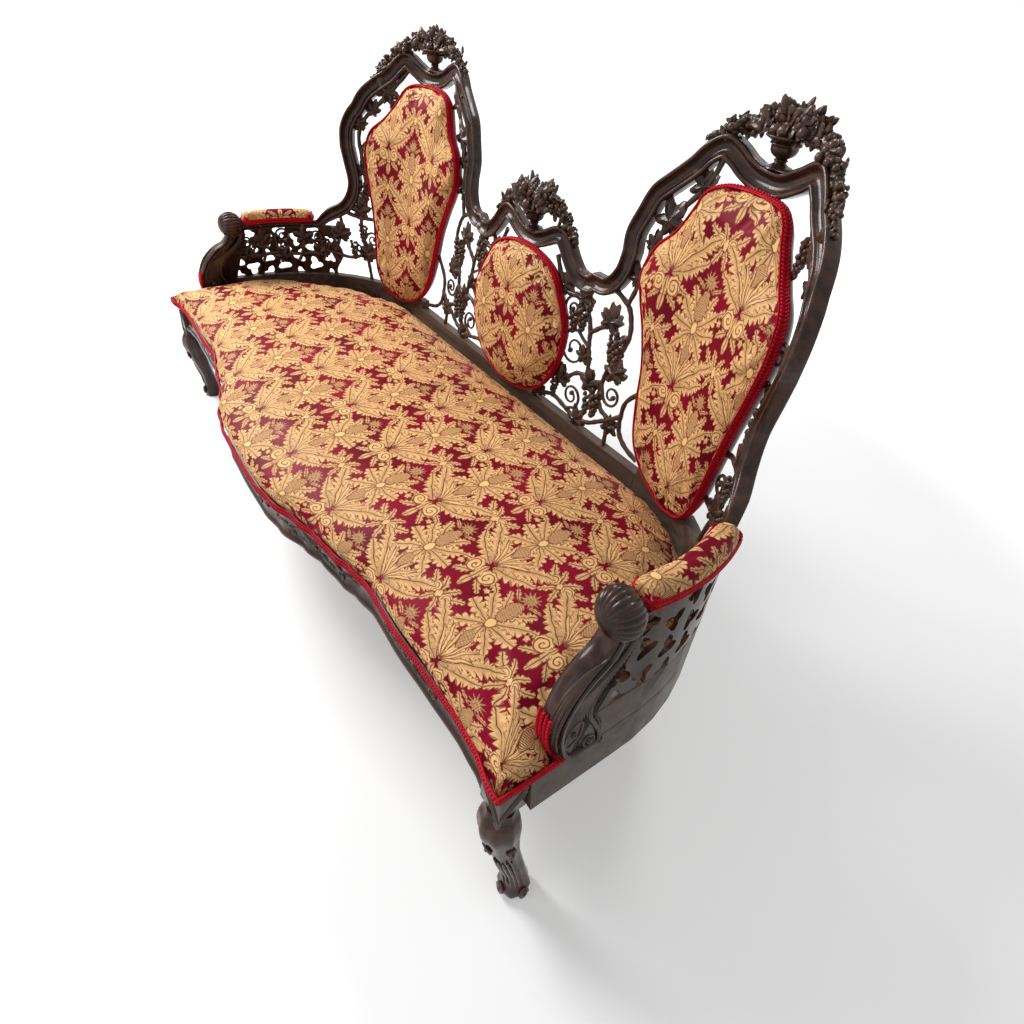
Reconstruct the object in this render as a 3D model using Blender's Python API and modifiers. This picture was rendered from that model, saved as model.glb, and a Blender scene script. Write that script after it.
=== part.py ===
"""Triple-back carved settee, modelled piece by piece at its real size.

Metres, +Z up, X along the seat, Y towards the back. The back, its corners and the arms are one
bent surface: pieces on it are drawn flat (run along the bend, height, depth to the front) and are
then wrapped round it by back_point.
"""
import math

import bmesh
import bpy
from mathutils import Matrix, Vector

# Driving dimensions
JOINT_GAP = 0.0003             # air between two pieces that touch
PAD_CLEARANCE = 0.0012         # air behind a tall pad, which is bent with its board
CENTRE_PAD_CLEARANCE = 0.0006  # the centre pad is nearly flat
SEAT_CLEARANCE = 0.002         # air between the seat and the bent back, whose sides are chords
SEAT_CORNER_CLEARANCE = 0.006  # air between its front corners and the arm supports
OVERRUN = 0.02                 # how far a cutter or a hidden end runs past what it cuts

BACK_STRAIGHT_HALF = 0.50      # half of the straight middle of the back
CORNER_RADIUS = 0.41           # plan radius where the back turns into an arm
CORNER_CENTRE_Y = -0.06
BACK_LEAN_SHARE = 0.10         # how far the back leans out for each metre of height
CENTRE_LEAN_SHARE = 0.04       # it stands more upright in the middle
ARM_LEAN_SHARE = -0.14         # the arms lean in instead
BEND_STEP = 0.08               # wide pieces are bent in strips of this width

SEAT_RAIL_TOP = 0.345
SEAT_RAIL_HEIGHT = 0.075
SEAT_RAIL_THICKNESS = 0.026
FRONT_MIDDLE_Y = -0.378        # front of the apron at the middle of the settee
FRONT_SIDE_Y = -0.296          # and at its shallow stretches

BASE_RAIL_HEIGHT = 0.042       # dark rail under the openwork
ARM_BOARD_HEIGHT = 0.064       # plain board under the openwork of an arm
BASE_RAIL_THICKNESS = 0.026

RAIL_WIDTH = 0.038             # moulded crest rail, seen from the front
RAIL_THICKNESS = 0.028
ARM_RAIL_WIDTH = 0.020         # where it runs under the arm pad

DIP_HEIGHT = 0.713             # height of the rail at the lowest point between two lobes
LOBE_RUN = 0.545               # middle of a tall lobe, measured along the back
LOBE_HALF_RUN = 0.265
ARM_RAIL_HEIGHT = 0.565
ARM_RAIL_TAPER = 0.062         # it narrows over this length, up to the arm pad

TALL_PAD_HALF = 0.195
TALL_PAD_LOW = 0.385
TALL_PAD_HIGH = 0.972
CENTRE_PAD_HALF = 0.187
CENTRE_PAD_LOW = 0.385
CENTRE_PAD_HIGH = 0.738
TALL_PAD_LAP = 0.0011          # how far a pad's head reaches up in front of the rail's hollow
CENTRE_PAD_LAP = 0.0048
PAD_THICKNESS = 0.042
BOARD_THICKNESS = 0.028
BOARD_TONGUE = 0.008           # how far a board's head runs up to the rail behind the pad

SUPPORT_DEPTH = 0.145          # arm support, front to back
SUPPORT_AHEAD = 0.021          # its rear edge, from where the arm runs straight
SUPPORT_THICKNESS = 0.046
KNOB_RADIUS = 0.036
KNOB_RISE = 0.010              # its middle, above the arm rail's
KNOB_AHEAD = 0.030             # and from the support's rear edge
ARM_PAD_WIDTH = 0.048
ARM_PAD_THICKNESS = 0.036

SEAT_CROWN = 0.078             # seat cushion, from its underside to its crown
CUSHION_OVERHANG = 0.012       # how far it swells past the apron
DECK_THICKNESS = 0.002
CORNER_POST_SIZE = 0.050
LEG_REACH = 0.043              # how far the foot stands out from the post
FOOT_RADIUS = 0.026
REAR_LEG_RUN = 0.62
REAR_LEG_TOP = 0.044
REAR_LEG_FOOT = 0.032
REAR_LEG_RAKE = 0.07
REAR_LEG_SPLAY = 0.0175

STEM_RADIUS = 0.006
LEAF_THICKNESS = 0.014
LEAF_SIZE = 0.056
GRAPE_SIZE = 0.030             # half the length of a bunch
URN_HEIGHT = 0.045
URN_RIM_RADIUS = 0.026
BOUQUET_SIZE = 0.046
CENTRE_BOUQUET_SIZE = 0.070
GARLAND_RADIUS = 0.012

WEB_WIDTH = 0.050
WEB_THICKNESS = 0.002
SPRING_RADIUS = 0.040
SPRING_WIRE = 0.0018
SPRING_COLUMNS = 3
SPRING_ROWS = 2
SPRING_TURNS = 4
SPRING_POINTS = 5              # points in each turn
SPRING_PITCH_X = 0.52
SPRING_PITCH_Y = 0.26
SPRING_MIDDLE_Y = -0.01

# Sizes worked out from them
SEAT_RAIL_LOW = SEAT_RAIL_TOP - SEAT_RAIL_HEIGHT
BASE_LOW = SEAT_RAIL_TOP + JOINT_GAP
BASE_TOP = BASE_LOW + BASE_RAIL_HEIGHT
CORNER_ARC = CORNER_RADIUS * math.pi / 2
ARM_START_RUN = BACK_STRAIGHT_HALF + CORNER_ARC
FRONT_HALF_WIDTH = BACK_STRAIGHT_HALF + CORNER_RADIUS
SUPPORT_REAR_RUN = ARM_START_RUN + SUPPORT_AHEAD
KNOB_RUN = SUPPORT_REAR_RUN + KNOB_AHEAD
KNOB_HEIGHT = ARM_RAIL_HEIGHT + KNOB_RISE
BACK_Y = CORNER_CENTRE_Y + CORNER_RADIUS
FRONT_BOW = FRONT_SIDE_Y - FRONT_MIDDLE_Y
ARM_VINE_RISE = ARM_RAIL_HEIGHT - BASE_TOP
SUPPORT_RISE = KNOB_HEIGHT - BASE_LOW
ARM_PAD_END_RUN = KNOB_RUN - KNOB_RADIUS - 2 * JOINT_GAP
POST_X = FRONT_HALF_WIDTH + SEAT_RAIL_THICKNESS / 2 - CORNER_POST_SIZE / 2
POST_Y = FRONT_SIDE_Y - SEAT_RAIL_THICKNESS / 2 + CORNER_POST_SIZE / 2

# The rail's hollows, where the urns stand, lie just over the heads of the pads
CENTRE_HOLLOW_SHARE = 0.56      # height of a hollow, of the rise from the dip to the shoulders
TALL_HOLLOW_SHARE = 0.899
TALL_HOLLOW_HEIGHT = TALL_PAD_HIGH - TALL_PAD_LAP + RAIL_WIDTH / 2
CENTRE_HOLLOW_HEIGHT = CENTRE_PAD_HIGH - CENTRE_PAD_LAP + RAIL_WIDTH / 2
LOBE_RISE = (TALL_HOLLOW_HEIGHT - DIP_HEIGHT) / TALL_HOLLOW_SHARE
CENTRE_RISE = (CENTRE_HOLLOW_HEIGHT - DIP_HEIGHT) / CENTRE_HOLLOW_SHARE
VINE_RISE = DIP_HEIGHT + LOBE_RISE - BASE_TOP

# Outlines, as shares of the sizes above
LEAN_EASE = 1.5
CENTRE_CREST_SHARES = [
    [(0.0, CENTRE_HOLLOW_SHARE), (0.09, CENTRE_HOLLOW_SHARE), (0.19, 0.65), (0.30, 0.79),
     (0.42, 0.96), (0.52, 1.0), (0.61, 0.80), (0.73, 0.40), (0.86, 0.09), (1.0, 0.0)],
]
DIP_SHARES = [
    [(-1.283, 0.0), (-1.225, 0.008), (-1.181, 0.036)],
    [(-1.181, 0.036), (-1.075, 0.038), (-0.981, 0.09), (-0.917, 0.19), (-0.898, 0.315)],
]
TALL_CREST_SHARES = [
    [(-0.898, 0.315), (-0.909, 0.43), (-0.857, 0.558)],
    [(-0.857, 0.558), (-0.80, 0.678), (-0.69, 0.769), (-0.566, 0.866), (-0.479, 0.951),
     (-0.385, 0.997), (-0.29, 0.974), (-0.189, 0.93),
     (-0.075, TALL_HOLLOW_SHARE), (0.075, TALL_HOLLOW_SHARE), (0.208, 0.951), (0.321, 1.0),
     (0.415, 0.945), (0.509, 0.866), (0.66, 0.778), (0.774, 0.694), (0.857, 0.584)],
    [(0.857, 0.584), (0.921, 0.521), (0.985, 0.406), (0.996, 0.266)],
]
OUTER_STILE_SHARES = [
    [(0.996, 0.266), (0.965, 0.127), (0.935, -0.01), (0.94, -0.10), (0.985, -0.20),
     (1.079, -0.296), (1.238, -0.366)],
]
ARM_RAIL_SHARES = [
    [(0.0, 1.0), (0.07, 0.62), (0.13, 0.20), (0.19, 0.0), (0.5, 0.0), (1.0, 0.0)],
]
RAIL_SECTION_SHARES = [
    (-1.0, -0.95), (1.0, -0.95), (1.0, 0.4), (0.57, 0.95), (0.0, 0.4), (-0.57, 0.95), (-1.0, 0.4),
]
PLAIN_SECTION_SHARES = [(-1.0, -1.0), (1.0, -1.0), (1.0, 1.0), (-1.0, 1.0)]
APRON_SECTION_SHARES = [
    (-1.0, -1.0), (1.0, -1.0), (1.3, -0.85), (1.3, -0.62), (0.9, -0.5), (0.75, 0.2), (1.0, 1.0),
    (-1.0, 1.0),
]
APRON_SHARES = [
    (0.0, 1.0), (0.121, 0.976), (0.198, 0.854), (0.286, 0.56), (0.345, 0.378), (0.426, 0.256),
    (0.475, 0.11), (0.538, 0.0), (0.66, 0.037), (0.758, 0.0), (0.863, -0.03), (0.925, 0.012),
    (1.0, 0.17),
]
# Rows of a pad's outline: height, inner edge, outer edge
TALL_PAD_SHARES = [
    (0.0, 0.28, 0.40), (0.03, -0.02, 0.66), (0.08, -0.24, 0.79), (0.15, -0.39, 0.86),
    (0.27, -0.50, 0.88), (0.40, -0.58, 0.91), (0.52, -0.72, 0.965), (0.61, -0.86, 1.01),
    (0.69, -0.94, 1.025), (0.78, -0.85, 0.93), (0.84, -0.68, 0.71), (0.915, -0.57, 0.50),
    (0.965, -0.50, 0.40), (0.993, -0.34, 0.27), (1.0, -0.12, 0.05),
]
CENTRE_PAD_SHARES = [
    (0.0, -0.12, 0.12), (0.03, -0.40, 0.40), (0.10, -0.66, 0.66), (0.23, -0.86, 0.86),
    (0.40, -0.98, 0.98), (0.58, -0.99, 0.99), (0.70, -0.90, 0.90), (0.80, -0.78, 0.78),
    (0.89, -0.66, 0.66), (0.95, -0.50, 0.50), (0.985, -0.30, 0.30), (1.0, -0.10, 0.10),
]
SUPPORT_SHARES = [
    (0.0, 1.0), (-0.05, 0.89), (0.0, 0.83), (0.172, 0.695), (0.434, 0.534), (0.517, 0.40),
    (0.448, 0.29), (0.36, 0.16), (0.34, 0.0), (0.828, 0.0), (0.945, 0.10),
    (1.0, 0.26), (0.966, 0.412), (0.828, 0.578), (0.621, 0.708), (0.42, 0.79), (0.345, 0.87),
    (0.345, 1.0),
]
LEAF_SHARES = [
    (0.0, -0.62), (0.78, -0.74), (0.60, -0.18), (0.98, 0.30), (0.40, 0.40), (0.0, 1.0),
    (-0.40, 0.40), (-0.98, 0.30), (-0.60, -0.18), (-0.78, -0.74),
]
URN_SHARES = [
    (0.0, 1.0), (0.80, 1.0), (1.0, 0.93), (0.72, 0.84), (0.62, 0.55), (0.52, 0.40), (0.26, 0.30),
    (0.24, 0.20), (0.60, 0.10), (0.60, 0.0), (0.0, 0.0),
]
# Vines: stems as (run, height) shares of LOBE_RUN and VINE_RISE, or of ARM_VINE_RISE under an arm;
# leaves as (run, height, size, turn) and bunches of grapes as (run, height, size), with sizes as
# shares of LEAF_SIZE and GRAPE_SIZE
INNER_STEM_SHARES = [
    [(0.530, 0.535), (0.606, 0.507), (0.639, 0.471), (0.657, 0.415), (0.642, 0.354), (0.600, 0.286),
     (0.587, 0.218), (0.589, 0.155), (0.618, 0.117), (0.668, 0.096), (0.684, 0.014), (0.69, -0.03)],
    [(0.360, 0.545), (0.382, 0.468), (0.435, 0.401), (0.455, 0.357), (0.466, 0.308), (0.484, 0.267),
     (0.505, 0.197), (0.587, 0.215)],
    [(0.185, 0.560), (0.225, 0.500), (0.27, 0.458), (0.319, 0.455), (0.382, 0.468)],
    [(0.169, -0.03), (0.246, 0.030), (0.321, 0.048), (0.409, 0.032), (0.477, 0.024), (0.558, 0.035),
     (0.620, 0.068), (0.668, 0.096)],
    [(0.830, 0.290), (0.743, 0.210), (0.734, 0.142), (0.750, 0.085), (0.80, 0.05), (0.88, 0.03)],
    [(0.668, 0.096), (0.734, 0.142)],
    [(0.300, 0.145), (0.360, 0.140), (0.430, 0.190), (0.512, 0.205)],
    [(0.606, 0.507), (0.624, 0.56), (0.636, 0.64), (0.664, 0.745), (0.72, 0.825), (0.79, 0.905),
     (0.815, 0.985)],
    [(0.455, 0.357), (0.50, 0.39), (0.55, 0.42)],
]
INNER_LEAF_SHARES = [
    (0.385, 0.462, 0.90, 0.4), (0.550, 0.430, 1.0, -0.2), (0.640, 0.270, 1.0, 0.3),
    (0.345, 0.137, 0.96, 0.2), (0.520, 0.178, 0.98, 0.1), (0.494, 0.022, 0.90, 0.5),
    (0.690, 0.785, 1.07, 0.5), (0.775, 0.895, 0.80, 0.9),
]
INNER_GRAPE_SHARES = [(0.400, 0.405, 1.0), (0.622, 0.355, 1.07), (0.575, 0.130, 1.0)]
OUTER_STEM_SHARES = [
    [(1.13, 0.985), (1.205, 0.915), (1.29, 0.84), (1.385, 0.76), (1.42, 0.69), (1.41, 0.60),
     (1.395, 0.50), (1.405, 0.42), (1.43, 0.33), (1.42, 0.22), (1.39, 0.10), (1.37, -0.03)],
    [(1.28, 0.30), (1.35, 0.33), (1.43, 0.33), (1.51, 0.345)],
    [(1.28, 0.16), (1.34, 0.15), (1.41, 0.16)],
]
OUTER_LEAF_SHARES = [
    (1.265, 0.875, 1.07, -0.6), (1.415, 0.735, 0.75, -0.2), (1.405, 0.545, 0.82, 0.1),
    (1.43, 0.36, 1.07, 0.0), (1.395, 0.16, 1.0, 0.3),
]
OUTER_GRAPE_SHARES = [(1.40, 0.45, 1.0)]
ARM_STEM_SHARES = [
    [(1.40, 0.571), (1.51, 0.464), (1.65, 0.535), (1.80, 0.464), (1.94, 0.499), (2.07, 0.464),
     (2.20, 0.499), (2.30, 0.571)],
    [(2.02, 1.034), (2.03, 0.785), (2.02, 0.464), (2.035, 0.214), (2.035, 0.0)],
    [(1.78, 1.070), (1.77, 0.820), (1.80, 0.464), (1.82, 0.214), (1.80, 0.0)],
    [(1.43, 1.177), (1.51, 1.230), (1.55, 1.212), (1.55, 0.963), (1.58, 0.678), (1.60, 0.499),
     (1.57, 0.214), (1.57, 0.0)],
]
ARM_LEAF_SHARES = [
    (1.78, 0.767, 1.0, 0.1), (2.02, 0.731, 0.93, -0.2), (1.91, 0.446, 0.93, 0.6),
    (1.69, 0.481, 0.90, -0.4), (1.555, 0.856, 1.0, 0.2),
]
ARM_GRAPE_SHARES = [(1.655, 0.606, 0.87), (1.90, 0.571, 0.87)]
GRAPE_WIDTH_SHARE = 0.42        # breadth and depth of a bunch, of its length
GRAPE_DEPTH_SHARE = 0.36
WEAVE_SHARE = 0.14              # crossing stems lie a little before and behind each other
SLIMMER_SHARE = 0.05            # and differ in thickness
BRANCH_SPLIT_RUN_SHARE = 1.445  # the outer vine meets the arm vine here
# Carving on the crest: the middle line of each garland, as (run, height) shares from the middle of
# its lobe and the dip beside it
INNER_GARLAND_SHARES = [(-0.02, 1.18), (-0.19, 1.14), (-0.34, 1.085), (-0.48, 1.03)]
OUTER_GARLAND_SHARES = [(0.02, 1.18), (0.19, 1.14), (0.33, 1.08), (0.48, 1.0), (0.60, 0.90)]
CENTRE_GARLAND_SHARES = [(0.05, 1.85), (0.28, 1.85), (0.46, 1.65), (0.62, 1.35), (0.74, 0.95)]
GARLAND_WAIST_SHARE = 0.75      # it swells and narrows, and tapers at its tip
GARLAND_TIP_SHARE = 0.4
BOUQUET_FRUIT_SHARES = [        # run, height, depth, radius, of the bouquet's size
    (0.0, 0.20, 0.06, 0.40), (-0.48, 0.22, 0.0, 0.28), (0.48, 0.22, 0.0, 0.28),
    (-0.26, 0.50, 0.0, 0.25), (0.28, 0.48, 0.0, 0.26),
]
BOUQUET_LEAF_SHARES = [         # run, height, size, turn
    (-0.66, 0.44, 0.66, 0.8), (0.02, 0.68, 0.70, 0.0), (0.68, 0.42, 0.66, -0.8),
]
LEG_SHARES = [                  # out to the side, out to the front, height, thickness
    (0.0, 0.0, 1.08, 0.85), (0.04, 0.05, 0.97, 0.92), (0.10, 0.12, 0.88, 1.22),
    (0.20, 0.14, 0.78, 1.30),
    (0.36, 0.06, 0.64, 1.08), (0.56, -0.12, 0.46, 0.88), (0.78, -0.34, 0.30, 0.78),
    (0.94, -0.44, 0.16, 0.88), (1.0, -0.46, 0.07, 1.06), (1.0, -0.46, 0.03, 1.04),
    (1.0, -0.46, 0.0, 0.94),
]
SEAT_STATION_SHARES = [0.0, 0.16, 0.27, 0.36, 0.46, 0.60, 0.76, 0.88, 0.945]
SEAT_END_SHARES = [(0.012, 0.80), (0.030, 0.72), (0.040, 0.56)]  # further out, crown
SEAT_FALL_SHARE = 0.16          # how much of the crown is lost towards the arms
SEAT_SECTION_SHARES = [         # along the depth, up the crown
    (0.02, 0.0), (-0.012, 0.28), (0.02, 0.66), (0.16, 0.91), (0.44, 1.0), (0.74, 0.86),
    (0.93, 0.47), (1.0, 0.24), (0.985, 0.0),
]
# Pads: rings from the back to the crown, as shares of the outline and of the thickness
PAD_RING_SHARES = [
    (0.50, 0.0), (0.985, 0.0), (1.01, 0.25), (0.98, 0.64), (0.85, 0.90), (0.50, 1.0),
]
ARM_PAD_SECTION_SHARES = [
    (-0.9, 0.0), (-1.0, 0.30), (-0.86, 0.72), (-0.40, 1.0), (0.40, 1.0), (0.86, 0.72), (1.0, 0.30),
    (0.9, 0.0),
]
ARM_PAD_END_SHARE = 0.86        # it is a little slimmer at its ends
SPRING_WAIST_SHARE = 0.72
BLOCK_LOW_SHARE = 0.2           # a corner block stays clear of the rail's edges by these
BLOCK_HIGH_SHARE = 0.125

# How finely each line is divided
OUTLINE_POINTS = 20
ARM_PAD_STEPS = 5
APRON_STEPS = 30
DECK_STEPS = 24
BENT_RAIL_STEPS = 16
BENT_BOARD_STEPS = 14
BENT_BLOCK_STEPS = 6
STRAIGHT_RAIL_STEPS = 2
URN_STEPS = 10

# Where the pieces of the rail meet
CENTRE_HALF_RUN = LOBE_RUN + DIP_SHARES[0][0][0] * LOBE_HALF_RUN
ARM_TURN_RUN = LOBE_RUN + OUTER_STILE_SHARES[-1][-1][0] * LOBE_HALF_RUN
ARM_TURN_HEIGHT = DIP_HEIGHT + OUTER_STILE_SHARES[-1][-1][1] * LOBE_RISE
ARM_PAD_START_RUN = ARM_TURN_RUN + ARM_RAIL_TAPER

# Finishes: colour, roughness, metallic
FINISHES = {
    "rosewood": ((0.028, 0.014, 0.011, 1.0), 0.30, 0.0),
    "damask": ((0.62, 0.34, 0.14, 1.0), 0.60, 0.0),
    "inner_wood": ((0.20, 0.12, 0.07, 1.0), 0.70, 0.0),
    "webbing": ((0.35, 0.27, 0.17, 1.0), 0.90, 0.0),
    "spring_steel": ((0.22, 0.21, 0.20, 1.0), 0.45, 0.9),
}


def clear_scene():
    for item in list(bpy.data.objects):
        bpy.data.objects.remove(item, do_unlink=True)


def make_collection(name):
    group = bpy.data.collections.new(name)
    bpy.context.scene.collection.children.link(group)
    return group


def finish(item, kind):
    """Give a piece its own material in one of the finishes."""
    colour, roughness, metallic = FINISHES[kind]
    material = bpy.data.materials.new(item.name + "_" + kind)
    material.use_nodes = True
    shader = material.node_tree.nodes["Principled BSDF"]
    shader.inputs["Base Color"].default_value = colour
    shader.inputs["Roughness"].default_value = roughness
    shader.inputs["Metallic"].default_value = metallic
    material.diffuse_color = colour
    item.data.materials.clear()
    item.data.materials.append(material)
    return item


def add_object(name, data):
    item = bpy.data.objects.new(name, data)
    parts.objects.link(item)
    return item


def bake(item):
    """Turn a curve, or a mesh with modifiers, into one plain closed mesh."""
    bpy.context.view_layer.update()
    depsgraph = bpy.context.evaluated_depsgraph_get()
    mesh = bpy.data.meshes.new_from_object(item.evaluated_get(depsgraph))
    name = item.name
    matrix = item.matrix_world.copy()
    bpy.data.objects.remove(item, do_unlink=True)
    result = add_object(name, mesh)
    result.name = name
    mesh.name = name
    mesh.transform(matrix)
    shape = bmesh.new()
    shape.from_mesh(mesh)
    bmesh.ops.remove_doubles(shape, verts=shape.verts, dist=JOINT_GAP / 10)
    bmesh.ops.dissolve_degenerate(shape, edges=shape.edges, dist=JOINT_GAP / 10)
    shape.to_mesh(mesh)
    shape.free()
    mesh.materials.clear()
    return result


def combine(target, tool, operation):
    """Join a solid to the target, or cut it away, and keep one mesh."""
    modifier = target.modifiers.new(operation.lower(), "BOOLEAN")
    modifier.operation = operation
    modifier.object = tool
    modifier.solver = "EXACT"
    result = bake(target)
    bpy.data.objects.remove(tool, do_unlink=True)
    return result


def join_all(name, solids):
    result = solids[0]
    for solid in solids[1:]:
        result = combine(result, solid, "UNION")
    result.name = name
    result.data.name = name
    return result


def smooth(points, steps):
    """A smooth line through the points, as a Catmull-Rom curve."""
    ends = [points[0], *points, points[-1]]
    line = []
    for index in range(len(points) - 1):
        before, start, end, after = (Vector(ends[index + k]) for k in range(4))
        for step in range(steps):
            t = step / steps
            line.append(0.5 * (2 * start + (end - before) * t
                               + (2 * before - 5 * start + 4 * end - after) * t ** 2
                               + (3 * start - before - 3 * end + after) * t ** 3))
    line.append(Vector(points[-1]))
    return line


def smooth_stretches(stretches, steps):
    """Smooth stretches that meet in cusps."""
    line = [Vector(stretches[0][0])]
    for stretch in stretches:
        line += smooth(stretch, steps)[1:]
    return line


def back_lean(along):
    """How far the straight middle of the back leans, at one place along it."""
    share = along / BACK_STRAIGHT_HALF
    ease = share * share * (3 - 2 * share)
    return CENTRE_LEAN_SHARE + (BACK_LEAN_SHARE - CENTRE_LEAN_SHARE) * ease


def back_point(run, height, front):
    """A point of the bent back: along its plan, up, and in front of its middle surface."""
    side = -1.0 if run < 0 else 1.0
    along = abs(run)
    if along < BACK_STRAIGHT_HALF:
        foot = Vector((along, BACK_Y))
        outward = Vector((0.0, 1.0))
        lean = back_lean(along)
    elif along < ARM_START_RUN:
        turn = (along - BACK_STRAIGHT_HALF) / CORNER_RADIUS
        outward = Vector((math.sin(turn), math.cos(turn)))
        foot = Vector((BACK_STRAIGHT_HALF, CORNER_CENTRE_Y)) + outward * CORNER_RADIUS
        ease = (turn / (math.pi / 2)) ** LEAN_EASE
        lean = BACK_LEAN_SHARE * (1 - ease) + ARM_LEAN_SHARE * ease
    else:
        past = along - ARM_START_RUN
        foot = Vector((BACK_STRAIGHT_HALF + CORNER_RADIUS, CORNER_CENTRE_Y - past))
        outward = Vector((1.0, 0.0))
        lean = ARM_LEAN_SHARE
    place = foot + outward * (lean * (height - SEAT_RAIL_TOP) - front)
    return Vector((side * place.x, place.y, height))


def slice_up(shape, axis, step):
    """Cut a flat piece across at even places, so that it bends as its neighbours do."""
    places = [vertex.co[axis] for vertex in shape.verts]
    index = math.ceil(min(places) / step)
    while index * step < max(places):
        normal = Vector((0.0, 0.0, 0.0))
        normal[axis] = 1.0
        everything = [*shape.verts, *shape.edges, *shape.faces]
        bmesh.ops.bisect_plane(shape, geom=everything, dist=JOINT_GAP / 10,
                               plane_co=normal * index * step, plane_no=normal)
        index += 1


def wrap(item, sliced=False):
    """Bend a flat piece (x run, y height, z front) on to the back."""
    shape = bmesh.new()
    shape.from_mesh(item.data)
    if sliced:
        slice_up(shape, 0, BEND_STEP)
        slice_up(shape, 1, 2 * BEND_STEP)
    bmesh.ops.triangulate(shape, faces=shape.faces)
    for vertex in shape.verts:
        vertex.co = back_point(*vertex.co)
    shape.to_mesh(item.data)
    shape.free()
    return item


def mirrored(item, name):
    """The same piece for the other side."""
    mesh = item.data.copy()
    mesh.transform(Matrix.Scale(-1, 4, (1, 0, 0)))
    mesh.flip_normals()
    mesh.name = name
    return add_object(name, mesh)


def both_sides(name, item, kind):
    """Name a right-hand piece, make its left-hand twin and finish both."""
    item.name = name + "_right"
    item.data.name = item.name
    twin = mirrored(item, name + "_left")
    return [finish(item, kind), finish(twin, kind)]


def one_piece(name, item, kind):
    item.name = name
    item.data.name = name
    return finish(item, kind)


def moulding(name, line, half_width, half_depth, section_shares, widths=None):
    """Sweep a section along a line in the flat plane."""
    profile_data = bpy.data.curves.new(name + "_section", "CURVE")
    profile_data.dimensions = "2D"
    outline = profile_data.splines.new("POLY")
    outline.points.add(len(section_shares) - 1)
    for point, (across, deep) in zip(outline.points, section_shares):
        point.co = (across * half_width, deep * half_depth, 0.0, 1.0)
    outline.use_cyclic_u = True
    profile = bpy.data.objects.new(name + "_section", profile_data)
    guides.objects.link(profile)
    profile.hide_render = True

    data = bpy.data.curves.new(name, "CURVE")
    data.dimensions = "3D"
    data.twist_mode = "Z_UP"
    data.bevel_mode = "OBJECT"
    data.bevel_object = profile
    data.use_fill_caps = True
    spline = data.splines.new("POLY")
    spline.points.add(len(line) - 1)
    for index, (point, place) in enumerate(zip(spline.points, line)):
        point.co = (place[0], place[1], 0.0, 1.0)
        point.radius = widths[index] if widths else 1.0
    result = bake(add_object(name, data))
    bpy.data.objects.remove(profile, do_unlink=True)
    return outward_faces(result)


def outward_faces(item):
    shape = bmesh.new()
    shape.from_mesh(item.data)
    bmesh.ops.recalc_face_normals(shape, faces=shape.faces)
    shape.to_mesh(item.data)
    shape.free()
    return item


def tube(name, line, radius, sides_step=1, radii=None):
    """A round stem or leg along a line of points in space."""
    data = bpy.data.curves.new(name, "CURVE")
    data.dimensions = "3D"
    data.bevel_depth = radius
    data.bevel_resolution = sides_step
    data.use_fill_caps = True
    spline = data.splines.new("POLY")
    spline.points.add(len(line) - 1)
    for index, (point, place) in enumerate(zip(spline.points, line)):
        height = place[2] if len(place) > 2 else 0.0
        point.co = (place[0], place[1], height, 1.0)
        point.radius = radii[index] if radii else 1.0
    return bake(add_object(name, data))


def plate(name, outline, low, high):
    """A flat outline given a thickness from low to high."""
    data = bpy.data.curves.new(name, "CURVE")
    data.dimensions = "2D"
    data.fill_mode = "BOTH"
    data.extrude = (high - low) / 2
    spline = data.splines.new("POLY")
    spline.points.add(len(outline) - 1)
    for point, place in zip(spline.points, outline):
        point.co = (place[0], place[1], 0.0, 1.0)
    spline.use_cyclic_u = True
    item = add_object(name, data)
    item.location.z = (low + high) / 2
    return outward_faces(bake(item))


def ball(name, centre, radii, detail=1):
    shape = bmesh.new()
    bmesh.ops.create_icosphere(shape, subdivisions=detail, radius=1.0)
    bmesh.ops.scale(shape, vec=radii, verts=shape.verts)
    bmesh.ops.translate(shape, vec=centre, verts=shape.verts)
    mesh = bpy.data.meshes.new(name)
    shape.to_mesh(mesh)
    shape.free()
    return add_object(name, mesh)


def block(name, low, high):
    """A box between two corners."""
    size = Vector(high) - Vector(low)
    middle = (Vector(high) + Vector(low)) / 2
    shape = bmesh.new()
    bmesh.ops.create_cube(shape, size=1.0)
    bmesh.ops.scale(shape, vec=size, verts=shape.verts)
    bmesh.ops.translate(shape, vec=middle, verts=shape.verts)
    mesh = bpy.data.meshes.new(name)
    shape.to_mesh(mesh)
    shape.free()
    return add_object(name, mesh)


def leaf(name, place, size, turn, thickness):
    """A lobed leaf, flat, turned about its middle."""
    outline = []
    for across, along in LEAF_SHARES:
        x = size / 2 * across
        y = size / 2 * along
        outline.append((place[0] + x * math.cos(turn) - y * math.sin(turn),
                        place[1] + x * math.sin(turn) + y * math.cos(turn)))
    return plate(name, outline, -thickness / 2, thickness / 2)


def lobe_line(stretches, steps=2):
    """A line of the tall lobe, from shares to run and height."""
    placed = [[(LOBE_RUN + run * LOBE_HALF_RUN, DIP_HEIGHT + rise * LOBE_RISE)
               for run, rise in stretch] for stretch in stretches]
    return smooth_stretches(placed, steps)


def centre_line():
    """The whole centre lobe, from one dip to the other."""
    placed = [[(run * CENTRE_HALF_RUN, DIP_HEIGHT + rise * CENTRE_RISE)
               for run, rise in stretch] for stretch in CENTRE_CREST_SHARES]
    half = smooth_stretches(placed, 2)
    other = [Vector((-point[0], point[1])) for point in reversed(half[1:])]
    return other + half


def arm_rail_line():
    run_length = SUPPORT_REAR_RUN + OVERRUN - ARM_TURN_RUN
    rise = ARM_TURN_HEIGHT - ARM_RAIL_HEIGHT
    placed = [[(ARM_TURN_RUN + run * run_length, ARM_RAIL_HEIGHT + up * rise)
               for run, up in stretch] for stretch in ARM_RAIL_SHARES]
    return smooth_stretches(placed, 2)


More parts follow.
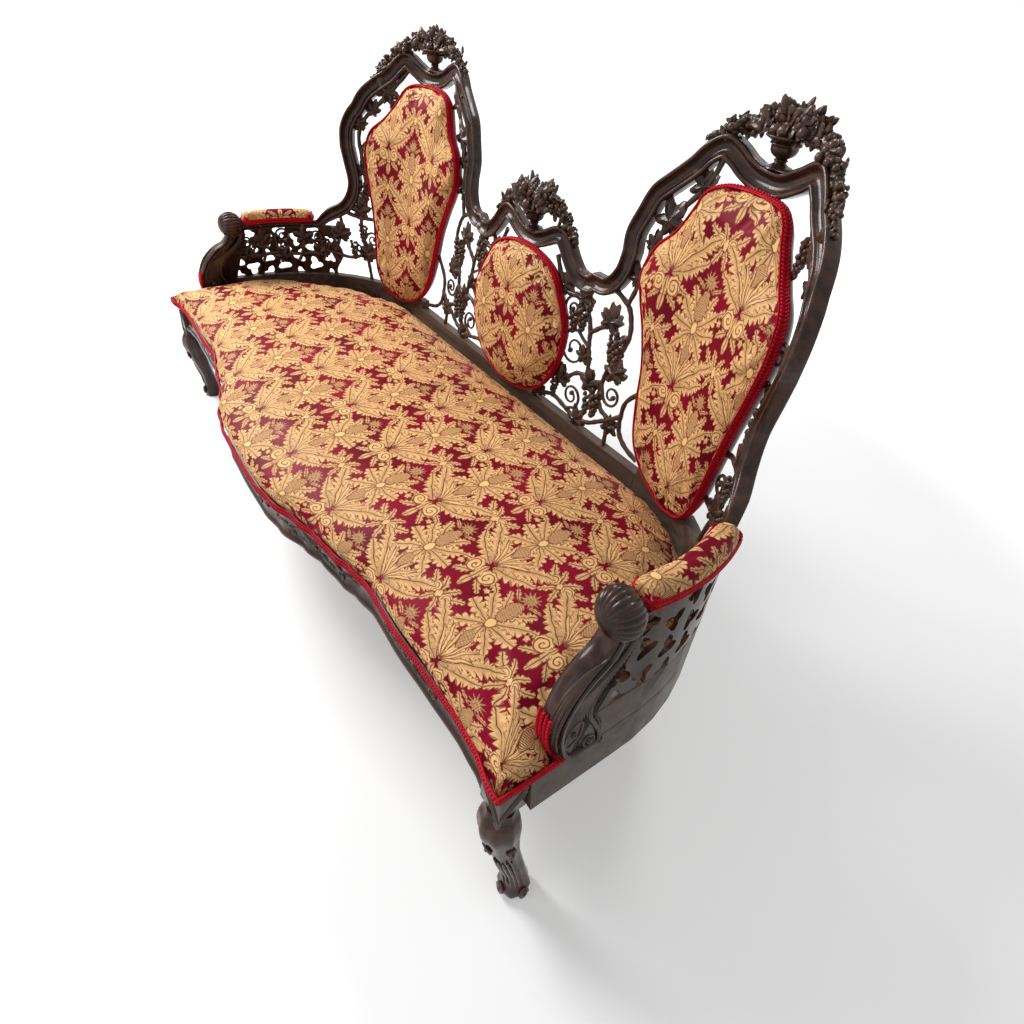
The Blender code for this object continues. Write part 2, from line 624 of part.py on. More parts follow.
def shortened(line, start, end):
    """Draw a line's ends in, each along its own direction, for the gap at a joint."""
    line = [point.copy() for point in line]
    if start:
        line[0] += (line[1] - line[0]).normalized() * start
    if end:
        line[-1] += (line[-2] - line[-1]).normalized() * end
    return line


def with_stub(line, direction, at_start):
    """Add a short straight end, so that two pieces meet on parallel faces."""
    length = RAIL_WIDTH / 8
    if at_start:
        return [line[0], line[0] + direction * length, *line[1:]]
    return [*line[:-1], line[-1] - direction * length, line[-1]]


def rail_lines():
    """The middle line of each piece of the crest rail on the right-hand side."""
    lines = {
        "dip_rail": lobe_line(DIP_SHARES),
        "crest_rail": lobe_line(TALL_CREST_SHARES),
        "outer_stile": lobe_line(OUTER_STILE_SHARES),
        "arm_rail": arm_rail_line(),
    }
    order = ["dip_rail", "crest_rail", "outer_stile", "arm_rail"]
    centre = centre_line()
    lines["dip_rail"] = with_stub(lines["dip_rail"], Vector((1.0, 0.0)), True)
    centre = with_stub(centre, Vector((1.0, 0.0)), False)
    centre = with_stub(centre, Vector((1.0, 0.0)), True)
    for first, second in zip(order, order[1:]):
        direction = (lines[second][1] - lines[first][-2]).normalized()
        lines[first] = with_stub(lines[first], direction, False)
        lines[second] = with_stub(lines[second], direction, True)
    gap = JOINT_GAP / 2
    lines = {name: shortened(line, gap, gap if name != "arm_rail" else 0.0)
             for name, line in lines.items()}
    lines["crest_rail_centre"] = shortened(centre, gap, gap)
    return lines


def arm_rail_widths(line):
    """The arm rail narrows where the pad lies on it."""
    widths = []
    for point in line:
        share = min(1.0, max(0.0, (point[0] - ARM_TURN_RUN) / (ARM_PAD_START_RUN - ARM_TURN_RUN)))
        widths.append(1.0 + share * (ARM_RAIL_WIDTH / RAIL_WIDTH - 1.0))
    return widths


def flat_rail(name, line):
    return moulding(name, line, RAIL_WIDTH / 2, RAIL_THICKNESS / 2, RAIL_SECTION_SHARES,
                    arm_rail_widths(line))


def rail_cutter(line):
    """The rail's full section, a little larger all round and past its joints."""
    line = shortened(line, -4 * JOINT_GAP, -4 * JOINT_GAP)
    return moulding("cutter", line, RAIL_WIDTH / 2 + JOINT_GAP, RAIL_THICKNESS / 2 + JOINT_GAP,
                    PLAIN_SECTION_SHARES, arm_rail_widths(line))


def pad_outline(rows, middle, half, low, high, count):
    """A pad's outline from its rows, as evenly spaced points that run anticlockwise."""
    rise = high - low
    right = [(middle + outer * half, low + up * rise) for up, inner, outer in rows]
    left = [(middle + inner * half, low + up * rise) for up, inner, outer in reversed(rows)]
    start = (middle + (rows[0][1] + rows[0][2]) / 2 * half, low)
    line = smooth([start, *right, *left, start], 3)
    lengths = [0.0]
    for first, second in zip(line, line[1:]):
        lengths.append(lengths[-1] + (second - first).length)
    outline = []
    index = 0
    for step in range(count):
        target = lengths[-1] * step / count
        while lengths[index + 1] < target:
            index += 1
        part = (target - lengths[index]) / (lengths[index + 1] - lengths[index])
        outline.append(line[index].lerp(line[index + 1], part))
    return outline


def offset_outline(outline, distance):
    """Move the corners of an anticlockwise outline outwards, so that each side moves by a distance."""
    result = []
    for index, point in enumerate(outline):
        before = (point - outline[index - 1]).normalized()
        after = (outline[(index + 1) % len(outline)] - point).normalized()
        normal = Vector((before.y + after.y, -before.x - after.x)).normalized()
        result.append(point + normal * distance / normal.dot(Vector((after.y, -after.x))))
    return result


def ring_solid(name, outline, rings):
    """A closed solid of rings: each is the outline drawn in by a share, at its own depth."""
    centre = sum(outline, Vector((0.0, 0.0))) / len(outline)
    shape = bmesh.new()
    loops = []
    for share, depth in rings:
        loops.append([shape.verts.new((*(centre + (point - centre) * share), depth))
                      for point in outline])
    count = len(outline)
    for lower, upper in zip(loops, loops[1:]):
        for index in range(count):
            after = (index + 1) % count
            shape.faces.new((lower[index], lower[after], upper[after], upper[index]))
    for loop, depth in ((loops[0], rings[0][1]), (loops[-1], rings[-1][1])):
        middle = shape.verts.new((*centre, depth))
        for index in range(count):
            shape.faces.new((loop[index], loop[(index + 1) % count], middle))
    bmesh.ops.recalc_face_normals(shape, faces=shape.faces)
    mesh = bpy.data.meshes.new(name)
    shape.to_mesh(mesh)
    shape.free()
    return add_object(name, mesh)


def pad_sizes(kind):
    if kind == "tall":
        return TALL_PAD_SHARES, LOBE_RUN, TALL_PAD_HALF, TALL_PAD_LOW, TALL_PAD_HIGH
    return CENTRE_PAD_SHARES, 0.0, CENTRE_PAD_HALF, CENTRE_PAD_LOW, CENTRE_PAD_HIGH


def flat_board(name, kind, grown=0.0):
    """The wooden backing of a pad; grown makes it larger all round, as a cutter."""
    rows, middle, half, low, high = pad_sizes(kind)
    outline = pad_outline(rows, middle, half, low, high + BOARD_TONGUE, OUTLINE_POINTS)
    outline = offset_outline(outline, grown)
    depth = BOARD_THICKNESS / 2 + grown
    return ring_solid(name, outline, [(0.5, -depth), (1.0, -depth), (1.0, depth), (0.5, depth)])


def make_board(kind, rails):
    """Trim a backing board to the rails that it meets."""
    board = flat_board("board", kind)
    wide = LOBE_RUN + LOBE_HALF_RUN
    floor = block("cutter", (-wide, SEAT_RAIL_TOP, -OVERRUN), (wide, BASE_TOP + JOINT_GAP, OVERRUN))
    return wrap(cut_by(board, [floor, *[rail_cutter(rail) for rail in rails]]), sliced=True)


def make_pad(kind):
    """A crowned pad whose sides draw in, lying on its board."""
    rows, middle, half, low, high = pad_sizes(kind)
    outline = pad_outline(rows, middle, half, low, high, OUTLINE_POINTS)
    clearance = PAD_CLEARANCE if kind == "tall" else CENTRE_PAD_CLEARANCE
    back = BOARD_THICKNESS / 2 + clearance
    rings = [(share, back + deep * PAD_THICKNESS) for share, deep in PAD_RING_SHARES]
    return wrap(ring_solid("pad", outline, rings), sliced=True)


def flat_vine(name, stems, leaves, grapes, full_rise=VINE_RISE):
    """Stems, leaves and bunches of one panel of openwork, joined into one flat carving."""
    def vine_point(run, rise):
        return (run * LOBE_RUN, BASE_TOP + rise * full_rise)

    solids = []
    for index, stem in enumerate(stems):
        depth = STEM_RADIUS * WEAVE_SHARE * (index % 3 - 1)
        line = [(*vine_point(*place), depth) for place in stem]
        solids.append(tube("stem", line, STEM_RADIUS * (1.0 - SLIMMER_SHARE * (index % 4)), 0))
    for run, rise, size, turn in leaves:
        solids.append(leaf("leaf", vine_point(run, rise), size * LEAF_SIZE, turn, LEAF_THICKNESS))
    for run, rise, share in grapes:
        x, y = vine_point(run, rise)
        size = share * GRAPE_SIZE
        radii = (size * GRAPE_WIDTH_SHARE, size, size * GRAPE_DEPTH_SHARE)
        solids.append(ball("grapes", (x, y, 0.0), radii))
    return join_all(name, solids)


def largest_body(item):
    """Keep the biggest body of a trimmed piece and drop its offcuts."""
    shape = bmesh.new()
    shape.from_mesh(item.data)
    left = set(shape.faces)
    bodies = []
    while left:
        body = {left.pop()}
        edge_of_body = list(body)
        while edge_of_body:
            face = edge_of_body.pop()
            for edge in face.edges:
                for other in edge.link_faces:
                    if other not in body:
                        body.add(other)
                        edge_of_body.append(other)
        left -= body
        bodies.append(body)
    bodies.sort(key=lambda body: sum(face.calc_area() for face in body))
    offcuts = [face for body in bodies[:-1] for face in body]
    bmesh.ops.delete(shape, geom=offcuts, context="FACES")
    shape.to_mesh(item.data)
    shape.free()
    return item


def cut_by(item, tools):
    for tool in tools:
        item = combine(item, tool, "DIFFERENCE")
    return largest_body(item)


def base_cutter():
    """Everything up to the top of the rail under the openwork."""
    wide = SUPPORT_REAR_RUN + SUPPORT_DEPTH
    return block("cutter", (-wide, SEAT_RAIL_LOW, -OVERRUN), (wide, BASE_TOP + JOINT_GAP, OVERRUN))


def arm_board_cutter():
    return block("cutter", (BACK_STRAIGHT_HALF, SEAT_RAIL_LOW, -OVERRUN),
                 (SUPPORT_REAR_RUN + SUPPORT_DEPTH, BASE_LOW + ARM_BOARD_HEIGHT + JOINT_GAP, OVERRUN))


def above_arm_rail_cutter():
    low = ARM_RAIL_HEIGHT - ARM_RAIL_WIDTH / 2 - JOINT_GAP
    return block("cutter", (ARM_PAD_START_RUN, low, -OVERRUN),
                 (SUPPORT_REAR_RUN + SUPPORT_DEPTH, KNOB_HEIGHT + KNOB_RADIUS, OVERRUN))


def split_cutter(side):
    """The half space on one side of the joint between the outer vine and the arm vine."""
    split = BRANCH_SPLIT_RUN_SHARE * LOBE_RUN
    gap = JOINT_GAP / 2
    far = SUPPORT_REAR_RUN + SUPPORT_DEPTH
    low, high = (split - gap, far) if side == "front" else (0.0, split + gap)
    return block("cutter", (low, SEAT_RAIL_LOW, -OVERRUN), (high, ARM_TURN_HEIGHT - OVERRUN, OVERRUN))


def make_vines(lines):
    """The three panels of openwork of the right-hand side."""
    def rail(name):
        return rail_cutter(lines[name])

    inner = flat_vine("vine_inner", INNER_STEM_SHARES, INNER_LEAF_SHARES, INNER_GRAPE_SHARES)
    inner = cut_by(inner, [rail("crest_rail_centre"), rail("dip_rail"), rail("crest_rail"),
                           flat_board("cutter", "tall", JOINT_GAP),
                           flat_board("cutter", "centre", JOINT_GAP), base_cutter()])
    outer = flat_vine("vine_outer", OUTER_STEM_SHARES, OUTER_LEAF_SHARES, OUTER_GRAPE_SHARES)
    outer = cut_by(outer, [rail("crest_rail"), rail("outer_stile"), base_cutter(),
                           arm_board_cutter(), flat_board("cutter", "tall", JOINT_GAP),
                           split_cutter("front")])
    arm = flat_vine("vine_arm", ARM_STEM_SHARES, ARM_LEAF_SHARES, ARM_GRAPE_SHARES, ARM_VINE_RISE)
    arm = cut_by(arm, [rail("outer_stile"), rail("arm_rail"), above_arm_rail_cutter(),
                       arm_board_cutter(), flat_support("cutter", JOINT_GAP),
                       split_cutter("rear")])
    return {"vine_inner": wrap(inner), "vine_outer": wrap(outer), "vine_arm": wrap(arm)}


def flat_support(name, grown=0.0):
    """The arm support: an S-shaped board with a round knob at its head."""
    points = [(SUPPORT_REAR_RUN + deep * SUPPORT_DEPTH, BASE_LOW + up * SUPPORT_RISE)
              for deep, up in SUPPORT_SHARES]
    outline = offset_outline([Vector(point) for point in points], grown)
    half = SUPPORT_THICKNESS / 2 + grown
    body = plate(name, outline, -half, half)
    radius = KNOB_RADIUS + grown
    head = ball("head", (KNOB_RUN, KNOB_HEIGHT, 0.0), (radius, radius, radius), 2)
    return join_all(name, [body, head])


def make_arm_pad():
    """The pad that lies on the arm rail."""
    length = ARM_PAD_END_RUN - ARM_PAD_START_RUN
    low = ARM_RAIL_HEIGHT + ARM_RAIL_WIDTH / 2 + 2 * JOINT_GAP
    half = ARM_PAD_WIDTH / 2
    shape = bmesh.new()
    loops = []
    for step in range(ARM_PAD_STEPS + 1):
        run = ARM_PAD_START_RUN + length * step / ARM_PAD_STEPS
        full = ARM_PAD_END_SHARE if step in (0, ARM_PAD_STEPS) else 1.0
        loops.append([shape.verts.new((run, low + up * full * ARM_PAD_THICKNESS, across * full * half))
                      for across, up in ARM_PAD_SECTION_SHARES])
    count = len(ARM_PAD_SECTION_SHARES)
    for first, second in zip(loops, loops[1:]):
        for index in range(count):
            after = (index + 1) % count
            shape.faces.new((first[index], first[after], second[after], second[index]))
    shape.faces.new(loops[0])
    shape.faces.new(loops[-1])
    bmesh.ops.recalc_face_normals(shape, faces=shape.faces)
    mesh = bpy.data.meshes.new("arm_pad")
    shape.to_mesh(mesh)
    shape.free()
    return wrap(add_object("arm_pad", mesh))


def straight_rail(name, start, end, low, high, thickness, steps, depth=0.0):
    """A plain rail bent along the back, between two runs and two heights."""
    line = [Vector((start + (end - start) * step / steps, (low + high) / 2))
            for step in range(steps + 1)]
    rail = moulding(name, line, (high - low) / 2, thickness / 2, PLAIN_SECTION_SHARES)
    rail.data.transform(Matrix.Translation((0.0, 0.0, depth)))
    return rail


def front_y(x):
    """The front face of the apron at x."""
    share = abs(x) / FRONT_HALF_WIDTH
    for (x0, y0), (x1, y1) in zip(APRON_SHARES, APRON_SHARES[1:]):
        if share <= x1:
            part = (share - x0) / (x1 - x0)
            ease = part * part * (3 - 2 * part)
            return FRONT_SIDE_Y - FRONT_BOW * (y0 + (y1 - y0) * ease)
    return FRONT_SIDE_Y - FRONT_BOW * APRON_SHARES[-1][1]


def make_front_rail():
    """The serpentine apron."""
    reach = POST_X - CORNER_POST_SIZE / 2 - JOINT_GAP
    middle = SEAT_RAIL_THICKNESS / 2
    line = []
    for step in range(APRON_STEPS + 1):
        x = reach * (2 * step / APRON_STEPS - 1)
        line.append(Vector((x, front_y(x) + middle)))
    line = with_stub(with_stub(line, Vector((1.0, 0.0)), True), Vector((1.0, 0.0)), False)
    rail = moulding("seat_rail_front", line, middle, SEAT_RAIL_HEIGHT / 2, APRON_SECTION_SHARES)
    rail.data.transform(Matrix.Translation((0.0, 0.0, SEAT_RAIL_LOW + SEAT_RAIL_HEIGHT / 2)))
    return rail


def inner_back_y(x, front):
    """Where the inner face of the back or arm lies behind x, at seat height."""
    radius = CORNER_RADIUS - front
    past = max(0.0, abs(x) - BACK_STRAIGHT_HALF)
    if past >= radius:
        return CORNER_CENTRE_Y
    return CORNER_CENTRE_Y + math.sqrt(radius * radius - past * past)


def make_front_leg():
    """A cabriole leg under a square corner post."""
    half = CORNER_POST_SIZE / 2
    post = block("post", (POST_X - half, POST_Y - half, SEAT_RAIL_LOW),
                 (POST_X + half, POST_Y + half, SEAT_RAIL_TOP))
    line = []
    radii = []
    for aside, ahead, up, thick in LEG_SHARES:
        line.append((POST_X + aside * LEG_REACH, POST_Y - ahead * LEG_REACH, up * SEAT_RAIL_LOW))
        radii.append(thick)
    leg = tube("leg", line, FOOT_RADIUS, 2, radii)
    return join_all("front_leg", [post, leg])


def make_rear_leg():
    """A plain square leg, tapered and raked back, under the seat rail."""
    top = back_point(REAR_LEG_RUN, SEAT_RAIL_LOW, 0.0)
    shape = bmesh.new()
    bmesh.ops.create_cube(shape, size=1.0)
    for vertex in shape.verts:
        upper = vertex.co.z > 0
        size = REAR_LEG_TOP if upper else REAR_LEG_FOOT
        rake = 0.0 if upper else REAR_LEG_RAKE
        splay = 0.0 if upper else REAR_LEG_SPLAY
        height = SEAT_RAIL_LOW - JOINT_GAP if upper else 0.0
        vertex.co = (top.x + vertex.co.x * size + splay, top.y + vertex.co.y * size + rake, height)
    mesh = bpy.data.meshes.new("rear_leg")
    shape.to_mesh(mesh)
    shape.free()
    return add_object("rear_leg", mesh)


def block_heights():
    return (SEAT_RAIL_LOW + BLOCK_LOW_SHARE * SEAT_RAIL_HEIGHT,
            SEAT_RAIL_TOP - BLOCK_HIGH_SHARE * SEAT_RAIL_HEIGHT)


def make_front_block():
    """A glued corner block behind a front post."""
    inner = POST_X - CORNER_POST_SIZE / 2 - JOINT_GAP
    behind = POST_Y + CORNER_POST_SIZE / 2 + JOINT_GAP
    side = CORNER_POST_SIZE
    near = max(front_y(inner - side), front_y(inner)) + SEAT_RAIL_THICKNESS + 2 * JOINT_GAP
    outline = [(inner - side, near), (inner, near), (inner, behind + side / 2)]
    return plate("corner_block", outline, *block_heights())


def make_rear_block():
    """A block glued inside the seat rail over a rear leg."""
    reach = REAR_LEG_TOP
    depth = REAR_LEG_TOP / 2
    place = SEAT_RAIL_THICKNESS / 2 + depth / 2 + 4 * JOINT_GAP
    low, high = block_heights()
    return wrap(straight_rail("rear_block", REAR_LEG_RUN - reach, REAR_LEG_RUN + reach, low, high,
                              depth, BENT_BLOCK_STEPS, place))


def spring_places():
    places = []
    for row in range(SPRING_ROWS):
        for column in range(SPRING_COLUMNS):
            x = (column - (SPRING_COLUMNS - 1) / 2) * SPRING_PITCH_X
            y = SPRING_MIDDLE_Y + (row - (SPRING_ROWS - 1) / 2) * SPRING_PITCH_Y
            places.append((x, y))
    return places


def make_webbing():
    """Crossed webs, nailed under the seat rails, that carry the springs."""
    top = SEAT_RAIL_LOW - JOINT_GAP
    half = WEB_WIDTH / 2
    strips = []
    for column in range(SPRING_COLUMNS):
        x = (column - (SPRING_COLUMNS - 1) / 2) * SPRING_PITCH_X
        front = max(front_y(x - half), front_y(x + half)) + SEAT_RAIL_THICKNESS / 3
        strips.append(block("web", (x - half, front, top - WEB_THICKNESS),
                            (x + half, inner_back_y(x, 0.0), top)))
    for row in range(SPRING_ROWS):
        y = SPRING_MIDDLE_Y + (row - (SPRING_ROWS - 1) / 2) * SPRING_PITCH_Y
        past = max(0.0, y + half - CORNER_CENTRE_Y)
        reach = BACK_STRAIGHT_HALF + math.sqrt(CORNER_RADIUS ** 2 - past ** 2)
        strips.append(block("web", (-reach, y - half, top - WEB_THICKNESS), (reach, y + half, top)))
    return join_all("webbing", strips)


def make_spring(name, x, y):
    """A coil spring with a waist, standing on the webbing."""
    low = SEAT_RAIL_LOW + SPRING_WIRE
    high = SEAT_RAIL_TOP - SPRING_WIRE
    points = SPRING_POINTS * SPRING_TURNS
    line = []
    for step in range(points + 1):
        share = step / points
        turn = 2 * math.pi * SPRING_TURNS * share
        waist = SPRING_WAIST_SHARE + (1 - SPRING_WAIST_SHARE) * abs(2 * share - 1)
        radius = SPRING_RADIUS * waist
        line.append((x + radius * math.cos(turn), y + radius * math.sin(turn),
                     low + (high - low) * share))
    return tube(name, line, SPRING_WIRE, 0)


def seat_outline(inset_front, inset_back):
    """The seat's plan: front line from left to right, then the back line."""
    reach = POST_X - CORNER_POST_SIZE / 2
    front = []
    back = []
    for step in range(DECK_STEPS + 1):
        x = reach * (2 * step / DECK_STEPS - 1)
        front.append((x, front_y(x) + inset_front))
        back.append((x, inner_back_y(x, inset_back)))
    return front + list(reversed(back))


def make_deck():
    """The hessian deck over the springs, under the seat cushion."""
    low = SEAT_RAIL_TOP + JOINT_GAP
    outline = seat_outline(SEAT_RAIL_THICKNESS / 2, BASE_RAIL_THICKNESS / 2 + SEAT_CLEARANCE)
    return plate("seat_deck", outline, low, low + DECK_THICKNESS)


def seat_stations():
    """Across the seat: x, front edge, back edge and crown at each station of the right half."""
    inset = BASE_RAIL_THICKNESS / 2 + SEAT_CLEARANCE
    stations = []
    for share in SEAT_STATION_SHARES:
        x = share * FRONT_HALF_WIDTH
        crown = SEAT_CROWN * (1.0 - SEAT_FALL_SHARE * share ** 4)
        stations.append((x, front_y(x) - CUSHION_OVERHANG, inner_back_y(x, inset), crown))
    x = stations[-1][0]
    corner_back = CORNER_CENTRE_Y - (SUPPORT_REAR_RUN + SUPPORT_DEPTH - ARM_START_RUN)
    corner_back -= SEAT_CORNER_CLEARANCE
    for step, drop in SEAT_END_SHARES:
        far = x + step * FRONT_HALF_WIDTH
        stations.append((far, front_y(far) - CUSHION_OVERHANG, corner_back, SEAT_CROWN * drop))
    return stations


def make_seat_cushion():
    """The crowned, over-stuffed seat, as a loft across its stations with soft edges."""
    right = seat_stations()
    left = [(-x, front, back, crown) for x, front, back, crown in reversed(right[1:])]
    low = SEAT_RAIL_TOP + DECK_THICKNESS + 2 * JOINT_GAP
    shape = bmesh.new()
    loops = []
    for x, front, back, crown in left + right:
        depth = back - front
        loops.append([shape.verts.new((x, front + along * depth, low + up * crown))
                      for along, up in SEAT_SECTION_SHARES])
    count = len(SEAT_SECTION_SHARES)
    for first, second in zip(loops, loops[1:]):
        for index in range(count):
            after = (index + 1) % count
            shape.faces.new((first[index], first[after], second[after], second[index]))
    shape.faces.new(loops[0])
    shape.faces.new(loops[-1])
    bmesh.ops.recalc_face_normals(shape, faces=shape.faces)
    mesh = bpy.data.meshes.new("seat_cushion")
    shape.to_mesh(mesh)
    shape.free()
    cushion = add_object("seat_cushion", mesh)
    soft = cushion.modifiers.new("soft", "SUBSURF")
    soft.levels = 1
    soft.render_levels = 1
    return bake(cushion)


def rail_top(run):
    """The top of the crest rail in the hollow of a lobe."""
    if run:
        return DIP_HEIGHT + TALL_HOLLOW_SHARE * LOBE_RISE + RAIL_WIDTH / 2
    return DIP_HEIGHT + CENTRE_HOLLOW_SHARE * CENTRE_RISE + RAIL_WIDTH / 2


def make_urn(name, run):
    """A turned urn that stands in the hollow of a lobe."""
    data = bpy.data.meshes.new(name)
    shape = bmesh.new()
    profile = [shape.verts.new((radius * URN_RIM_RADIUS, 0.0, up * URN_HEIGHT))
               for radius, up in URN_SHARES]
    for first, second in zip(profile, profile[1:]):
        shape.edges.new((first, second))
    shape.to_mesh(data)
    shape.free()
    urn = add_object(name, data)
    screw = urn.modifiers.new("turn", "SCREW")
    screw.steps = URN_STEPS
    screw.render_steps = URN_STEPS
    screw.use_merge_vertices = True
    screw.merge_threshold = 0.0001
    urn = outward_faces(bake(urn))
    place = back_point(run, rail_top(run) + 2 * JOINT_GAP, 0.0)
    urn.data.transform(Matrix.Translation(place))
    return urn


def heap(run, low, size):
    """Fruit, flowers and leaves piled up from a level."""
    solids = []
    for aside, up, ahead, radius in BOUQUET_FRUIT_SHARES:
        reach = radius * size
        solids.append(ball("fruit", (run + aside * size, low + up * size, ahead * size),
                           (reach, reach, reach)))
    for aside, up, breadth, turn in BOUQUET_LEAF_SHARES:
        solids.append(leaf("leaf", (run + aside * size, low + up * size), breadth * size, turn,
                           LEAF_THICKNESS))
    return solids


def garland(line):
    """Carved fruit that trails from a bouquet along the top of the rail."""
    line = smooth(line, 1)
    radii = [GARLAND_WAIST_SHARE if index % 2 else 1.0 for index in range(len(line))]
    radii[-1] = GARLAND_TIP_SHARE
    return tube("garland", line, GARLAND_RADIUS, 0, radii)


def flat_bouquet(name, run, size, garland_lines, rails):
    """A heap on its urn with a garland to each side, clear of the urn and the rails."""
    low = rail_top(run) + URN_HEIGHT + 3 * JOINT_GAP
    solids = heap(run, low, size) + [garland(line) for line in garland_lines]
    carving = join_all(name, solids)
    half = URN_RIM_RADIUS + STEM_RADIUS
    floor = block("cutter", (run - half, low - size, -size), (run + half, low, size))
    return cut_by(carving, [floor, *[rail_cutter(rail) for rail in rails]])


def lobe_garland(shares):
    return [(LOBE_RUN + run * LOBE_HALF_RUN, DIP_HEIGHT + rise * LOBE_RISE) for run, rise in shares]


def centre_garland(side):
    return [(side * run * CENTRE_HALF_RUN, DIP_HEIGHT + rise * CENTRE_RISE)
            for run, rise in CENTRE_GARLAND_SHARES]


def centre_on_origin(pieces):
    """Hang every piece on one empty and put the middle of the depth over the origin."""
    bpy.context.view_layer.update()
    lows = []
    highs = []
    for piece in pieces:
        depths = [vertex.co.y for vertex in piece.data.vertices]
        lows.append(min(depths))
        highs.append(max(depths))
    frame = bpy.data.objects.new("settee_frame", None)
    parts.objects.link(frame)
    frame.location.y = -(min(lows) + max(highs)) / 2
    for piece in pieces:
        piece.parent = frame
    print("middle of the depth moved by", round(frame.location.y, 5))


def shade(piece):
    piece.data.shade_smooth()
    piece.data.set_sharp_from_angle(angle=math.radians(40))


def build_back(pieces):
    """Crest rails, boards, pads, openwork and carving on the bent back."""
    lines = rail_lines()
    pieces.append(one_piece("crest_rail_centre",
                            wrap(flat_rail("crest_rail_centre", lines["crest_rail_centre"])), "rosewood"))
    for name in ("dip_rail", "crest_rail", "outer_stile"):
        pieces.extend(both_sides(name, wrap(flat_rail(name, lines[name])), "rosewood"))
    arm_rail = combine(flat_rail("arm_rail", lines["arm_rail"]), flat_support("cutter", JOINT_GAP),
                       "DIFFERENCE")
    pieces.extend(both_sides("arm_rail", wrap(arm_rail), "rosewood"))

    centre_board = make_board("centre", [lines["crest_rail_centre"]])
    pieces.append(one_piece("medallion_board_centre", centre_board, "rosewood"))
    pieces.extend(both_sides("medallion_board", make_board("tall", [lines["crest_rail"]]), "rosewood"))
    pieces.append(one_piece("medallion_pad_centre", make_pad("centre"), "damask"))
    pieces.extend(both_sides("medallion_pad", make_pad("tall"), "damask"))

    for name, vine in make_vines(lines).items():
        pieces.extend(both_sides(name, vine, "rosewood"))

    build_cresting(pieces, lines)


def build_cresting(pieces, lines):
    """An urn with its bouquet in the hollow of each lobe."""
    pieces.extend(both_sides("urn", make_urn("urn", LOBE_RUN), "rosewood"))
    garlands = [lobe_garland(INNER_GARLAND_SHARES), lobe_garland(OUTER_GARLAND_SHARES)]
    bouquet = flat_bouquet("bouquet", LOBE_RUN, BOUQUET_SIZE, garlands, [lines["crest_rail"]])
    pieces.extend(both_sides("bouquet", wrap(bouquet), "rosewood"))
    pieces.append(one_piece("urn_centre", make_urn("urn_centre", 0.0), "rosewood"))
    garlands = [centre_garland(-1), centre_garland(1)]
    bouquet = flat_bouquet("bouquet", 0.0, CENTRE_BOUQUET_SIZE, garlands,
                           [lines["crest_rail_centre"]])
    pieces.append(one_piece("bouquet_centre", wrap(bouquet), "rosewood"))


def build_arms(pieces):
    pieces.extend(both_sides("arm_support", wrap(flat_support("arm_support")), "rosewood"))
    pieces.extend(both_sides("arm_pad", make_arm_pad(), "damask"))
    board = straight_rail("arm_board", BACK_STRAIGHT_HALF + JOINT_GAP / 2,
                          SUPPORT_REAR_RUN + SUPPORT_DEPTH / 2, BASE_LOW,
                          BASE_LOW + ARM_BOARD_HEIGHT, BASE_RAIL_THICKNESS, BENT_BOARD_STEPS)
    board = cut_by(board, [flat_board("cutter", "tall", JOINT_GAP),
                           flat_support("cutter", JOINT_GAP)])
    pieces.extend(both_sides("arm_board", wrap(board), "rosewood"))


def build_seat(pieces):
    """The seat frame, its legs and everything that carries the cushion."""
    half = BACK_STRAIGHT_HALF - JOINT_GAP / 2
    base = straight_rail("base_rail", -half, half, BASE_LOW, BASE_TOP, BASE_RAIL_THICKNESS,
                         STRAIGHT_RAIL_STEPS)
    pieces.append(one_piece("base_rail", wrap(base), "rosewood"))
    back = straight_rail("seat_rail_back", -half, half, SEAT_RAIL_LOW, SEAT_RAIL_TOP,
                         SEAT_RAIL_THICKNESS, STRAIGHT_RAIL_STEPS)
    pieces.append(one_piece("seat_rail_back", wrap(back), "rosewood"))
    post_behind = POST_Y + CORNER_POST_SIZE / 2 + JOINT_GAP
    end_run = ARM_START_RUN + CORNER_CENTRE_Y - post_behind
    side = straight_rail("seat_rail", BACK_STRAIGHT_HALF + JOINT_GAP / 2, end_run, SEAT_RAIL_LOW,
                         SEAT_RAIL_TOP, SEAT_RAIL_THICKNESS, BENT_RAIL_STEPS)
    pieces.extend(both_sides("seat_rail", wrap(side), "rosewood"))
    pieces.append(one_piece("seat_rail_front", make_front_rail(), "rosewood"))
    pieces.extend(both_sides("front_leg", make_front_leg(), "rosewood"))
    pieces.extend(both_sides("rear_leg", make_rear_leg(), "rosewood"))
    pieces.extend(both_sides("front_corner_block", make_front_block(), "inner_wood"))
    pieces.extend(both_sides("rear_corner_block", make_rear_block(), "inner_wood"))
    pieces.append(one_piece("webbing", make_webbing(), "webbing"))
    for number, (x, y) in enumerate(spring_places(), 1):
        name = f"coil_spring_{number}"
        pieces.append(one_piece(name, make_spring(name, x, y), "spring_steel"))
    pieces.append(one_piece("seat_deck", make_deck(), "webbing"))
    pieces.append(one_piece("seat_cushion", make_seat_cushion(), "damask"))


clear_scene()
parts = make_collection("settee")
guides = make_collection("sections")
all_pieces = []
build_back(all_pieces)
build_arms(all_pieces)
build_seat(all_pieces)
for settee_piece in all_pieces:
    shade(settee_piece)
centre_on_origin(all_pieces)
print("pieces", len(all_pieces))
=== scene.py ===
# %% [markdown]
# # A carved settee with three upholstered medallions
# The settee's construction is already packed as one frame of plain solids. This lesson dresses it:
# moulded rails, vine openwork, carved fruit, damask upholstery and braid. Every piece stands where
# its solid stands, so the first step loads the frame and keeps the size of its box.

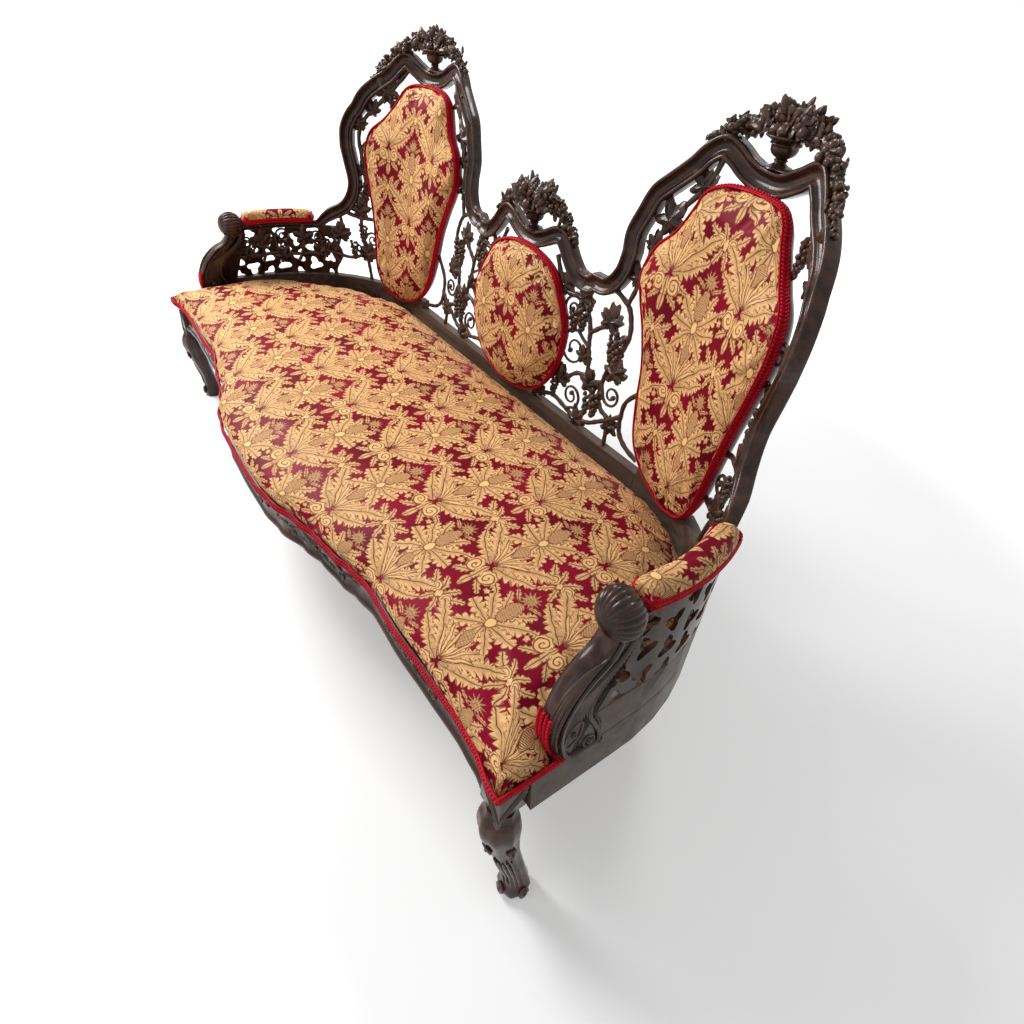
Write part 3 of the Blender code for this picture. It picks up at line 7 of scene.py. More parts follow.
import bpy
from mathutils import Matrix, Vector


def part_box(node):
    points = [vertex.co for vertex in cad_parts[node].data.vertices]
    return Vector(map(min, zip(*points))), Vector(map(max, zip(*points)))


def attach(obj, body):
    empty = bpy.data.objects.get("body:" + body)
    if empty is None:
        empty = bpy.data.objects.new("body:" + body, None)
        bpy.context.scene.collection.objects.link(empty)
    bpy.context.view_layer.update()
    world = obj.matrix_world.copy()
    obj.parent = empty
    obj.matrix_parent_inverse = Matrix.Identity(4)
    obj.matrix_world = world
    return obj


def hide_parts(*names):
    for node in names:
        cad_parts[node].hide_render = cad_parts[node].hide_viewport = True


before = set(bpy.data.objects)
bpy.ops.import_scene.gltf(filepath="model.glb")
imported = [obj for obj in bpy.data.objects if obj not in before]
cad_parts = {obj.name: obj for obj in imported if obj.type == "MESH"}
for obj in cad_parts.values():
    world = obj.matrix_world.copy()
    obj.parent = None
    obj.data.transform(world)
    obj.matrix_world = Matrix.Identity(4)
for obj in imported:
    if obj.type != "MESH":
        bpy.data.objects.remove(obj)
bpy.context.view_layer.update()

# %% Modules
import math

import bmesh
import bpy
import numpy as np
from mathutils import Matrix, Vector

# %% [markdown]
# The back, its rounded corners and the arms are one bent surface. It is far easier to draw the rail
# and the vines flat, as a carver's pattern, and to bend them afterwards. A flat point is its run
# along the bend, its height, and how far it stands to the front. The sizes below are those of the
# frame, and the one offset in depth is measured on a rail that lies on the surface.

# %% Sizes of the bent back
STRAIGHT_HALF = 0.50       # half of the straight middle, m
CORNER_RADIUS = 0.41
CORNER_CENTRE_Y = -0.06
SEAT_RAIL_TOP = 0.345
SEAT_RAIL_LOW = 0.270
RAIL_BOARD = 0.026         # thickness of the seat rails
BACK_LEAN = 0.10
CENTRE_LEAN = 0.04
ARM_LEAN = -0.14
LEAN_EASE = 1.5
ARM_START = STRAIGHT_HALF + CORNER_RADIUS * math.pi / 2
back_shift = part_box("seat_rail_back")[1].y - (CORNER_CENTRE_Y + CORNER_RADIUS + RAIL_BOARD / 2)
print("the surface lies", round(back_shift, 5), "m off in depth")


def on_back(flat):
    """Bend flat points (run, height, front) round the back and the arms."""
    run, height, front = np.asarray(flat, dtype=float).T
    along = np.abs(run)
    middle = np.clip(along / STRAIGHT_HALF, 0.0, 1.0)
    turn = np.clip((along - STRAIGHT_HALF) / CORNER_RADIUS, 0.0, math.pi / 2)
    past = np.maximum(along - ARM_START, 0.0)
    straight_lean = CENTRE_LEAN + (BACK_LEAN - CENTRE_LEAN) * middle ** 2 * (3 - 2 * middle)
    ease = (turn / (math.pi / 2)) ** LEAN_EASE
    lean = np.where(along < STRAIGHT_HALF, straight_lean, BACK_LEAN * (1 - ease) + ARM_LEAN * ease)
    out_x = np.sin(turn)
    out_y = np.cos(turn)
    reach = lean * (height - SEAT_RAIL_TOP) - front
    x = np.minimum(along, STRAIGHT_HALF) + out_x * (CORNER_RADIUS + reach)
    y = CORNER_CENTRE_Y + back_shift - past + out_y * (CORNER_RADIUS + reach)
    return np.stack([np.where(run < 0, -x, x), y, height], axis=1)


# %% [markdown]
# Small helpers keep each later cell short. Meshes are made from arrays of points and faces, so
# that bending, mirroring and joining are plain sums on the arrays.

# %% Mesh helpers
settee = bpy.data.collections.new("settee")
bpy.context.scene.collection.children.link(settee)


def add_object(name, data):
    item = bpy.data.objects.new(name, data)
    settee.objects.link(item)
    return item


def make_mesh(name, points, faces, crease=40):
    """An object from points and faces, smooth up to the crease angle."""
    mesh = bpy.data.meshes.new(name)
    mesh.from_pydata([tuple(point) for point in points], [], faces)
    mesh.update()
    mesh.shade_smooth()
    mesh.set_sharp_from_angle(angle=math.radians(crease))
    return add_object(name, mesh)


def read_points(item):
    points = np.zeros(len(item.data.vertices) * 3)
    item.data.vertices.foreach_get("co", points)
    return points.reshape(-1, 3)


def write_points(item, points):
    item.data.vertices.foreach_set("co", np.asarray(points, dtype=float).ravel())
    item.data.update()


def bend(item):
    write_points(item, on_back(read_points(item)))
    return item


def outward(item):
    """Turn every face outwards."""
    shape = bmesh.new()
    shape.from_mesh(item.data)
    bmesh.ops.remove_doubles(shape, verts=shape.verts, dist=1e-6)
    bmesh.ops.recalc_face_normals(shape, faces=shape.faces)
    shape.to_mesh(item.data)
    shape.free()
    return item


def joined(name, items, crease=40):
    """One mesh from several, which are removed."""
    shape = bmesh.new()
    for item in items:
        shape.from_mesh(item.data)
    mesh = bpy.data.meshes.new(name)
    shape.to_mesh(mesh)
    shape.free()
    for material in items[0].data.materials:
        mesh.materials.append(material)
    for item in items:
        bpy.data.objects.remove(item, do_unlink=True)
    mesh.shade_smooth()
    mesh.set_sharp_from_angle(angle=math.radians(crease))
    return add_object(name, mesh)


def mirrored(item, name):
    mesh = item.data.copy()
    mesh.name = name
    mesh.transform(Matrix.Scale(-1, 4, (1, 0, 0)))
    mesh.flip_normals()
    return add_object(name, mesh)


def evaluated(item):
    """The item with its modifiers made into a plain mesh."""
    bpy.context.view_layer.update()
    depsgraph = bpy.context.evaluated_depsgraph_get()
    mesh = bpy.data.meshes.new_from_object(item.evaluated_get(depsgraph))
    name = item.name
    bpy.data.objects.remove(item, do_unlink=True)
    result = add_object(name, mesh)
    result.name = name
    return result


def dress_in(item, finish, slot):
    item.data.materials.clear()
    item.data.materials.append(finish)


def show(item, finish, slot, *nodes):
    """Give a finished piece its material, hide the solids that it stands for, and hang it on the root.
    """
    dress_in(item, finish, slot)
    if nodes:
        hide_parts(*nodes)
    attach(item, "root")
    return item


def show_pair(item, finish, slot, *stems):
    """Show a right-hand piece and its left-hand twin."""
    stem = item.name
    twin = mirrored(item, stem + "_left")
    item.name = stem + "_right"
    show(item, finish, slot, *[node + "_right" for node in stems])
    show(twin, finish, slot, *[node + "_left" for node in stems])
    return item, twin


# %% Lines and sweeps
def smooth_line(points, steps):
    """A Catmull-Rom curve through the points."""
    points = np.asarray(points, dtype=float)
    ends = np.vstack([points[:1], points, points[-1:]])
    t = (np.arange(steps) / steps)[:, None]
    rows = []
    for p0, p1, p2, p3 in zip(ends, ends[1:], ends[2:], ends[3:]):
        rows.append(0.5 * (2 * p1 + (p2 - p0) * t + (2 * p0 - 5 * p1 + 4 * p2 - p3) * t ** 2
                           + (3 * p1 - p0 - 3 * p2 + p3) * t ** 3))
    return np.vstack([*rows, points[-1:]])


def even_line(line, count):
    """The same line with its points evenly spaced."""
    steps = np.linalg.norm(np.diff(line, axis=0), axis=1)
    places = np.concatenate([[0.0], np.cumsum(steps)])
    wanted = np.linspace(0.0, places[-1], count)
    return np.stack([np.interp(wanted, places, line[:, axis]) for axis in range(line.shape[1])], axis=1)


def line_normals(line, closed=False):
    """Mitred normals of a flat line, to its left."""
    if closed:
        before = line - np.roll(line, 1, axis=0)
        after = np.roll(line, -1, axis=0) - line
    else:
        steps = np.diff(line, axis=0)
        before = np.vstack([steps[:1], steps])
        after = np.vstack([steps, steps[-1:]])
    before = before / np.linalg.norm(before, axis=1, keepdims=True)
    after = after / np.linalg.norm(after, axis=1, keepdims=True)
    normal = np.stack([-(before[:, 1] + after[:, 1]), before[:, 0] + after[:, 0]], axis=1)
    normal /= np.maximum(np.linalg.norm(normal, axis=1, keepdims=True), 1e-9)
    side = np.stack([-after[:, 1], after[:, 0]], axis=1)
    return normal / np.maximum((normal * side).sum(axis=1, keepdims=True), 0.6)


def grid_faces(rows, columns, wrap_rows=False, wrap_columns=True):
    """Quads between rows of points."""
    faces = []
    for row in range(rows if wrap_rows else rows - 1):
        after = (row + 1) % rows
        for column in range(columns if wrap_columns else columns - 1):
            right = (column + 1) % columns
            faces.append((row * columns + column, row * columns + right,
                          after * columns + right, after * columns + column))
    return faces


def ringed(name, rings, crease, tips=None):
    """A closed shape through rings of points, ended by flat faces, or by fans round two tips."""
    count = len(rings[0])
    faces = grid_faces(len(rings), count)
    last = (len(rings) - 1) * count
    if tips is None:
        faces += [tuple(range(count)), tuple(last + count - 1 - index for index in range(count))]
        return outward(make_mesh(name, np.vstack(rings), faces, crease))
    tip = last + count
    for index in range(count):
        after = (index + 1) % count
        faces += [(after, index, tip), (last + index, last + after, tip + 1)]
    return outward(make_mesh(name, np.vstack([*rings, tips]), faces, crease))


def swept(line, normals, section, across, deep, widths=1.0):
    """Rings of a section (across, deep) carried along a flat line."""
    widths = np.broadcast_to(widths, len(line))[:, None, None]
    flat = line[:, None, :] + normals[:, None, :] * ((section[:, 0] * across)[None, :, None] * widths)
    return np.concatenate([flat, (section[:, 1] * deep)[None, :, None] * widths], axis=2)


def lifted(line, front):
    """A flat line at one depth."""
    return np.column_stack([line, np.full(len(line), front)])


def tube(name, line, radii, sides=8, flatten=1.0):
    """A round stem along points in space, with pointed or blunt ends by its radii."""
    line = np.asarray(line, dtype=float)
    radii = np.broadcast_to(np.asarray(radii, dtype=float), len(line))
    tangents = np.gradient(line, axis=0)
    tangents /= np.linalg.norm(tangents, axis=1, keepdims=True)
    first = np.cross(tangents[0], (0.0, 0.0, 1.0))
    if np.linalg.norm(first) < 0.1:
        first = np.cross(tangents[0], (1.0, 0.0, 0.0))
    first /= np.linalg.norm(first)
    rings = []
    angles = np.arange(sides) * 2 * math.pi / sides
    for place, tangent, radius in zip(line, tangents, radii):
        first = first - tangent * np.dot(first, tangent)
        first /= np.linalg.norm(first)
        second = np.cross(tangent, first)
        rings.append(place + radius * (np.outer(np.cos(angles), first)
                                       + flatten * np.outer(np.sin(angles), second)))
    return ringed(name, rings, 60, line[[0, -1]])


def turned(name, profile, steps, ripple=0.0, ripples=0):
    """A turned shape from (radius, height) pairs, with optional reeds round it."""
    profile = np.asarray(profile, dtype=float)
    angles = np.arange(steps) * 2 * math.pi / steps
    swell = 1.0 + ripple * np.abs(np.cos(angles * ripples / 2))
    x = profile[:, None, 0] * (np.cos(angles) * swell)[None, :]
    y = profile[:, None, 0] * (np.sin(angles) * swell)[None, :]
    z = np.broadcast_to(profile[:, None, 1], x.shape)
    return ringed(name, np.stack([x, y, z], axis=2), 35)


print("mesh helpers ready")

# %% [markdown]
# Lamps, floor and finishes are trees of nodes. Here a wire stands for one output of a node. A sum
# that is written with wires adds the maths nodes that work it out, so that a pattern can be read as
# its formula.

# %% Node helpers
class Wire:
    """One output of a node. A sum with it adds a maths node."""

    def __init__(self, node, label=0):
        self.socket = node.outputs[label]
        self.tree = node.id_data

    def __add__(self, other):
        return maths("ADD", self, other)

    def __sub__(self, other):
        return maths("SUBTRACT", self, other)

    def __rsub__(self, other):
        return maths("SUBTRACT", other, self)

    def __mul__(self, other):
        return maths("MULTIPLY", self, other)

    def __truediv__(self, other):
        return maths("DIVIDE", self, other)


def set_options(target, **options):
    for option, value in options.items():
        setattr(target, option, value)
    return target


def feed(node, values):
    """Link inputs of a node to wires, or set them to plain values, by name or number."""
    for label, value in values.items():
        if isinstance(value, Wire):
            value.tree.links.new(value.socket, node.inputs[label])
        else:
            node.inputs[label].default_value = value


def add_node(tree, kind, values=None, **options):
    node = set_options(tree.nodes.new(kind), **options)
    feed(node, values or {})
    return node


def maths(operation, *values, kind="ShaderNodeMath", output=0):
    tree = next(value.tree for value in values if isinstance(value, Wire))
    return Wire(add_node(tree, kind, dict(enumerate(values)), operation=operation), output)


def vectors(operation, *values, output=0):
    return maths(operation, *values, kind="ShaderNodeVectorMath", output=output)


def larger(first, second):
    return maths("MAXIMUM", first, second)


def smaller(first, second):
    return maths("MINIMUM", first, second)


def absolute(value):
    return maths("ABSOLUTE", value)


def sine(value):
    return maths("SINE", value)


def axes(place):
    node = add_node(place.tree, "ShaderNodeSeparateXYZ", {0: place})
    return [Wire(node, axis) for axis in range(3)]


def noise(place, scale, detail=2.0, roughness=0.5):
    return Wire(add_node(place.tree, "ShaderNodeTexNoise", {
        "Vector": place, "Scale": scale, "Detail": detail, "Roughness": roughness}), "Fac")


def ramp(value, low, high, start=0.0, end=1.0):
    return Wire(add_node(value.tree, "ShaderNodeMapRange", {
        "Value": value, "From Min": low, "From Max": high, "To Min": start, "To Max": end},
        interpolation_type="SMOOTHSTEP"), "Result")


def blend_colour(share, first, second):
    return Wire(add_node(share.tree, "ShaderNodeMix", {"Factor": share, "A": first, "B": second},
                         data_type="RGBA"), "Result")


def new_group(name, inputs, kind="ShaderNodeTree"):
    """An empty group and wires from its inputs, each named with its kind or its first value."""
    group = bpy.data.node_groups.new(name, kind)
    for label, value in inputs.items():
        named = isinstance(value, str)
        sort = value if named else "Vector" if isinstance(value, tuple) else "Float"
        socket = group.interface.new_socket(label, in_out="INPUT", socket_type="NodeSocket" + sort)
        if not named:
            socket.default_value = value
    entry = group.nodes.new("NodeGroupInput")
    return group, {label: Wire(entry, label) for label in inputs}


def give_out(group, outputs, kind="Float"):
    """Name the outputs of a group, and link them."""
    for label in outputs:
        group.interface.new_socket(label, in_out="OUTPUT", socket_type="NodeSocket" + kind)
    add_node(group, "NodeGroupOutput", outputs)
    return group


def use_group(group, **values):
    """Place a group in the tree of its first value, and hold out its outputs."""
    tree = next(iter(values.values())).tree
    node = add_node(tree, "ShaderNodeGroup", values, node_tree=group)
    return {output.name: Wire(node, output.name) for output in node.outputs}


def new_finish(name):
    finish = bpy.data.materials.new(name)
    finish.use_nodes = True
    return finish, finish.node_tree.nodes["Principled BSDF"]


def object_place(finish):
    return Wire(add_node(finish.node_tree, "ShaderNodeTexCoord"), "Object")


def dress(shader, colour, rough, height, distance, strength=1.0, **plain):
    """Feed a shader its colour, gloss and relief, and set other sockets to plain values."""
    bump = add_node(height.tree, "ShaderNodeBump",
                    {"Strength": strength, "Distance": distance, "Height": height})
    feed(shader, {"Base Color": colour, "Roughness": rough, "Normal": Wire(bump, "Normal")})
    feed(shader, {PLAIN_SOCKETS[label]: value for label, value in plain.items()})


PLAIN_SOCKETS = {"specular": "Specular IOR Level", "coat": "Coat Weight", "coat_rough": "Coat Roughness",
                 "sheen": "Sheen Weight", "sheen_rough": "Sheen Roughness", "metallic": "Metallic"}
print("node helpers ready")

# %% [markdown]
# The camera comes first, so that every later step can be looked at from the photograph's angle: from
# above the near arm, with a wide lens close by. Its axes are three unit vectors in the frame.


# %% Camera
CAMERA_PLACE = Vector((1.18189613, -0.56989061, 1.17370128))
CAMERA_RIGHT = Vector((0.5713, 0.8153, 0.0941))
CAMERA_AHEAD = Vector((-0.5861, 0.4855, -0.6486))
LENS_MM = 20.99
SENSOR_MM = 36.0

ahead = CAMERA_AHEAD.normalized()
right = (CAMERA_RIGHT - ahead * CAMERA_RIGHT.dot(ahead)).normalized()
up = right.cross(ahead)
camera_data = bpy.data.cameras.new("camera")
camera_data.lens = LENS_MM
camera_data.sensor_width = SENSOR_MM
camera_data.clip_start = 0.02
camera = bpy.data.objects.new("camera", camera_data)
bpy.context.scene.collection.objects.link(camera)
turn = Matrix((right, up, -ahead)).transposed().to_4x4()
camera.matrix_world = Matrix.Translation(CAMERA_PLACE + Vector((0.0, back_shift, 0.0))) @ turn
bpy.context.scene.camera = camera
print("camera stands", round(CAMERA_PLACE.z, 2), "m high")

# %% [markdown]
# A studio sweep: a large soft lamp on the left in front, a small bright one behind that draws lights
# along the mouldings, a weak one in front, and an even pale surround. The floor and the surround look
# white to the camera and in reflections, but they light the settee only at a plain level.

# %% Lamps
SURROUND = 0.34
WHITE = (1.0, 1.0, 1.0, 1.0)
LAMPS = {                  # place, what it points at, width in m, watts
    "key_lamp": ((-2.1, -0.9, 2.6), (0.0, 0.0, 0.4), 1.5, 122.0),
    "gloss_lamp": ((-0.3, 1.7, 3.0), (0.2, 0.1, 0.6), 0.6, 20.0),
    "fill_lamp": ((0.6, -3.0, 1.6), (0.2, 0.0, 0.4), 2.2, 12.0),
}


def on_stage(name, data):
    item = bpy.data.objects.new(name, data)
    bpy.context.scene.collection.objects.link(item)
    return item


for name, (place, target, width, watts) in LAMPS.items():
    lamp = on_stage(name, set_options(bpy.data.lights.new(name, "AREA"), energy=watts, size=width))
    lamp.location = place
    lamp.rotation_euler = (Vector(target) - Vector(place)).to_track_quat("-Z", "Y").to_euler()


def shown_directly(tree):
    """One for rays that show a surface as it is: from the camera, in a mirror or through glass."""
    path = add_node(tree, "ShaderNodeLightPath")
    camera_ray, mirror_ray, glass_ray = [Wire(path, f"Is {kind} Ray")
                                         for kind in ("Camera", "Glossy", "Transmission")]
    return larger(larger(camera_ray, mirror_ray), glass_ray)


world = bpy.data.worlds.new("studio")
bpy.context.scene.world = world
world.use_nodes = True
feed(world.node_tree.nodes["Background"], {
    "Color": WHITE, "Strength": ramp(shown_directly(world.node_tree), 0.0, 1.0, SURROUND, 1.0)})
print("lamps:", *LAMPS)

# %% Floor
FLOOR_HALF = 30.0
FLOOR_GREY = 0.80
FLOOR_GLOW = 0.30          # near the settee, where its shadow falls
GLOW_NEAR = 1.70           # from here on the floor brightens, m
GLOW_FAR = 2.7             # and from here it is as white as the surround
floor_mesh = bpy.data.meshes.new("floor")
floor_mesh.from_pydata([(x * FLOOR_HALF, y * FLOOR_HALF, 0.0)
                        for x, y in ((-1, -1), (1, -1), (1, 1), (-1, 1))], [], [(0, 1, 2, 3)])
floor_finish, floor_shader = new_finish("pale_floor")
far_off = vectors("LENGTH", object_place(floor_finish), output="Value")
glow = shown_directly(floor_finish.node_tree) * ramp(far_off, GLOW_NEAR, GLOW_FAR, FLOOR_GLOW, 1.0)
feed(floor_shader, {"Base Color": (FLOOR_GREY, FLOOR_GREY, FLOOR_GREY, 1.0), "Roughness": 0.9,
                    "Specular IOR Level": 0.1, "Emission Color": WHITE, "Emission Strength": glow})
floor_mesh.materials.append(floor_finish)
on_stage("floor", floor_mesh)
bpy.context.scene.view_settings.view_transform = "Standard"
print("stage set")

# %% [markdown]
# ## Finishes
# Effects that several finishes share are node groups, built once. Each group takes named values and
# gives out only colours, masks and heights. The first draws wood: long streaks that follow the board,
# fine pores, and a slow change of tone. The second finds edges and hollows: on the rosewood that is
# where polish wears thin and dust gathers, and on the gimp its hollows get painted shade.

# %% Shared groups
def wood_group():
    """Grain streaks and pores along one axis of the piece."""
    group, given = new_group("wood_grain", {"Place": "Vector", "Stretch": (9.0, 60.0, 60.0),
                                            "Pores": 0.5})
    drawn = vectors("MULTIPLY", given["Place"], given["Stretch"])
    streaks = ramp(noise(drawn, 1.0, 5.0, 0.62), 0.36, 0.66)
    pits = ramp(noise(drawn, 7.0), 0.62, 0.70)
    return give_out(group, {"Streaks": streaks, "Tone": noise(given["Place"], 3.2),
                            "Height": pits * -1.0 * given["Pores"]})


def edges_hollows_group():
    """Masks of edges and hollows, broken up by noise: for rubbed edges, dust, and painted shade in
    hollows.
    """
    group, given = new_group("edge_wear", {"Place": "Vector", "Patchiness": 0.5})
    patches = (noise(given["Place"], 26.0, 3.0) - 0.5) * (given["Patchiness"] * 0.10)
    point = Wire(add_node(group, "ShaderNodeNewGeometry"), "Pointiness") + patches
    return give_out(group, {"Edges": ramp(point, 0.515, 0.585), "Hollows": ramp(point, 0.485, 0.42)})


WOOD_GRAIN = wood_group()
EDGES_HOLLOWS_GROUP = edges_hollows_group()
print("shared groups:", WOOD_GRAIN.name, "and", EDGES_HOLLOWS_GROUP.name)

# %% [markdown]
# Polished rosewood is nearly black in the shade and warm brown where light grazes it. The real
# surface is shellac over open grain, so it has a hard gloss whose sharpness changes from place to
# place, brown streaks under it, greyish dust in the carved hollows and a paler rub on the edges.

# %% Rosewood
ROSEWOOD_DARK = (0.0155, 0.0060, 0.0046, 1.0)
ROSEWOOD_WARM = (0.098, 0.0330, 0.0190, 1.0)
ROSEWOOD_RUBBED = (0.115, 0.068, 0.046, 1.0)
ROSEWOOD_DUST = (0.040, 0.031, 0.025, 1.0)


def rosewood(name, stretch, gloss=0.20, dust=0.30, rub=0.40, tones=(ROSEWOOD_DARK, ROSEWOOD_WARM)):
    finish, shader = new_finish(name)
    place = object_place(finish)
    grain = use_group(WOOD_GRAIN, Place=place, Stretch=stretch, Pores=0.6)
    edges_hollows = use_group(EDGES_HOLLOWS_GROUP, Place=place, Patchiness=0.8)
    colour = blend_colour(grain["Streaks"] * ramp(grain["Tone"], 0.30, 0.70, 0.35, 1.0), *tones)
    hollows = edges_hollows["Hollows"] * dust
    colour = blend_colour(hollows, colour, ROSEWOOD_DUST)
    colour = blend_colour(edges_hollows["Edges"] * rub, colour, ROSEWOOD_RUBBED)
    rough = ramp(noise(place, 38.0, 3.0), 0.3, 0.7, gloss - 0.05, gloss + 0.09) + hollows * 0.5
    dress(shader, colour, rough, grain["Height"], 0.00025, specular=0.22, coat=0.06, coat_rough=0.08)
    return finish


ROSEWOOD_LEVEL = rosewood("rosewood_level_grain", (7.0, 55.0, 55.0))
ROSEWOOD_UPRIGHT = rosewood("rosewood_upright_grain", (55.0, 55.0, 7.0))
ROSEWOOD_CARVED = rosewood("rosewood_carved", (40.0, 40.0, 12.0), gloss=0.22, dust=0.45, rub=0.50)
print("rosewood in three cuts")

# %% [markdown]
# ## The crest rail
# On the real settee one moulding runs from the middle lobe down into a dip, round a tall lobe and
# down to the arm, in several glued lengths. A bead edges it on both sides, with a wide cove between.
# The line is given as shares of a lobe's half width and rise. One line for the whole side keeps the
# glued lengths flush: each length is swept along its own stretch, with the same frame at the joint.

# %% Lines of the rail
RAIL_WIDTH = 0.038
RAIL_THICKNESS = 0.028
DIP_HEIGHT = 0.713
LOBE_RUN = 0.545
LOBE_HALF_RUN = 0.265
LOBE_RISE = 0.3080
CENTRE_RISE = 0.0700
ARM_RAIL_HEIGHT = 0.565
ARM_RAIL_WIDTH = 0.020
BASE_TOP = 0.3873
CENTRE_CREST_SHARES = [(0.0, 0.56), (0.09, 0.56), (0.19, 0.65), (0.30, 0.79), (0.42, 0.96),
                       (0.52, 1.0), (0.61, 0.80), (0.73, 0.40), (0.86, 0.09), (1.0, 0.0)]
DIP_SHARES = [[(-1.283, 0.0), (-1.225, 0.008), (-1.181, 0.036)],
              [(-1.181, 0.036), (-1.075, 0.038), (-0.981, 0.09), (-0.917, 0.19), (-0.898, 0.315)]]
CREST_SHARES = [[(-0.898, 0.315), (-0.909, 0.43), (-0.857, 0.558)],
                [(-0.857, 0.558), (-0.80, 0.678), (-0.69, 0.769), (-0.566, 0.866), (-0.479, 0.951),
                 (-0.385, 0.997), (-0.29, 0.974), (-0.189, 0.93), (-0.075, 0.899), (0.075, 0.899),
                 (0.208, 0.951), (0.321, 1.0), (0.415, 0.945), (0.509, 0.866), (0.66, 0.778),
                 (0.774, 0.694), (0.857, 0.584)],
                [(0.857, 0.584), (0.921, 0.521), (0.985, 0.406), (0.996, 0.266)]]
STILE_SHARES = [[(0.996, 0.266), (0.965, 0.127), (0.935, -0.01), (0.94, -0.10), (0.985, -0.20),
                 (1.079, -0.296), (1.238, -0.366)]]
ARM_RAIL_SHARES = [[(0.0, 1.0), (0.07, 0.62), (0.13, 0.20), (0.19, 0.0), (0.5, 0.0), (1.0, 0.0)]]
CENTRE_HALF_RUN = LOBE_RUN + DIP_SHARES[0][0][0] * LOBE_HALF_RUN
ARM_TURN_RUN = LOBE_RUN + STILE_SHARES[-1][-1][0] * LOBE_HALF_RUN
ARM_TURN_HEIGHT = DIP_HEIGHT + STILE_SHARES[-1][-1][1] * LOBE_RISE
SUPPORT_REAR = ARM_START + 0.021
ARM_PAD_START = ARM_TURN_RUN + 0.062
CUSP_CLEAR = 0.011         # samples this close to a cusp would fold the inner edge


def lobe_place(run, rise):
    return (LOBE_RUN + run * LOBE_HALF_RUN, DIP_HEIGHT + rise * LOBE_RISE)


def stretch_line(stretches, place, steps=10):
    """A smooth line through stretches that meet in cusps, with clear ground round each cusp."""
    lines = []
    for stretch in stretches:
        line = smooth_line([place(*share) for share in stretch], steps)
        inner = line[1:-1]
        near = np.minimum(np.linalg.norm(inner - line[0], axis=1),
                          np.linalg.norm(inner - line[-1], axis=1))
        lines.append(np.vstack([line[:1], inner[near > CUSP_CLEAR], line[-1:]]))
    return np.vstack([lines[0], *[line[1:] for line in lines[1:]]])


def arm_rail_place(run, up):
    length = SUPPORT_REAR - 0.004 - ARM_TURN_RUN
    return (ARM_TURN_RUN + run * length, ARM_RAIL_HEIGHT + up * (ARM_TURN_HEIGHT - ARM_RAIL_HEIGHT))


rail_parts = {
    "dip_rail": stretch_line(DIP_SHARES, lobe_place),
    "crest_rail": stretch_line(CREST_SHARES, lobe_place),
    "outer_stile": stretch_line(STILE_SHARES, lobe_place),
    "arm_rail": stretch_line(ARM_RAIL_SHARES, arm_rail_place),
}
centre_half = stretch_line([CENTRE_CREST_SHARES],
                           lambda run, rise: (run * CENTRE_HALF_RUN, DIP_HEIGHT + rise * CENTRE_RISE))
side_line = np.vstack([centre_half, *[line[1:] for line in rail_parts.values()]])
side_normals = line_normals(side_line)
side_widths = 1.0 + np.clip((side_line[:, 0] - ARM_TURN_RUN) / (ARM_PAD_START - ARM_TURN_RUN),
                            0.0, 1.0) * (ARM_RAIL_WIDTH / RAIL_WIDTH - 1.0)
print("one side of the rail is", round(np.linalg.norm(np.diff(side_line, axis=0), axis=1).sum(), 3),
      "m long")

# %% Section of the moulding
BEAD_SHARE = 0.23          # radius of an edge bead, of the half width
COVE_SHARE = 0.20          # depth left at the middle of the cove
BEAD_TOP = 0.95


def rail_section(bead_steps=6, cove_steps=8):
    """Half a moulding from its middle to its back, mirrored to a full one: (across, deep)."""
    half = []
    edge = 1.0 - 2 * BEAD_SHARE
    for step in range(cove_steps):
        across = edge * 0.96 * step / (cove_steps - 1)
        half.append((across, COVE_SHARE + (0.62 - COVE_SHARE) * (across / edge) ** 2.4))
    for step in range(bead_steps + 1):
        angle = math.pi * (1.0 - step / bead_steps)
        rise = (BEAD_TOP - 0.60) * math.sin(angle)
        half.append((edge + BEAD_SHARE * (1.0 + math.cos(angle)), 0.60 + rise))
    half += [(0.99, 0.30), (1.0, -0.70), (0.88, -0.95)]
    return half + [(-across, deep) for across, deep in reversed(half[1:])]


RAIL_SECTION = rail_section()


def rail_length(name, line, normals, widths):
    """Sweep the moulding along one glued length, flush with its neighbours."""
    rings = swept(line, normals, np.asarray(RAIL_SECTION), RAIL_WIDTH / 2, RAIL_THICKNESS / 2, widths)
    return bend(ringed(name, rings, 50))


# %% Glued lengths
start = len(centre_half) - 1
full_centre = np.vstack([side_line[1:start + 1][::-1] * (-1.0, 1.0), side_line[:start + 1]])
centre_normals = np.vstack([side_normals[1:start + 1][::-1] * (-1.0, 1.0), side_normals[:start + 1]])
centre_normals[start] = (0.0, 1.0)
show(rail_length("crest_rail_middle", full_centre, centre_normals, np.ones(len(full_centre))),
     ROSEWOOD_LEVEL, "rosewood", "crest_rail_centre")
for stem, line in rail_parts.items():
    stop = start + len(line)
    piece = rail_length("moulded_" + stem, side_line[start:stop], side_normals[start:stop],
                        side_widths[start:stop])
    show_pair(piece, ROSEWOOD_UPRIGHT if stem == "outer_stile" else ROSEWOOD_LEVEL, "rosewood", stem)
    start = stop - 1
print("rail swept in", 2 * len(rail_parts) + 1, "lengths")

# %% [markdown]
# ## Silk damask
# The cover is a traditional floral damask: gold silk figures on a crimson satin ground, drawn with
# thin dark lines. A figure repeats every 198 mm across and 364 mm along the cloth, and each second
# column drops by half a repeat. An image would be the usual way to make it, but a drawing in nodes
# stays sharp at any distance. Two groups draw everything: one leaf, from its base along a direction,
# and one round, and the figure is a list of calls with sizes in metres.

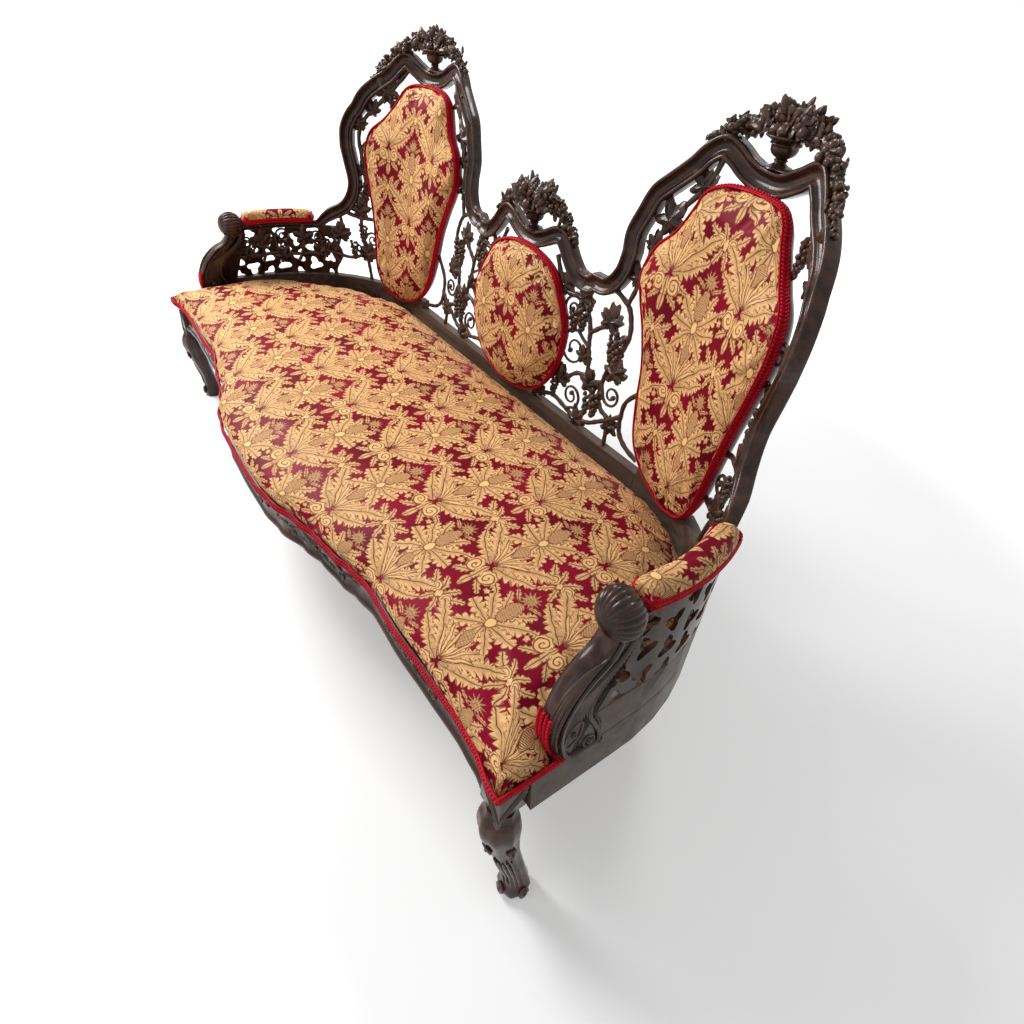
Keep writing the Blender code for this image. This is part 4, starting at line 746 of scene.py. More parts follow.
# %% Drawing groups
REPEAT_WIDE = 0.198
REPEAT_TALL = 0.364
EDGE_SOFT = 0.0009         # over how far a drawn edge fades, m
LEAF_FULLNESS = 0.88       # how much of its listed width a leaf takes up
TOOTH_CUT = 1.40           # how much deeper the teeth are cut than their listed depth
TOOTH_SLANT = 28.0         # teeth of a leaf lean by this many per metre from its rib
VEIN_SLANT = 55.0
WAVER = 0.013              # how far the drawing strays from its ruled lines, m


def laid_over(group, given, mask, drawn):
    """End a group that lays a masked shape with its lines over the drawing so far."""
    return give_out(group, {"Gold": larger(given["Gold"], mask),
                            "Line": given["Line"] * (1.0 - mask) + drawn * mask})


def leaf_group():
    """Adds one leaf to a drawing: gold is where silk lies, line is where it is dark."""
    group, given = new_group("damask_leaf", dict.fromkeys(
        ("X", "Y", "Base X", "Base Y", "Along X", "Along Y", "Length", "Width", "Bend", "Fullness",
         "Teeth", "Tooth Depth", "Veins", "Gold", "Line"), 0.0))
    dx, dy = given["X"] - given["Base X"], given["Y"] - given["Base Y"]
    share = (dx * given["Along X"] + dy * given["Along Y"]) / given["Length"]
    off = absolute(dx * given["Along Y"] - dy * given["Along X"] - given["Bend"] * (share * share))
    eased = maths("POWER", smaller(larger(share, 0.0), 1.0), given["Fullness"])
    swell = maths("SQRT", eased * (1.0 - eased) * 4.0)
    tooth = maths("FRACT", share * given["Teeth"] - off * TOOTH_SLANT)
    notch = 1.0 - given["Tooth Depth"] * TOOTH_CUT * (1.0 - sine(tooth * math.pi))
    width = given["Width"] * LEAF_FULLNESS * (swell * notch)
    mask = ramp(width - off, 0.0, EDGE_SOFT)
    outline = ramp(width - off, EDGE_SOFT, 2.5 * EDGE_SOFT, 1.0, 0.0)
    veined = smaller(given["Veins"], 1.0)
    across = off / larger(width, 0.0001)
    vein = maths("FRACT", share * given["Veins"] - off * VEIN_SLANT)
    vein = ramp(absolute(vein - 0.5), 0.05, 0.17, 1.0, 0.0) * veined * ramp(across, 0.36, 0.62)
    rib = ramp(off, 0.0004, 0.0013, 1.0, 0.0) * veined
    shade = larger(ramp(across, 0.0, 0.70, 0.42, 0.0), ramp(share, 0.0, 0.45, 0.45, 0.0)) * veined
    drawn = larger(larger(outline, shade), larger(vein * 0.8, rib))
    return laid_over(group, given, mask, drawn)


def round_group():
    """Adds one round or oval figure, with rays cut into its edge and a curl drawn in it."""
    group, given = new_group("damask_round", dict.fromkeys(
        ("X", "Y", "Middle X", "Middle Y", "Radius", "Tallness", "Rays", "Ray Depth", "Curl", "Gold",
         "Line"), 0.0))
    dx = given["X"] - given["Middle X"]
    dy = (given["Y"] - given["Middle Y"]) / given["Tallness"]
    reach = maths("SQRT", dx * dx + dy * dy)
    angle = maths("ARCTAN2", dy, dx)
    depth = given["Radius"] * (1.0 - given["Ray Depth"] * absolute(sine(angle * given["Rays"]))) - reach
    mask = ramp(depth, 0.0, EDGE_SOFT)
    outline = ramp(depth, EDGE_SOFT, 3.0 * EDGE_SOFT, 1.0, 0.0)
    turn = maths("FRACT", reach * 2.2 / given["Radius"] + angle / (2 * math.pi))
    curl = ramp(absolute(turn - 0.5), 0.08, 0.20, 1.0, 0.0)
    return laid_over(group, given, mask, larger(outline, curl * given["Curl"]))


LEAF_GROUP = leaf_group()
ROUND_GROUP = round_group()
print("damask groups of", len(LEAF_GROUP.nodes), "and", len(ROUND_GROUP.nodes), "nodes")

# %% Figure of the damask
# A row of ten numbers is a leaf: base x and y, degrees from straight up, length, half width, bend,
# fullness, teeth, tooth depth, veins. A row of seven is a round: middle x and y, radius, tallness,
# rays, ray depth, curl. Only one half is drawn, because the figure mirrors itself about the middle of
# its column.
SPRAY = [
    (0.010, -0.146, 122, 0.036, 0.0100, 0.004, 0.9, 4, 0.35, 4),
    (0.026, -0.126, 100, 0.032, 0.0100, 0.006, 0.9, 4, 0.40, 4),
    (0.004, -0.110, 72, 0.086, 0.0205, -0.014, 0.9, 7, 0.40, 6),
    (0.006, -0.104, 38, 0.106, 0.0240, 0.018, 1.1, 9, 0.38, 7),
    (0.002, -0.102, 20, 0.076, 0.0170, 0.018, 1.1, 7, 0.38, 6),
    (0.000, -0.104, 38, 0.064, 0.0044, 0.008, 1.3, 0, 0.0, 0),
    (0.000, -0.104, 24, 0.070, 0.0042, 0.006, 1.3, 0, 0.0, 0),
    (0.000, -0.104, 12, 0.070, 0.0038, 0.003, 1.3, 0, 0.0, 0),
    (0.000, -0.104, 3, 0.052, 0.0036, 0.000, 1.3, 0, 0.0, 0),
    (0.020, -0.131, 0.0185, 1.05, 4, 0.10, 0.9),
    (0.042, -0.147, 0.0085, 1.0, 2.5, 0.25, 0.5),
    (0.000, -0.114, 180, 0.040, 0.0110, 0.000, 1.2, 3, 0.30, 3),
    (0.000, -0.150, 180, 0.032, 0.0095, 0.000, 0.8, 0, 0.0, 1),
]
FLOWER = [
    (0.010, 0.070, 52, 0.026, 0.0065, 0.004, 1.0, 3, 0.35, 3),
    (0.005, 0.024, 24, 0.056, 0.0140, 0.006, 1.0, 6, 0.38, 5),
    (0.002, 0.004, 52, 0.062, 0.0200, -0.006, 1.5, 5, 0.28, 6),
    (0.002, 0.000, 88, 0.061, 0.0185, -0.008, 1.4, 5, 0.30, 6),
    (0.002, -0.004, 128, 0.056, 0.0185, 0.004, 1.4, 4, 0.32, 5),
    (0.000, -0.006, 164, 0.048, 0.0140, 0.006, 1.3, 4, 0.30, 4),
]
SPRIG_UP = 0.147           # the sprig between two sprays lies here on its column
SPRIG = [
    (0.002, -0.006, 148, 0.034, 0.0095, 0.004, 1.0, 3, 0.35, 3),
    (0.004, 0.004, 20, 0.034, 0.0100, 0.006, 1.0, 4, 0.35, 4),
    (0.010, 0.000, 62, 0.044, 0.0115, -0.006, 1.0, 5, 0.38, 5),
    (0.010, -0.004, 104, 0.046, 0.0115, 0.006, 1.0, 5, 0.38, 5),
    (0.0165, 0.003, 0.0135, 1.0, 3, 0.10, 0.9),
    (0.0, 0.0, 0.0090, 1.3, 2.5, 0.25, 0.0),
]
BUD = (0.0, 0.016, 0, 0.054, 0.0185, 0.0, 0.9, 5, 0.20, 0)
WEDGE = (0.0, -0.070, 0, 0.042, 0.0135, 0.0, 1.6, 0, 0.0, 0)
DAISY = (0.0, 0.086, 0.0205, 1.0, 6, 0.45, 0.35)
HEART = (0.0, 0.004, 0.0090, 1.35, 0, 0.0, 0.0)
CELL_EDGE = [(-0.182, 0.039), (-0.142, 0.051), (-0.102, 0.065), (-0.062, 0.090), (-0.030, 0.088),
             (0.0, 0.060), (0.040, 0.048), (0.080, 0.034), (0.120, 0.009), (0.152, 0.011),
             (0.182, 0.039)]
CURVE_SCALE = 10.0         # a curve node holds values from 0 to 1, so widths are scaled up


def folded(value, repeat):
    """The distance from the nearest whole repeat."""
    turns = value / repeat
    return (turns - maths("FLOOR", turns + 0.5)) * repeat


def chosen(share, first, second):
    return first * (1.0 - share) + second * share


def edge_curve(up):
    """How wide the first column's cell is at a height share."""
    edge = add_node(up.tree, "ShaderNodeFloatCurve", {"Value": up})
    points = edge.mapping.curves[0].points
    places = [(place / REPEAT_TALL + 0.5, value * CURVE_SCALE) for place, value in CELL_EDGE]
    points[0].location, points[-1].location = places[0], places[-1]
    for place in places[1:-1]:
        points.new(*place)
    edge.mapping.update()
    return Wire(edge, "Value") / CURVE_SCALE


def figure_group():
    """The whole damask on a flat cloth, from its coordinates in metres."""
    group, given = new_group("damask_figure", {"Cloth": "Vector"})
    aside, up, _ = axes(given["Cloth"])
    across = absolute(folded(aside, REPEAT_WIDE))
    ups = folded(up, REPEAT_TALL), folded(up + REPEAT_TALL / 2, REPEAT_TALL)
    in_second = maths("GREATER_THAN", across, edge_curve(ups[0] / REPEAT_TALL + 0.5))
    on_column = chosen(in_second, across, REPEAT_WIDE / 2 - across), chosen(in_second, *ups)

    def draw(sizes, gold, line, place=on_column):
        is_leaf = len(sizes) == 10
        if is_leaf:
            turn = math.radians(sizes[2])
            sizes = [*sizes[:2], math.sin(turn), math.cos(turn), *sizes[3:]]
        node = add_node(group, "ShaderNodeGroup", dict(enumerate([*place, *sizes, gold, line])),
                        node_tree=LEAF_GROUP if is_leaf else ROUND_GROUP)
        return Wire(node, "Gold"), Wire(node, "Line")

    gold = line = hatched = under = under_line = 0.0
    for item in SPRAY + FLOWER:
        gold, line = draw(item, gold, line)
    for item in (BUD, WEDGE, DAISY, HEART):
        alone, outline = draw(item, 0.0, 0.0)
        hatched = hatched * (1.0 - alone) if item is HEART else larger(hatched, alone)
        line = line * (1.0 - alone) + outline
        gold = larger(gold, alone)
    near_second = maths("GREATER_THAN", across, REPEAT_WIDE / 4)
    between = (smaller(across, REPEAT_WIDE / 2 - across),
               folded(chosen(near_second, *ups) - SPRIG_UP, REPEAT_TALL))
    for item in SPRIG:
        under, under_line = draw(item, under, under_line, between)
    return give_out(group, {"Gold": larger(gold, under), "Line": chosen(gold, under_line, line),
                            "Hatched": hatched, "Bright": alone})


DAMASK_FIGURE = figure_group()
print("damask drawn with", len(SPRAY) + len(FLOWER) + len(SPRIG) + 4, "shapes")

# %% Weave
HATCH_PITCH = 900.0
LINE_STRENGTH = 0.95


def weave_group():
    """Silk threads, slubs in them, and the crossed hatching of the buds."""
    group, given = new_group("silk_weave", {"Cloth": "Vector", "Threads": 5600.0})
    x, y, _ = axes(given["Cloth"])
    threads = given["Threads"]
    slub = noise(vectors("MULTIPLY", given["Cloth"], (60.0, 900.0, 1.0)), 1.0)
    crossed = [absolute(sine(slant * HATCH_PITCH)) for slant in (x + y, x - y)]
    return give_out(group, {"Height": sine((x * 0.4 + y) * threads) + sine(x * threads) * 0.5,
                            "Slub": slub, "Hatch": ramp(smaller(*crossed), 0.60, 0.30)})


SILK_WEAVE = weave_group()
print("weave of", len(SILK_WEAVE.nodes), "nodes")

# %% Damask
CRIMSON = (0.270, 0.0012, 0.0220, 1.0)
CRIMSON_DEEP = (0.130, 0.0010, 0.0090, 1.0)
GOLD_SILK = (0.750, 0.390, 0.138, 1.0)
GOLD_PALE = (0.960, 0.620, 0.300, 1.0)
GOLD_BRIGHT = (0.900, 0.570, 0.220, 1.0)
LINE_RED = (0.095, 0.006, 0.008, 1.0)


def wavered(cloth):
    """Places on the cloth, pushed about a little so that the figure looks drawn by hand."""
    pushes = [(noise(vectors("MULTIPLY", cloth, scale), 1.0) - 0.5) * WAVER
              for scale in ((34.0, 27.0, 1.0), (25.0, 38.0, 1.0))]
    stray = add_node(cloth.tree, "ShaderNodeCombineXYZ", dict(enumerate(pushes)))
    return vectors("ADD", cloth, Wire(stray))


def damask():
    finish, shader = new_finish("damask")
    cloth = Wire(add_node(finish.node_tree, "ShaderNodeUVMap", uv_map="cloth"), "UV")
    figure = use_group(DAMASK_FIGURE, Cloth=wavered(cloth))
    weave = use_group(SILK_WEAVE, Cloth=cloth)
    silk = blend_colour(ramp(weave["Slub"], 0.30, 0.70), GOLD_SILK, GOLD_PALE)
    silk = blend_colour(figure["Bright"], silk, GOLD_BRIGHT)
    for lines in (figure["Hatched"] * weave["Hatch"], figure["Line"]):
        silk = blend_colour(lines * LINE_STRENGTH, silk, LINE_RED)
    ground = blend_colour(ramp(noise(cloth, 6.0, 3.0), 0.35, 0.65), CRIMSON_DEEP, CRIMSON)
    rough = ramp(figure["Gold"], 0.0, 1.0, 0.42, 0.50) + ramp(weave["Slub"], 0.3, 0.7, -0.04, 0.06)
    height = weave["Height"] * 0.10 + weave["Slub"]
    dress(shader, blend_colour(figure["Gold"], ground, silk), rough, height, 0.00012, 0.8,
          specular=0.07, sheen=0.02, sheen_rough=0.35)
    return finish


DAMASK = damask()
print("damask woven")

# %% Gimp
# The edges are trimmed with a plaited gimp of crimson rayon in two tones at random, with painted shade
# darkening its hollows.
GIMP_BRIGHT = (0.700, 0.0030, 0.0240, 1.0)
GIMP_DEEP = (0.280, 0.0008, 0.0080, 1.0)


def gimp():
    finish, shader = new_finish("crimson_gimp")
    place = object_place(finish)
    edges_hollows = use_group(EDGES_HOLLOWS_GROUP, Place=place, Patchiness=0.3)
    fibres = noise(vectors("MULTIPLY", place, (1400.0, 1400.0, 1400.0)), 1.0)
    colour = blend_colour(ramp(fibres, 0.3, 0.7), GIMP_DEEP, GIMP_BRIGHT)
    # painted shade: the hollows of the plait are darkened to the deep crimson
    colour = blend_colour(edges_hollows["Hollows"] * 0.8, colour, GIMP_DEEP)
    dress(shader, colour, ramp(fibres, 0.3, 0.7, 0.62, 0.42), fibres, 0.0003, 0.8, specular=0.16)
    return finish


GIMP = gimp()
print("gimp dyed")

# %% [markdown]
# ## Upholstery
# Each medallion is a board with a stuffed pad, covered in silk damask and edged with a plaited gimp.
# A pad starts from a slightly small cushion shape drawn flat, is blown up by a short cloth
# simulation, and is only then bent round the back with its board. Flat coordinates in metres are kept
# as a UV map, so the weave lies on the pad as cut cloth does and turns down over its sides.

# %% Outlines of the pads
TALL_PAD_HALF = 0.195
CENTRE_PAD_HALF = 0.187
PAD_LOW = 0.385
TALL_PAD_HIGH = 0.972
CENTRE_PAD_HIGH = 0.738
BOARD_THICKNESS = 0.028
PAD_THICKNESS = 0.042
TALL_PAD_SHARES = [
    (0.0, 0.28, 0.40), (0.03, -0.02, 0.66), (0.08, -0.24, 0.79), (0.15, -0.39, 0.86),
    (0.27, -0.50, 0.88), (0.40, -0.58, 0.91), (0.52, -0.72, 0.965), (0.61, -0.86, 1.01),
    (0.69, -0.94, 1.025), (0.78, -0.85, 0.93), (0.84, -0.68, 0.71), (0.915, -0.57, 0.50),
    (0.965, -0.50, 0.40), (0.993, -0.34, 0.27), (1.0, -0.12, 0.05),
]
CENTRE_PAD_SHARES = [
    (0.0, -0.12, 0.12), (0.03, -0.40, 0.40), (0.10, -0.66, 0.66), (0.23, -0.86, 0.86),
    (0.40, -0.98, 0.98), (0.58, -0.99, 0.99), (0.70, -0.90, 0.90), (0.80, -0.78, 0.78),
    (0.89, -0.66, 0.66), (0.95, -0.50, 0.50), (0.985, -0.30, 0.30), (1.0, -0.10, 0.10),
]


def pad_outline(rows, middle, half, high, count):
    """An anticlockwise outline of evenly spaced points (run, height)."""
    rise = high - PAD_LOW
    right_side = [(middle + outer * half, PAD_LOW + up * rise) for up, inner, outer in rows]
    left_side = [(middle + inner * half, PAD_LOW + up * rise) for up, inner, outer in reversed(rows)]
    foot = (middle + (rows[0][1] + rows[0][2]) / 2 * half, PAD_LOW)
    line = smooth_line([foot, *right_side, *left_side, foot], 8)
    return even_line(line, count + 1)[:-1]


tall_outline = pad_outline(TALL_PAD_SHARES, LOBE_RUN, TALL_PAD_HALF, TALL_PAD_HIGH, 160)
centre_outline = pad_outline(CENTRE_PAD_SHARES, 0.0, CENTRE_PAD_HALF, CENTRE_PAD_HIGH, 140)
print("pad outlines of", len(tall_outline), "and", len(centre_outline), "points")

# %% Cushion shapes
VOXEL = 0.006
CLOTH_FRAMES = 20
CLOTH_PRESSURE = 4.0
CLOTH_STIFFNESS = 12.0
PAD_SWELL = 0.007          # furthest that a point of a pad may move
PAD_RINGS = [(0.0, 0.0), (0.95, 0.0), (0.992, 0.05), (1.004, 0.20), (0.995, 0.42), (0.96, 0.62),
             (0.88, 0.78), (0.74, 0.885), (0.55, 0.945), (0.33, 0.98), (0.0, 1.0)]


def ring_shape(name, outline, rings, back, thickness):
    """A closed pad: rings of the outline drawn in by a share, each at its own depth."""
    centre = outline.mean(axis=0)
    loops = [lifted(centre + (outline - centre) * share, back + depth * thickness)
             for share, depth in rings[1:-1]]
    tips = [[*centre, back + depth * thickness] for depth in (0.0, rings[-1][1])]
    return ringed(name, loops, 180, tips)


def stuffed(item, voxel, cap, fixed):
    """Blow a closed shape up as cloth, no point by more than the cap, and smooth it once."""
    set_options(item.modifiers.new("remesh", "REMESH"), mode="VOXEL", voxel_size=voxel)
    item = evaluated(item)
    before = read_points(item)
    held = item.vertex_groups.new(name="held")
    held.add([int(index) for index in np.nonzero(fixed(before))[0]], 1.0, "REPLACE")
    cloth = item.modifiers.new("cloth", "CLOTH")
    set_options(cloth.settings, quality=5, mass=0.25, tension_stiffness=CLOTH_STIFFNESS,
                compression_stiffness=CLOTH_STIFFNESS, use_pressure=True,
                uniform_pressure_force=CLOTH_PRESSURE, vertex_group_mass="held")
    cloth.settings.effector_weights.gravity = 0.0
    set_options(cloth.point_cache, frame_start=1, frame_end=CLOTH_FRAMES)
    for frame_number in range(1, CLOTH_FRAMES + 1):
        bpy.context.scene.frame_set(frame_number)
    item = evaluated(item)
    bpy.context.scene.frame_set(1)
    move = read_points(item) - before
    length = np.linalg.norm(move, axis=1, keepdims=True)
    write_points(item, before + move * np.minimum(1.0, cap / np.maximum(length, 1e-9)))
    item.vertex_groups.clear()
    set_options(item.modifiers.new("soft", "SUBSURF"), levels=1, render_levels=1)
    item = evaluated(item)
    item.data.shade_smooth()
    return item


# %% Cloth coordinates
def lay_cloth(item, axis, crown, centre=(0.0, 0.0)):
    """A UV map in metres: flat on the crown, and folded down over the sides."""
    mesh = item.data
    points = read_points(item)
    normals = np.zeros(len(points) * 3)
    mesh.vertex_normals.foreach_get("vector", normals)
    normals = normals.reshape(-1, 3)
    plan = [index for index in range(3) if index != axis]
    drop = np.clip(crown - points[:, axis], 0.0, None)[:, None]
    flat = points[:, plan] - np.asarray(centre) + normals[:, plan] * drop * 0.9
    layer = mesh.uv_layers.new(name="cloth")
    corners = np.zeros(len(mesh.loops), dtype=np.int32)
    mesh.loops.foreach_get("vertex_index", corners)
    layer.data.foreach_set("uv", flat[corners].ravel())
    return item


# %% Pads
PAD_BACK = BOARD_THICKNESS / 2 + 0.0012


def make_pad(name, outline, middle):
    shape = ring_shape(name, outline, PAD_RINGS, PAD_BACK, PAD_THICKNESS - 0.008)
    shape = stuffed(shape, VOXEL, PAD_SWELL, lambda points: points[:, 2] < PAD_BACK + 0.004)
    lay_cloth(shape, 2, PAD_BACK + PAD_THICKNESS, (middle, PAD_LOW))
    return bend(shape)


tall_pad = make_pad("stuffed_pad", tall_outline, LOBE_RUN)
for piece in show_pair(tall_pad, DAMASK, "damask", "medallion_pad"):
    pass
centre_pad = make_pad("stuffed_pad_middle", centre_outline, 0.0)
show(centre_pad, DAMASK, "damask", "medallion_pad_centre")
print("three stuffed pads, the largest of", len(tall_pad.data.polygons), "faces")

# %% Boards behind the pads
BOARD_RINGS = [(0.0, 0.0), (0.30, 0.0), (0.60, 0.0), (0.85, 0.0), (0.90, 0.05), (0.95, 0.24),
               (0.985, 0.52), (0.996, 0.70), (1.0, 0.97), (0.90, 1.0), (0.0, 1.0)]
for name, outline, reveal, node in (("medallion_back_board", tall_outline, show_pair, "medallion_board"),
                                    ("medallion_back_board_middle", centre_outline, show,
                                     "medallion_board_centre")):
    board = ring_shape(name, outline, BOARD_RINGS, -BOARD_THICKNESS / 2, BOARD_THICKNESS)
    reveal(bend(board), ROSEWOOD_UPRIGHT, "rosewood", node)
print("boards feathered towards the back")

# %% [markdown]
# The long seat is sprung and over-stuffed. It is crowned across its depth, follows the serpentine
# apron, and swells a little past it. Its shape is a loft of one cross-section at many stations, and
# the cloth simulation rounds it off.

# %% Plan of the seat
FRONT_HALF = STRAIGHT_HALF + CORNER_RADIUS
FRONT_SIDE_Y = -0.296
FRONT_BOW = 0.082
APRON_SHARES = [
    (0.0, 1.0), (0.121, 0.976), (0.198, 0.854), (0.286, 0.56), (0.345, 0.378), (0.426, 0.256),
    (0.475, 0.11), (0.538, 0.0), (0.66, 0.037), (0.758, 0.0), (0.863, -0.03), (0.925, 0.012),
    (1.0, 0.17),
]
CUSHION_OVERHANG = 0.012
SEAT_CROWN = 0.078
SEAT_LOW = SEAT_RAIL_TOP + 0.0026
SEAT_SETBACK = 0.015
POST = 0.050               # square corner post over each front leg
POST_X = FRONT_HALF + RAIL_BOARD / 2 - POST / 2
POST_Y = FRONT_SIDE_Y - RAIL_BOARD / 2 + POST / 2
SUPPORT_DEPTH = 0.145
CORNER_BACK = CORNER_CENTRE_Y - (SUPPORT_REAR + SUPPORT_DEPTH - ARM_START) + 0.008
CORNER_SHARE = 0.968       # from here outwards the seat only covers the corner post
SEAT_END_SHARE = (POST_X + POST / 2 + 0.001) / FRONT_HALF
SEAT_SECTION = [(0.02, 0.0), (-0.012, 0.28), (0.02, 0.66), (0.16, 0.91), (0.44, 1.0), (0.74, 0.86),
                (0.93, 0.47), (1.0, 0.24), (0.985, 0.0)]


def front_y(x):
    """The front face of the apron at x, before the shift in depth."""
    share = abs(x) / FRONT_HALF
    for (x0, y0), (x1, y1) in zip(APRON_SHARES, APRON_SHARES[1:]):
        if share <= x1:
            part = (share - x0) / (x1 - x0)
            return FRONT_SIDE_Y - FRONT_BOW * (y0 + (y1 - y0) * part * part * (3 - 2 * part))
    return FRONT_SIDE_Y - FRONT_BOW * APRON_SHARES[-1][1]


def inner_back_y(x):
    """Where the inner face of the back or arm lies behind x, at seat height."""
    radius = CORNER_RADIUS - SEAT_SETBACK
    past = max(0.0, abs(x) - STRAIGHT_HALF)
    return CORNER_CENTRE_Y + math.sqrt(max(0.0, radius * radius - past * past))


def seat_station(share):
    """Front edge, back edge and crown of the seat at a share of its half width."""
    x = share * FRONT_HALF
    crown = SEAT_CROWN * (1.0 - 0.16 * abs(share) ** 4)
    back = inner_back_y(x)
    if abs(share) > CORNER_SHARE:
        part = (abs(share) - CORNER_SHARE) / (SEAT_END_SHARE - CORNER_SHARE)
        back = CORNER_BACK
        crown *= 0.80 - 0.22 * part ** 2
    return x, front_y(x) - CUSHION_OVERHANG, back, crown


# %% Seat cushion
SEAT_VOXEL = 0.010
SEAT_CAP = 0.009
SEAT_STATIONS = 150
SEAT_START_SHARE = 0.90    # the starting shape is this much of the full crown
FIGURE_X = 0.110           # a flower of the damask lies here on the seat
FIGURE_Y = -0.195


def make_seat():
    outline = smooth_line(SEAT_SECTION, 4)
    rings = []
    for share in np.linspace(-SEAT_END_SHARE, SEAT_END_SHARE, SEAT_STATIONS):
        x, front, back, crown = seat_station(share)
        y = front + 0.004 + outline[:, 0] * (back - front - 0.008)
        z = SEAT_LOW + outline[:, 1] * crown * SEAT_START_SHARE
        rings.append(np.column_stack([np.full(len(outline), x), y + back_shift, z]))
    seat = stuffed(ringed("sprung_seat", rings, 180), SEAT_VOXEL, SEAT_CAP,
                   lambda points: points[:, 2] < SEAT_LOW + 0.004)
    points = read_points(seat)
    points[:, 2] = np.maximum(points[:, 2], SEAT_LOW)
    write_points(seat, points)
    return lay_cloth(seat, 2, SEAT_LOW + SEAT_CROWN, (FIGURE_X, FIGURE_Y + back_shift))


seat = make_seat()
show(seat, DAMASK, "damask", "seat_cushion")
print("seat", [round(value, 3) for value in seat.dimensions], "and", len(seat.data.polygons), "faces")

# %% [markdown]
# ## Carving
# Grapes, leaves, petals and beads repeat by the hundred. One Geometry Nodes tree places copies of a
# small shape on a cloud of points. Each point carries its own turn and size as attributes, and the
# tree ends in real geometry with its finish.

# %% Place copies
def painted(tree, geometry, finish, label):
    """End a tree in real geometry with its finish."""
    real = Wire(add_node(tree, "GeometryNodeRealizeInstances", {"Geometry": geometry}))
    coated = add_node(tree, "GeometryNodeSetMaterial", {"Geometry": real, "Material": finish})
    return give_out(tree, {label: Wire(coated)}, "Geometry")


def built(item, tree, values):
    """The item run through a tree, as a plain mesh. Its inputs are set by identifier."""
    modifier = item.modifiers.new("copies", "NODES")
    modifier.node_group = tree
    for socket in tree.interface.items_tree:
        if socket.in_out == "INPUT" and socket.name in values:
            modifier[socket.identifier] = values[socket.name]
    return evaluated(item)


def copies_tree():
    tree, given = new_group("place_copies", {"Points": "Geometry", "Shape": "Object", "Scale": "Float",
                                             "Finish": "Material"}, "GeometryNodeTree")
    turn, size = [Wire(add_node(tree, "GeometryNodeInputNamedAttribute", {"Name": label},
                                data_type="FLOAT_VECTOR"), "Attribute") for label in ("turn", "size")]
    scaled = Wire(add_node(tree, "ShaderNodeVectorMath", {0: size, "Scale": given["Scale"]},
                           operation="SCALE"))
    shape = Wire(add_node(tree, "GeometryNodeObjectInfo", {"Object": given["Shape"]}), "Geometry")
    rotation = Wire(add_node(tree, "FunctionNodeEulerToRotation", {"Euler": turn}))
    copies = add_node(tree, "GeometryNodeInstanceOnPoints", {
        "Points": given["Points"], "Instance": shape, "Rotation": rotation, "Scale": scaled})
    return painted(tree, Wire(copies), given["Finish"], "Copies")


COPIES_TREE = copies_tree()


def place_copies(name, shape, places, sizes, turns=None):
    """Carved copies of a shape at points, each with its size and turn (three angles), as one mesh."""
    count = len(places)
    turns = np.zeros((count, 3)) if turns is None else turns
    sizes = np.asarray(sizes, dtype=float)
    if sizes.ndim == 1:
        sizes = np.repeat(sizes[:, None], 3, axis=1)
    mesh = bpy.data.meshes.new(name)
    mesh.from_pydata([tuple(place) for place in places], [], [])
    for label, values in (("turn", turns), ("size", sizes)):
        layer = mesh.attributes.new(label, "FLOAT_VECTOR", "POINT")
        layer.data.foreach_set("vector", np.asarray(values, dtype=float).reshape(count, 3).ravel())
    result = built(add_object(name, mesh), COPIES_TREE,
                   {"Shape": shape, "Scale": 1.0, "Finish": ROSEWOOD_CARVED})
    result.data.shade_smooth()
    return result


# %% Small shapes
def from_shape(name, shape):
    mesh = bpy.data.meshes.new(name)
    shape.to_mesh(mesh)
    shape.free()
    return add_object(name, mesh)


def small_ball(name, segments=8, rings=6):
    shape = bmesh.new()
    bmesh.ops.create_uvsphere(shape, u_segments=segments, v_segments=rings, radius=1.0)
    return from_shape(name, shape)


def turned_off(angle, direction):
    """The angle between two directions, whichever way round."""
    return abs((angle - direction + math.pi) % (2 * math.pi) - math.pi)


def leaf_radius(angle, lobes, floor, teeth):
    """How far a lobed leaf reaches at an angle from its tip, 0 at the tip."""
    reach = floor
    for direction, length, breadth in lobes:
        off = turned_off(angle, direction)
        reach = max(reach, floor + (length - floor) * max(0.0, 1.0 - off / breadth) ** 0.8)
    return reach * (1.0 + teeth * math.sin(angle * 17))


def leaf_shape(name, lobes, floor=0.34, teeth=0.05, dome=0.22, rings=4, around=44):
    """A carved leaf with a raised rib in each lobe, one unit from middle to tip, tip along +Y."""
    loops = []
    for ring in range(1, rings + 1):
        share = ring / rings
        loop = []
        for step in range(around):
            angle = 2 * math.pi * step / around
            reach = leaf_radius(angle, lobes, floor, teeth) * share
            rib = max(1.0 - turned_off(angle, direction) / (0.35 * breadth)
                      for direction, _, breadth in lobes)
            height = dome * (1.0 - 0.8 * share ** 2) + 0.09 * max(0.0, rib) * (1.2 - share)
            loop.append((reach * math.sin(angle), reach * math.cos(angle), height))
        loops.append(loop)
    loops.append([(x * 0.97, y * 0.97, -0.10) for x, y, _ in loops[-1]])
    return ringed(name, loops, 70, [(0.0, 0.0, dome * 1.2), (0.0, 0.0, -0.10)])


BALL = small_ball("small_ball")
VINE_LEAF = leaf_shape("vine_leaf", [(0.0, 1.0, 0.62), (1.15, 0.86, 0.60), (-1.15, 0.86, 0.60),
                                     (2.25, 0.66, 0.62), (-2.25, 0.66, 0.62)])
POINTED_LEAF = leaf_shape("pointed_leaf", [(0.0, 1.0, 0.85), (math.pi, 0.62, 0.9)], floor=0.30,
                          teeth=0.02, rings=3, around=28)
PETAL = leaf_shape("petal", [(0.0, 1.0, 1.3), (math.pi, 0.5, 1.2)], floor=0.45, teeth=0.0, dome=0.25,
                   rings=3, around=18)
print("templates:", BALL.name, VINE_LEAF.name, POINTED_LEAF.name, PETAL.name)


# %% Bunch of grapes
GOLDEN_TURN = 2.399963     # each grape is turned on by the golden angle


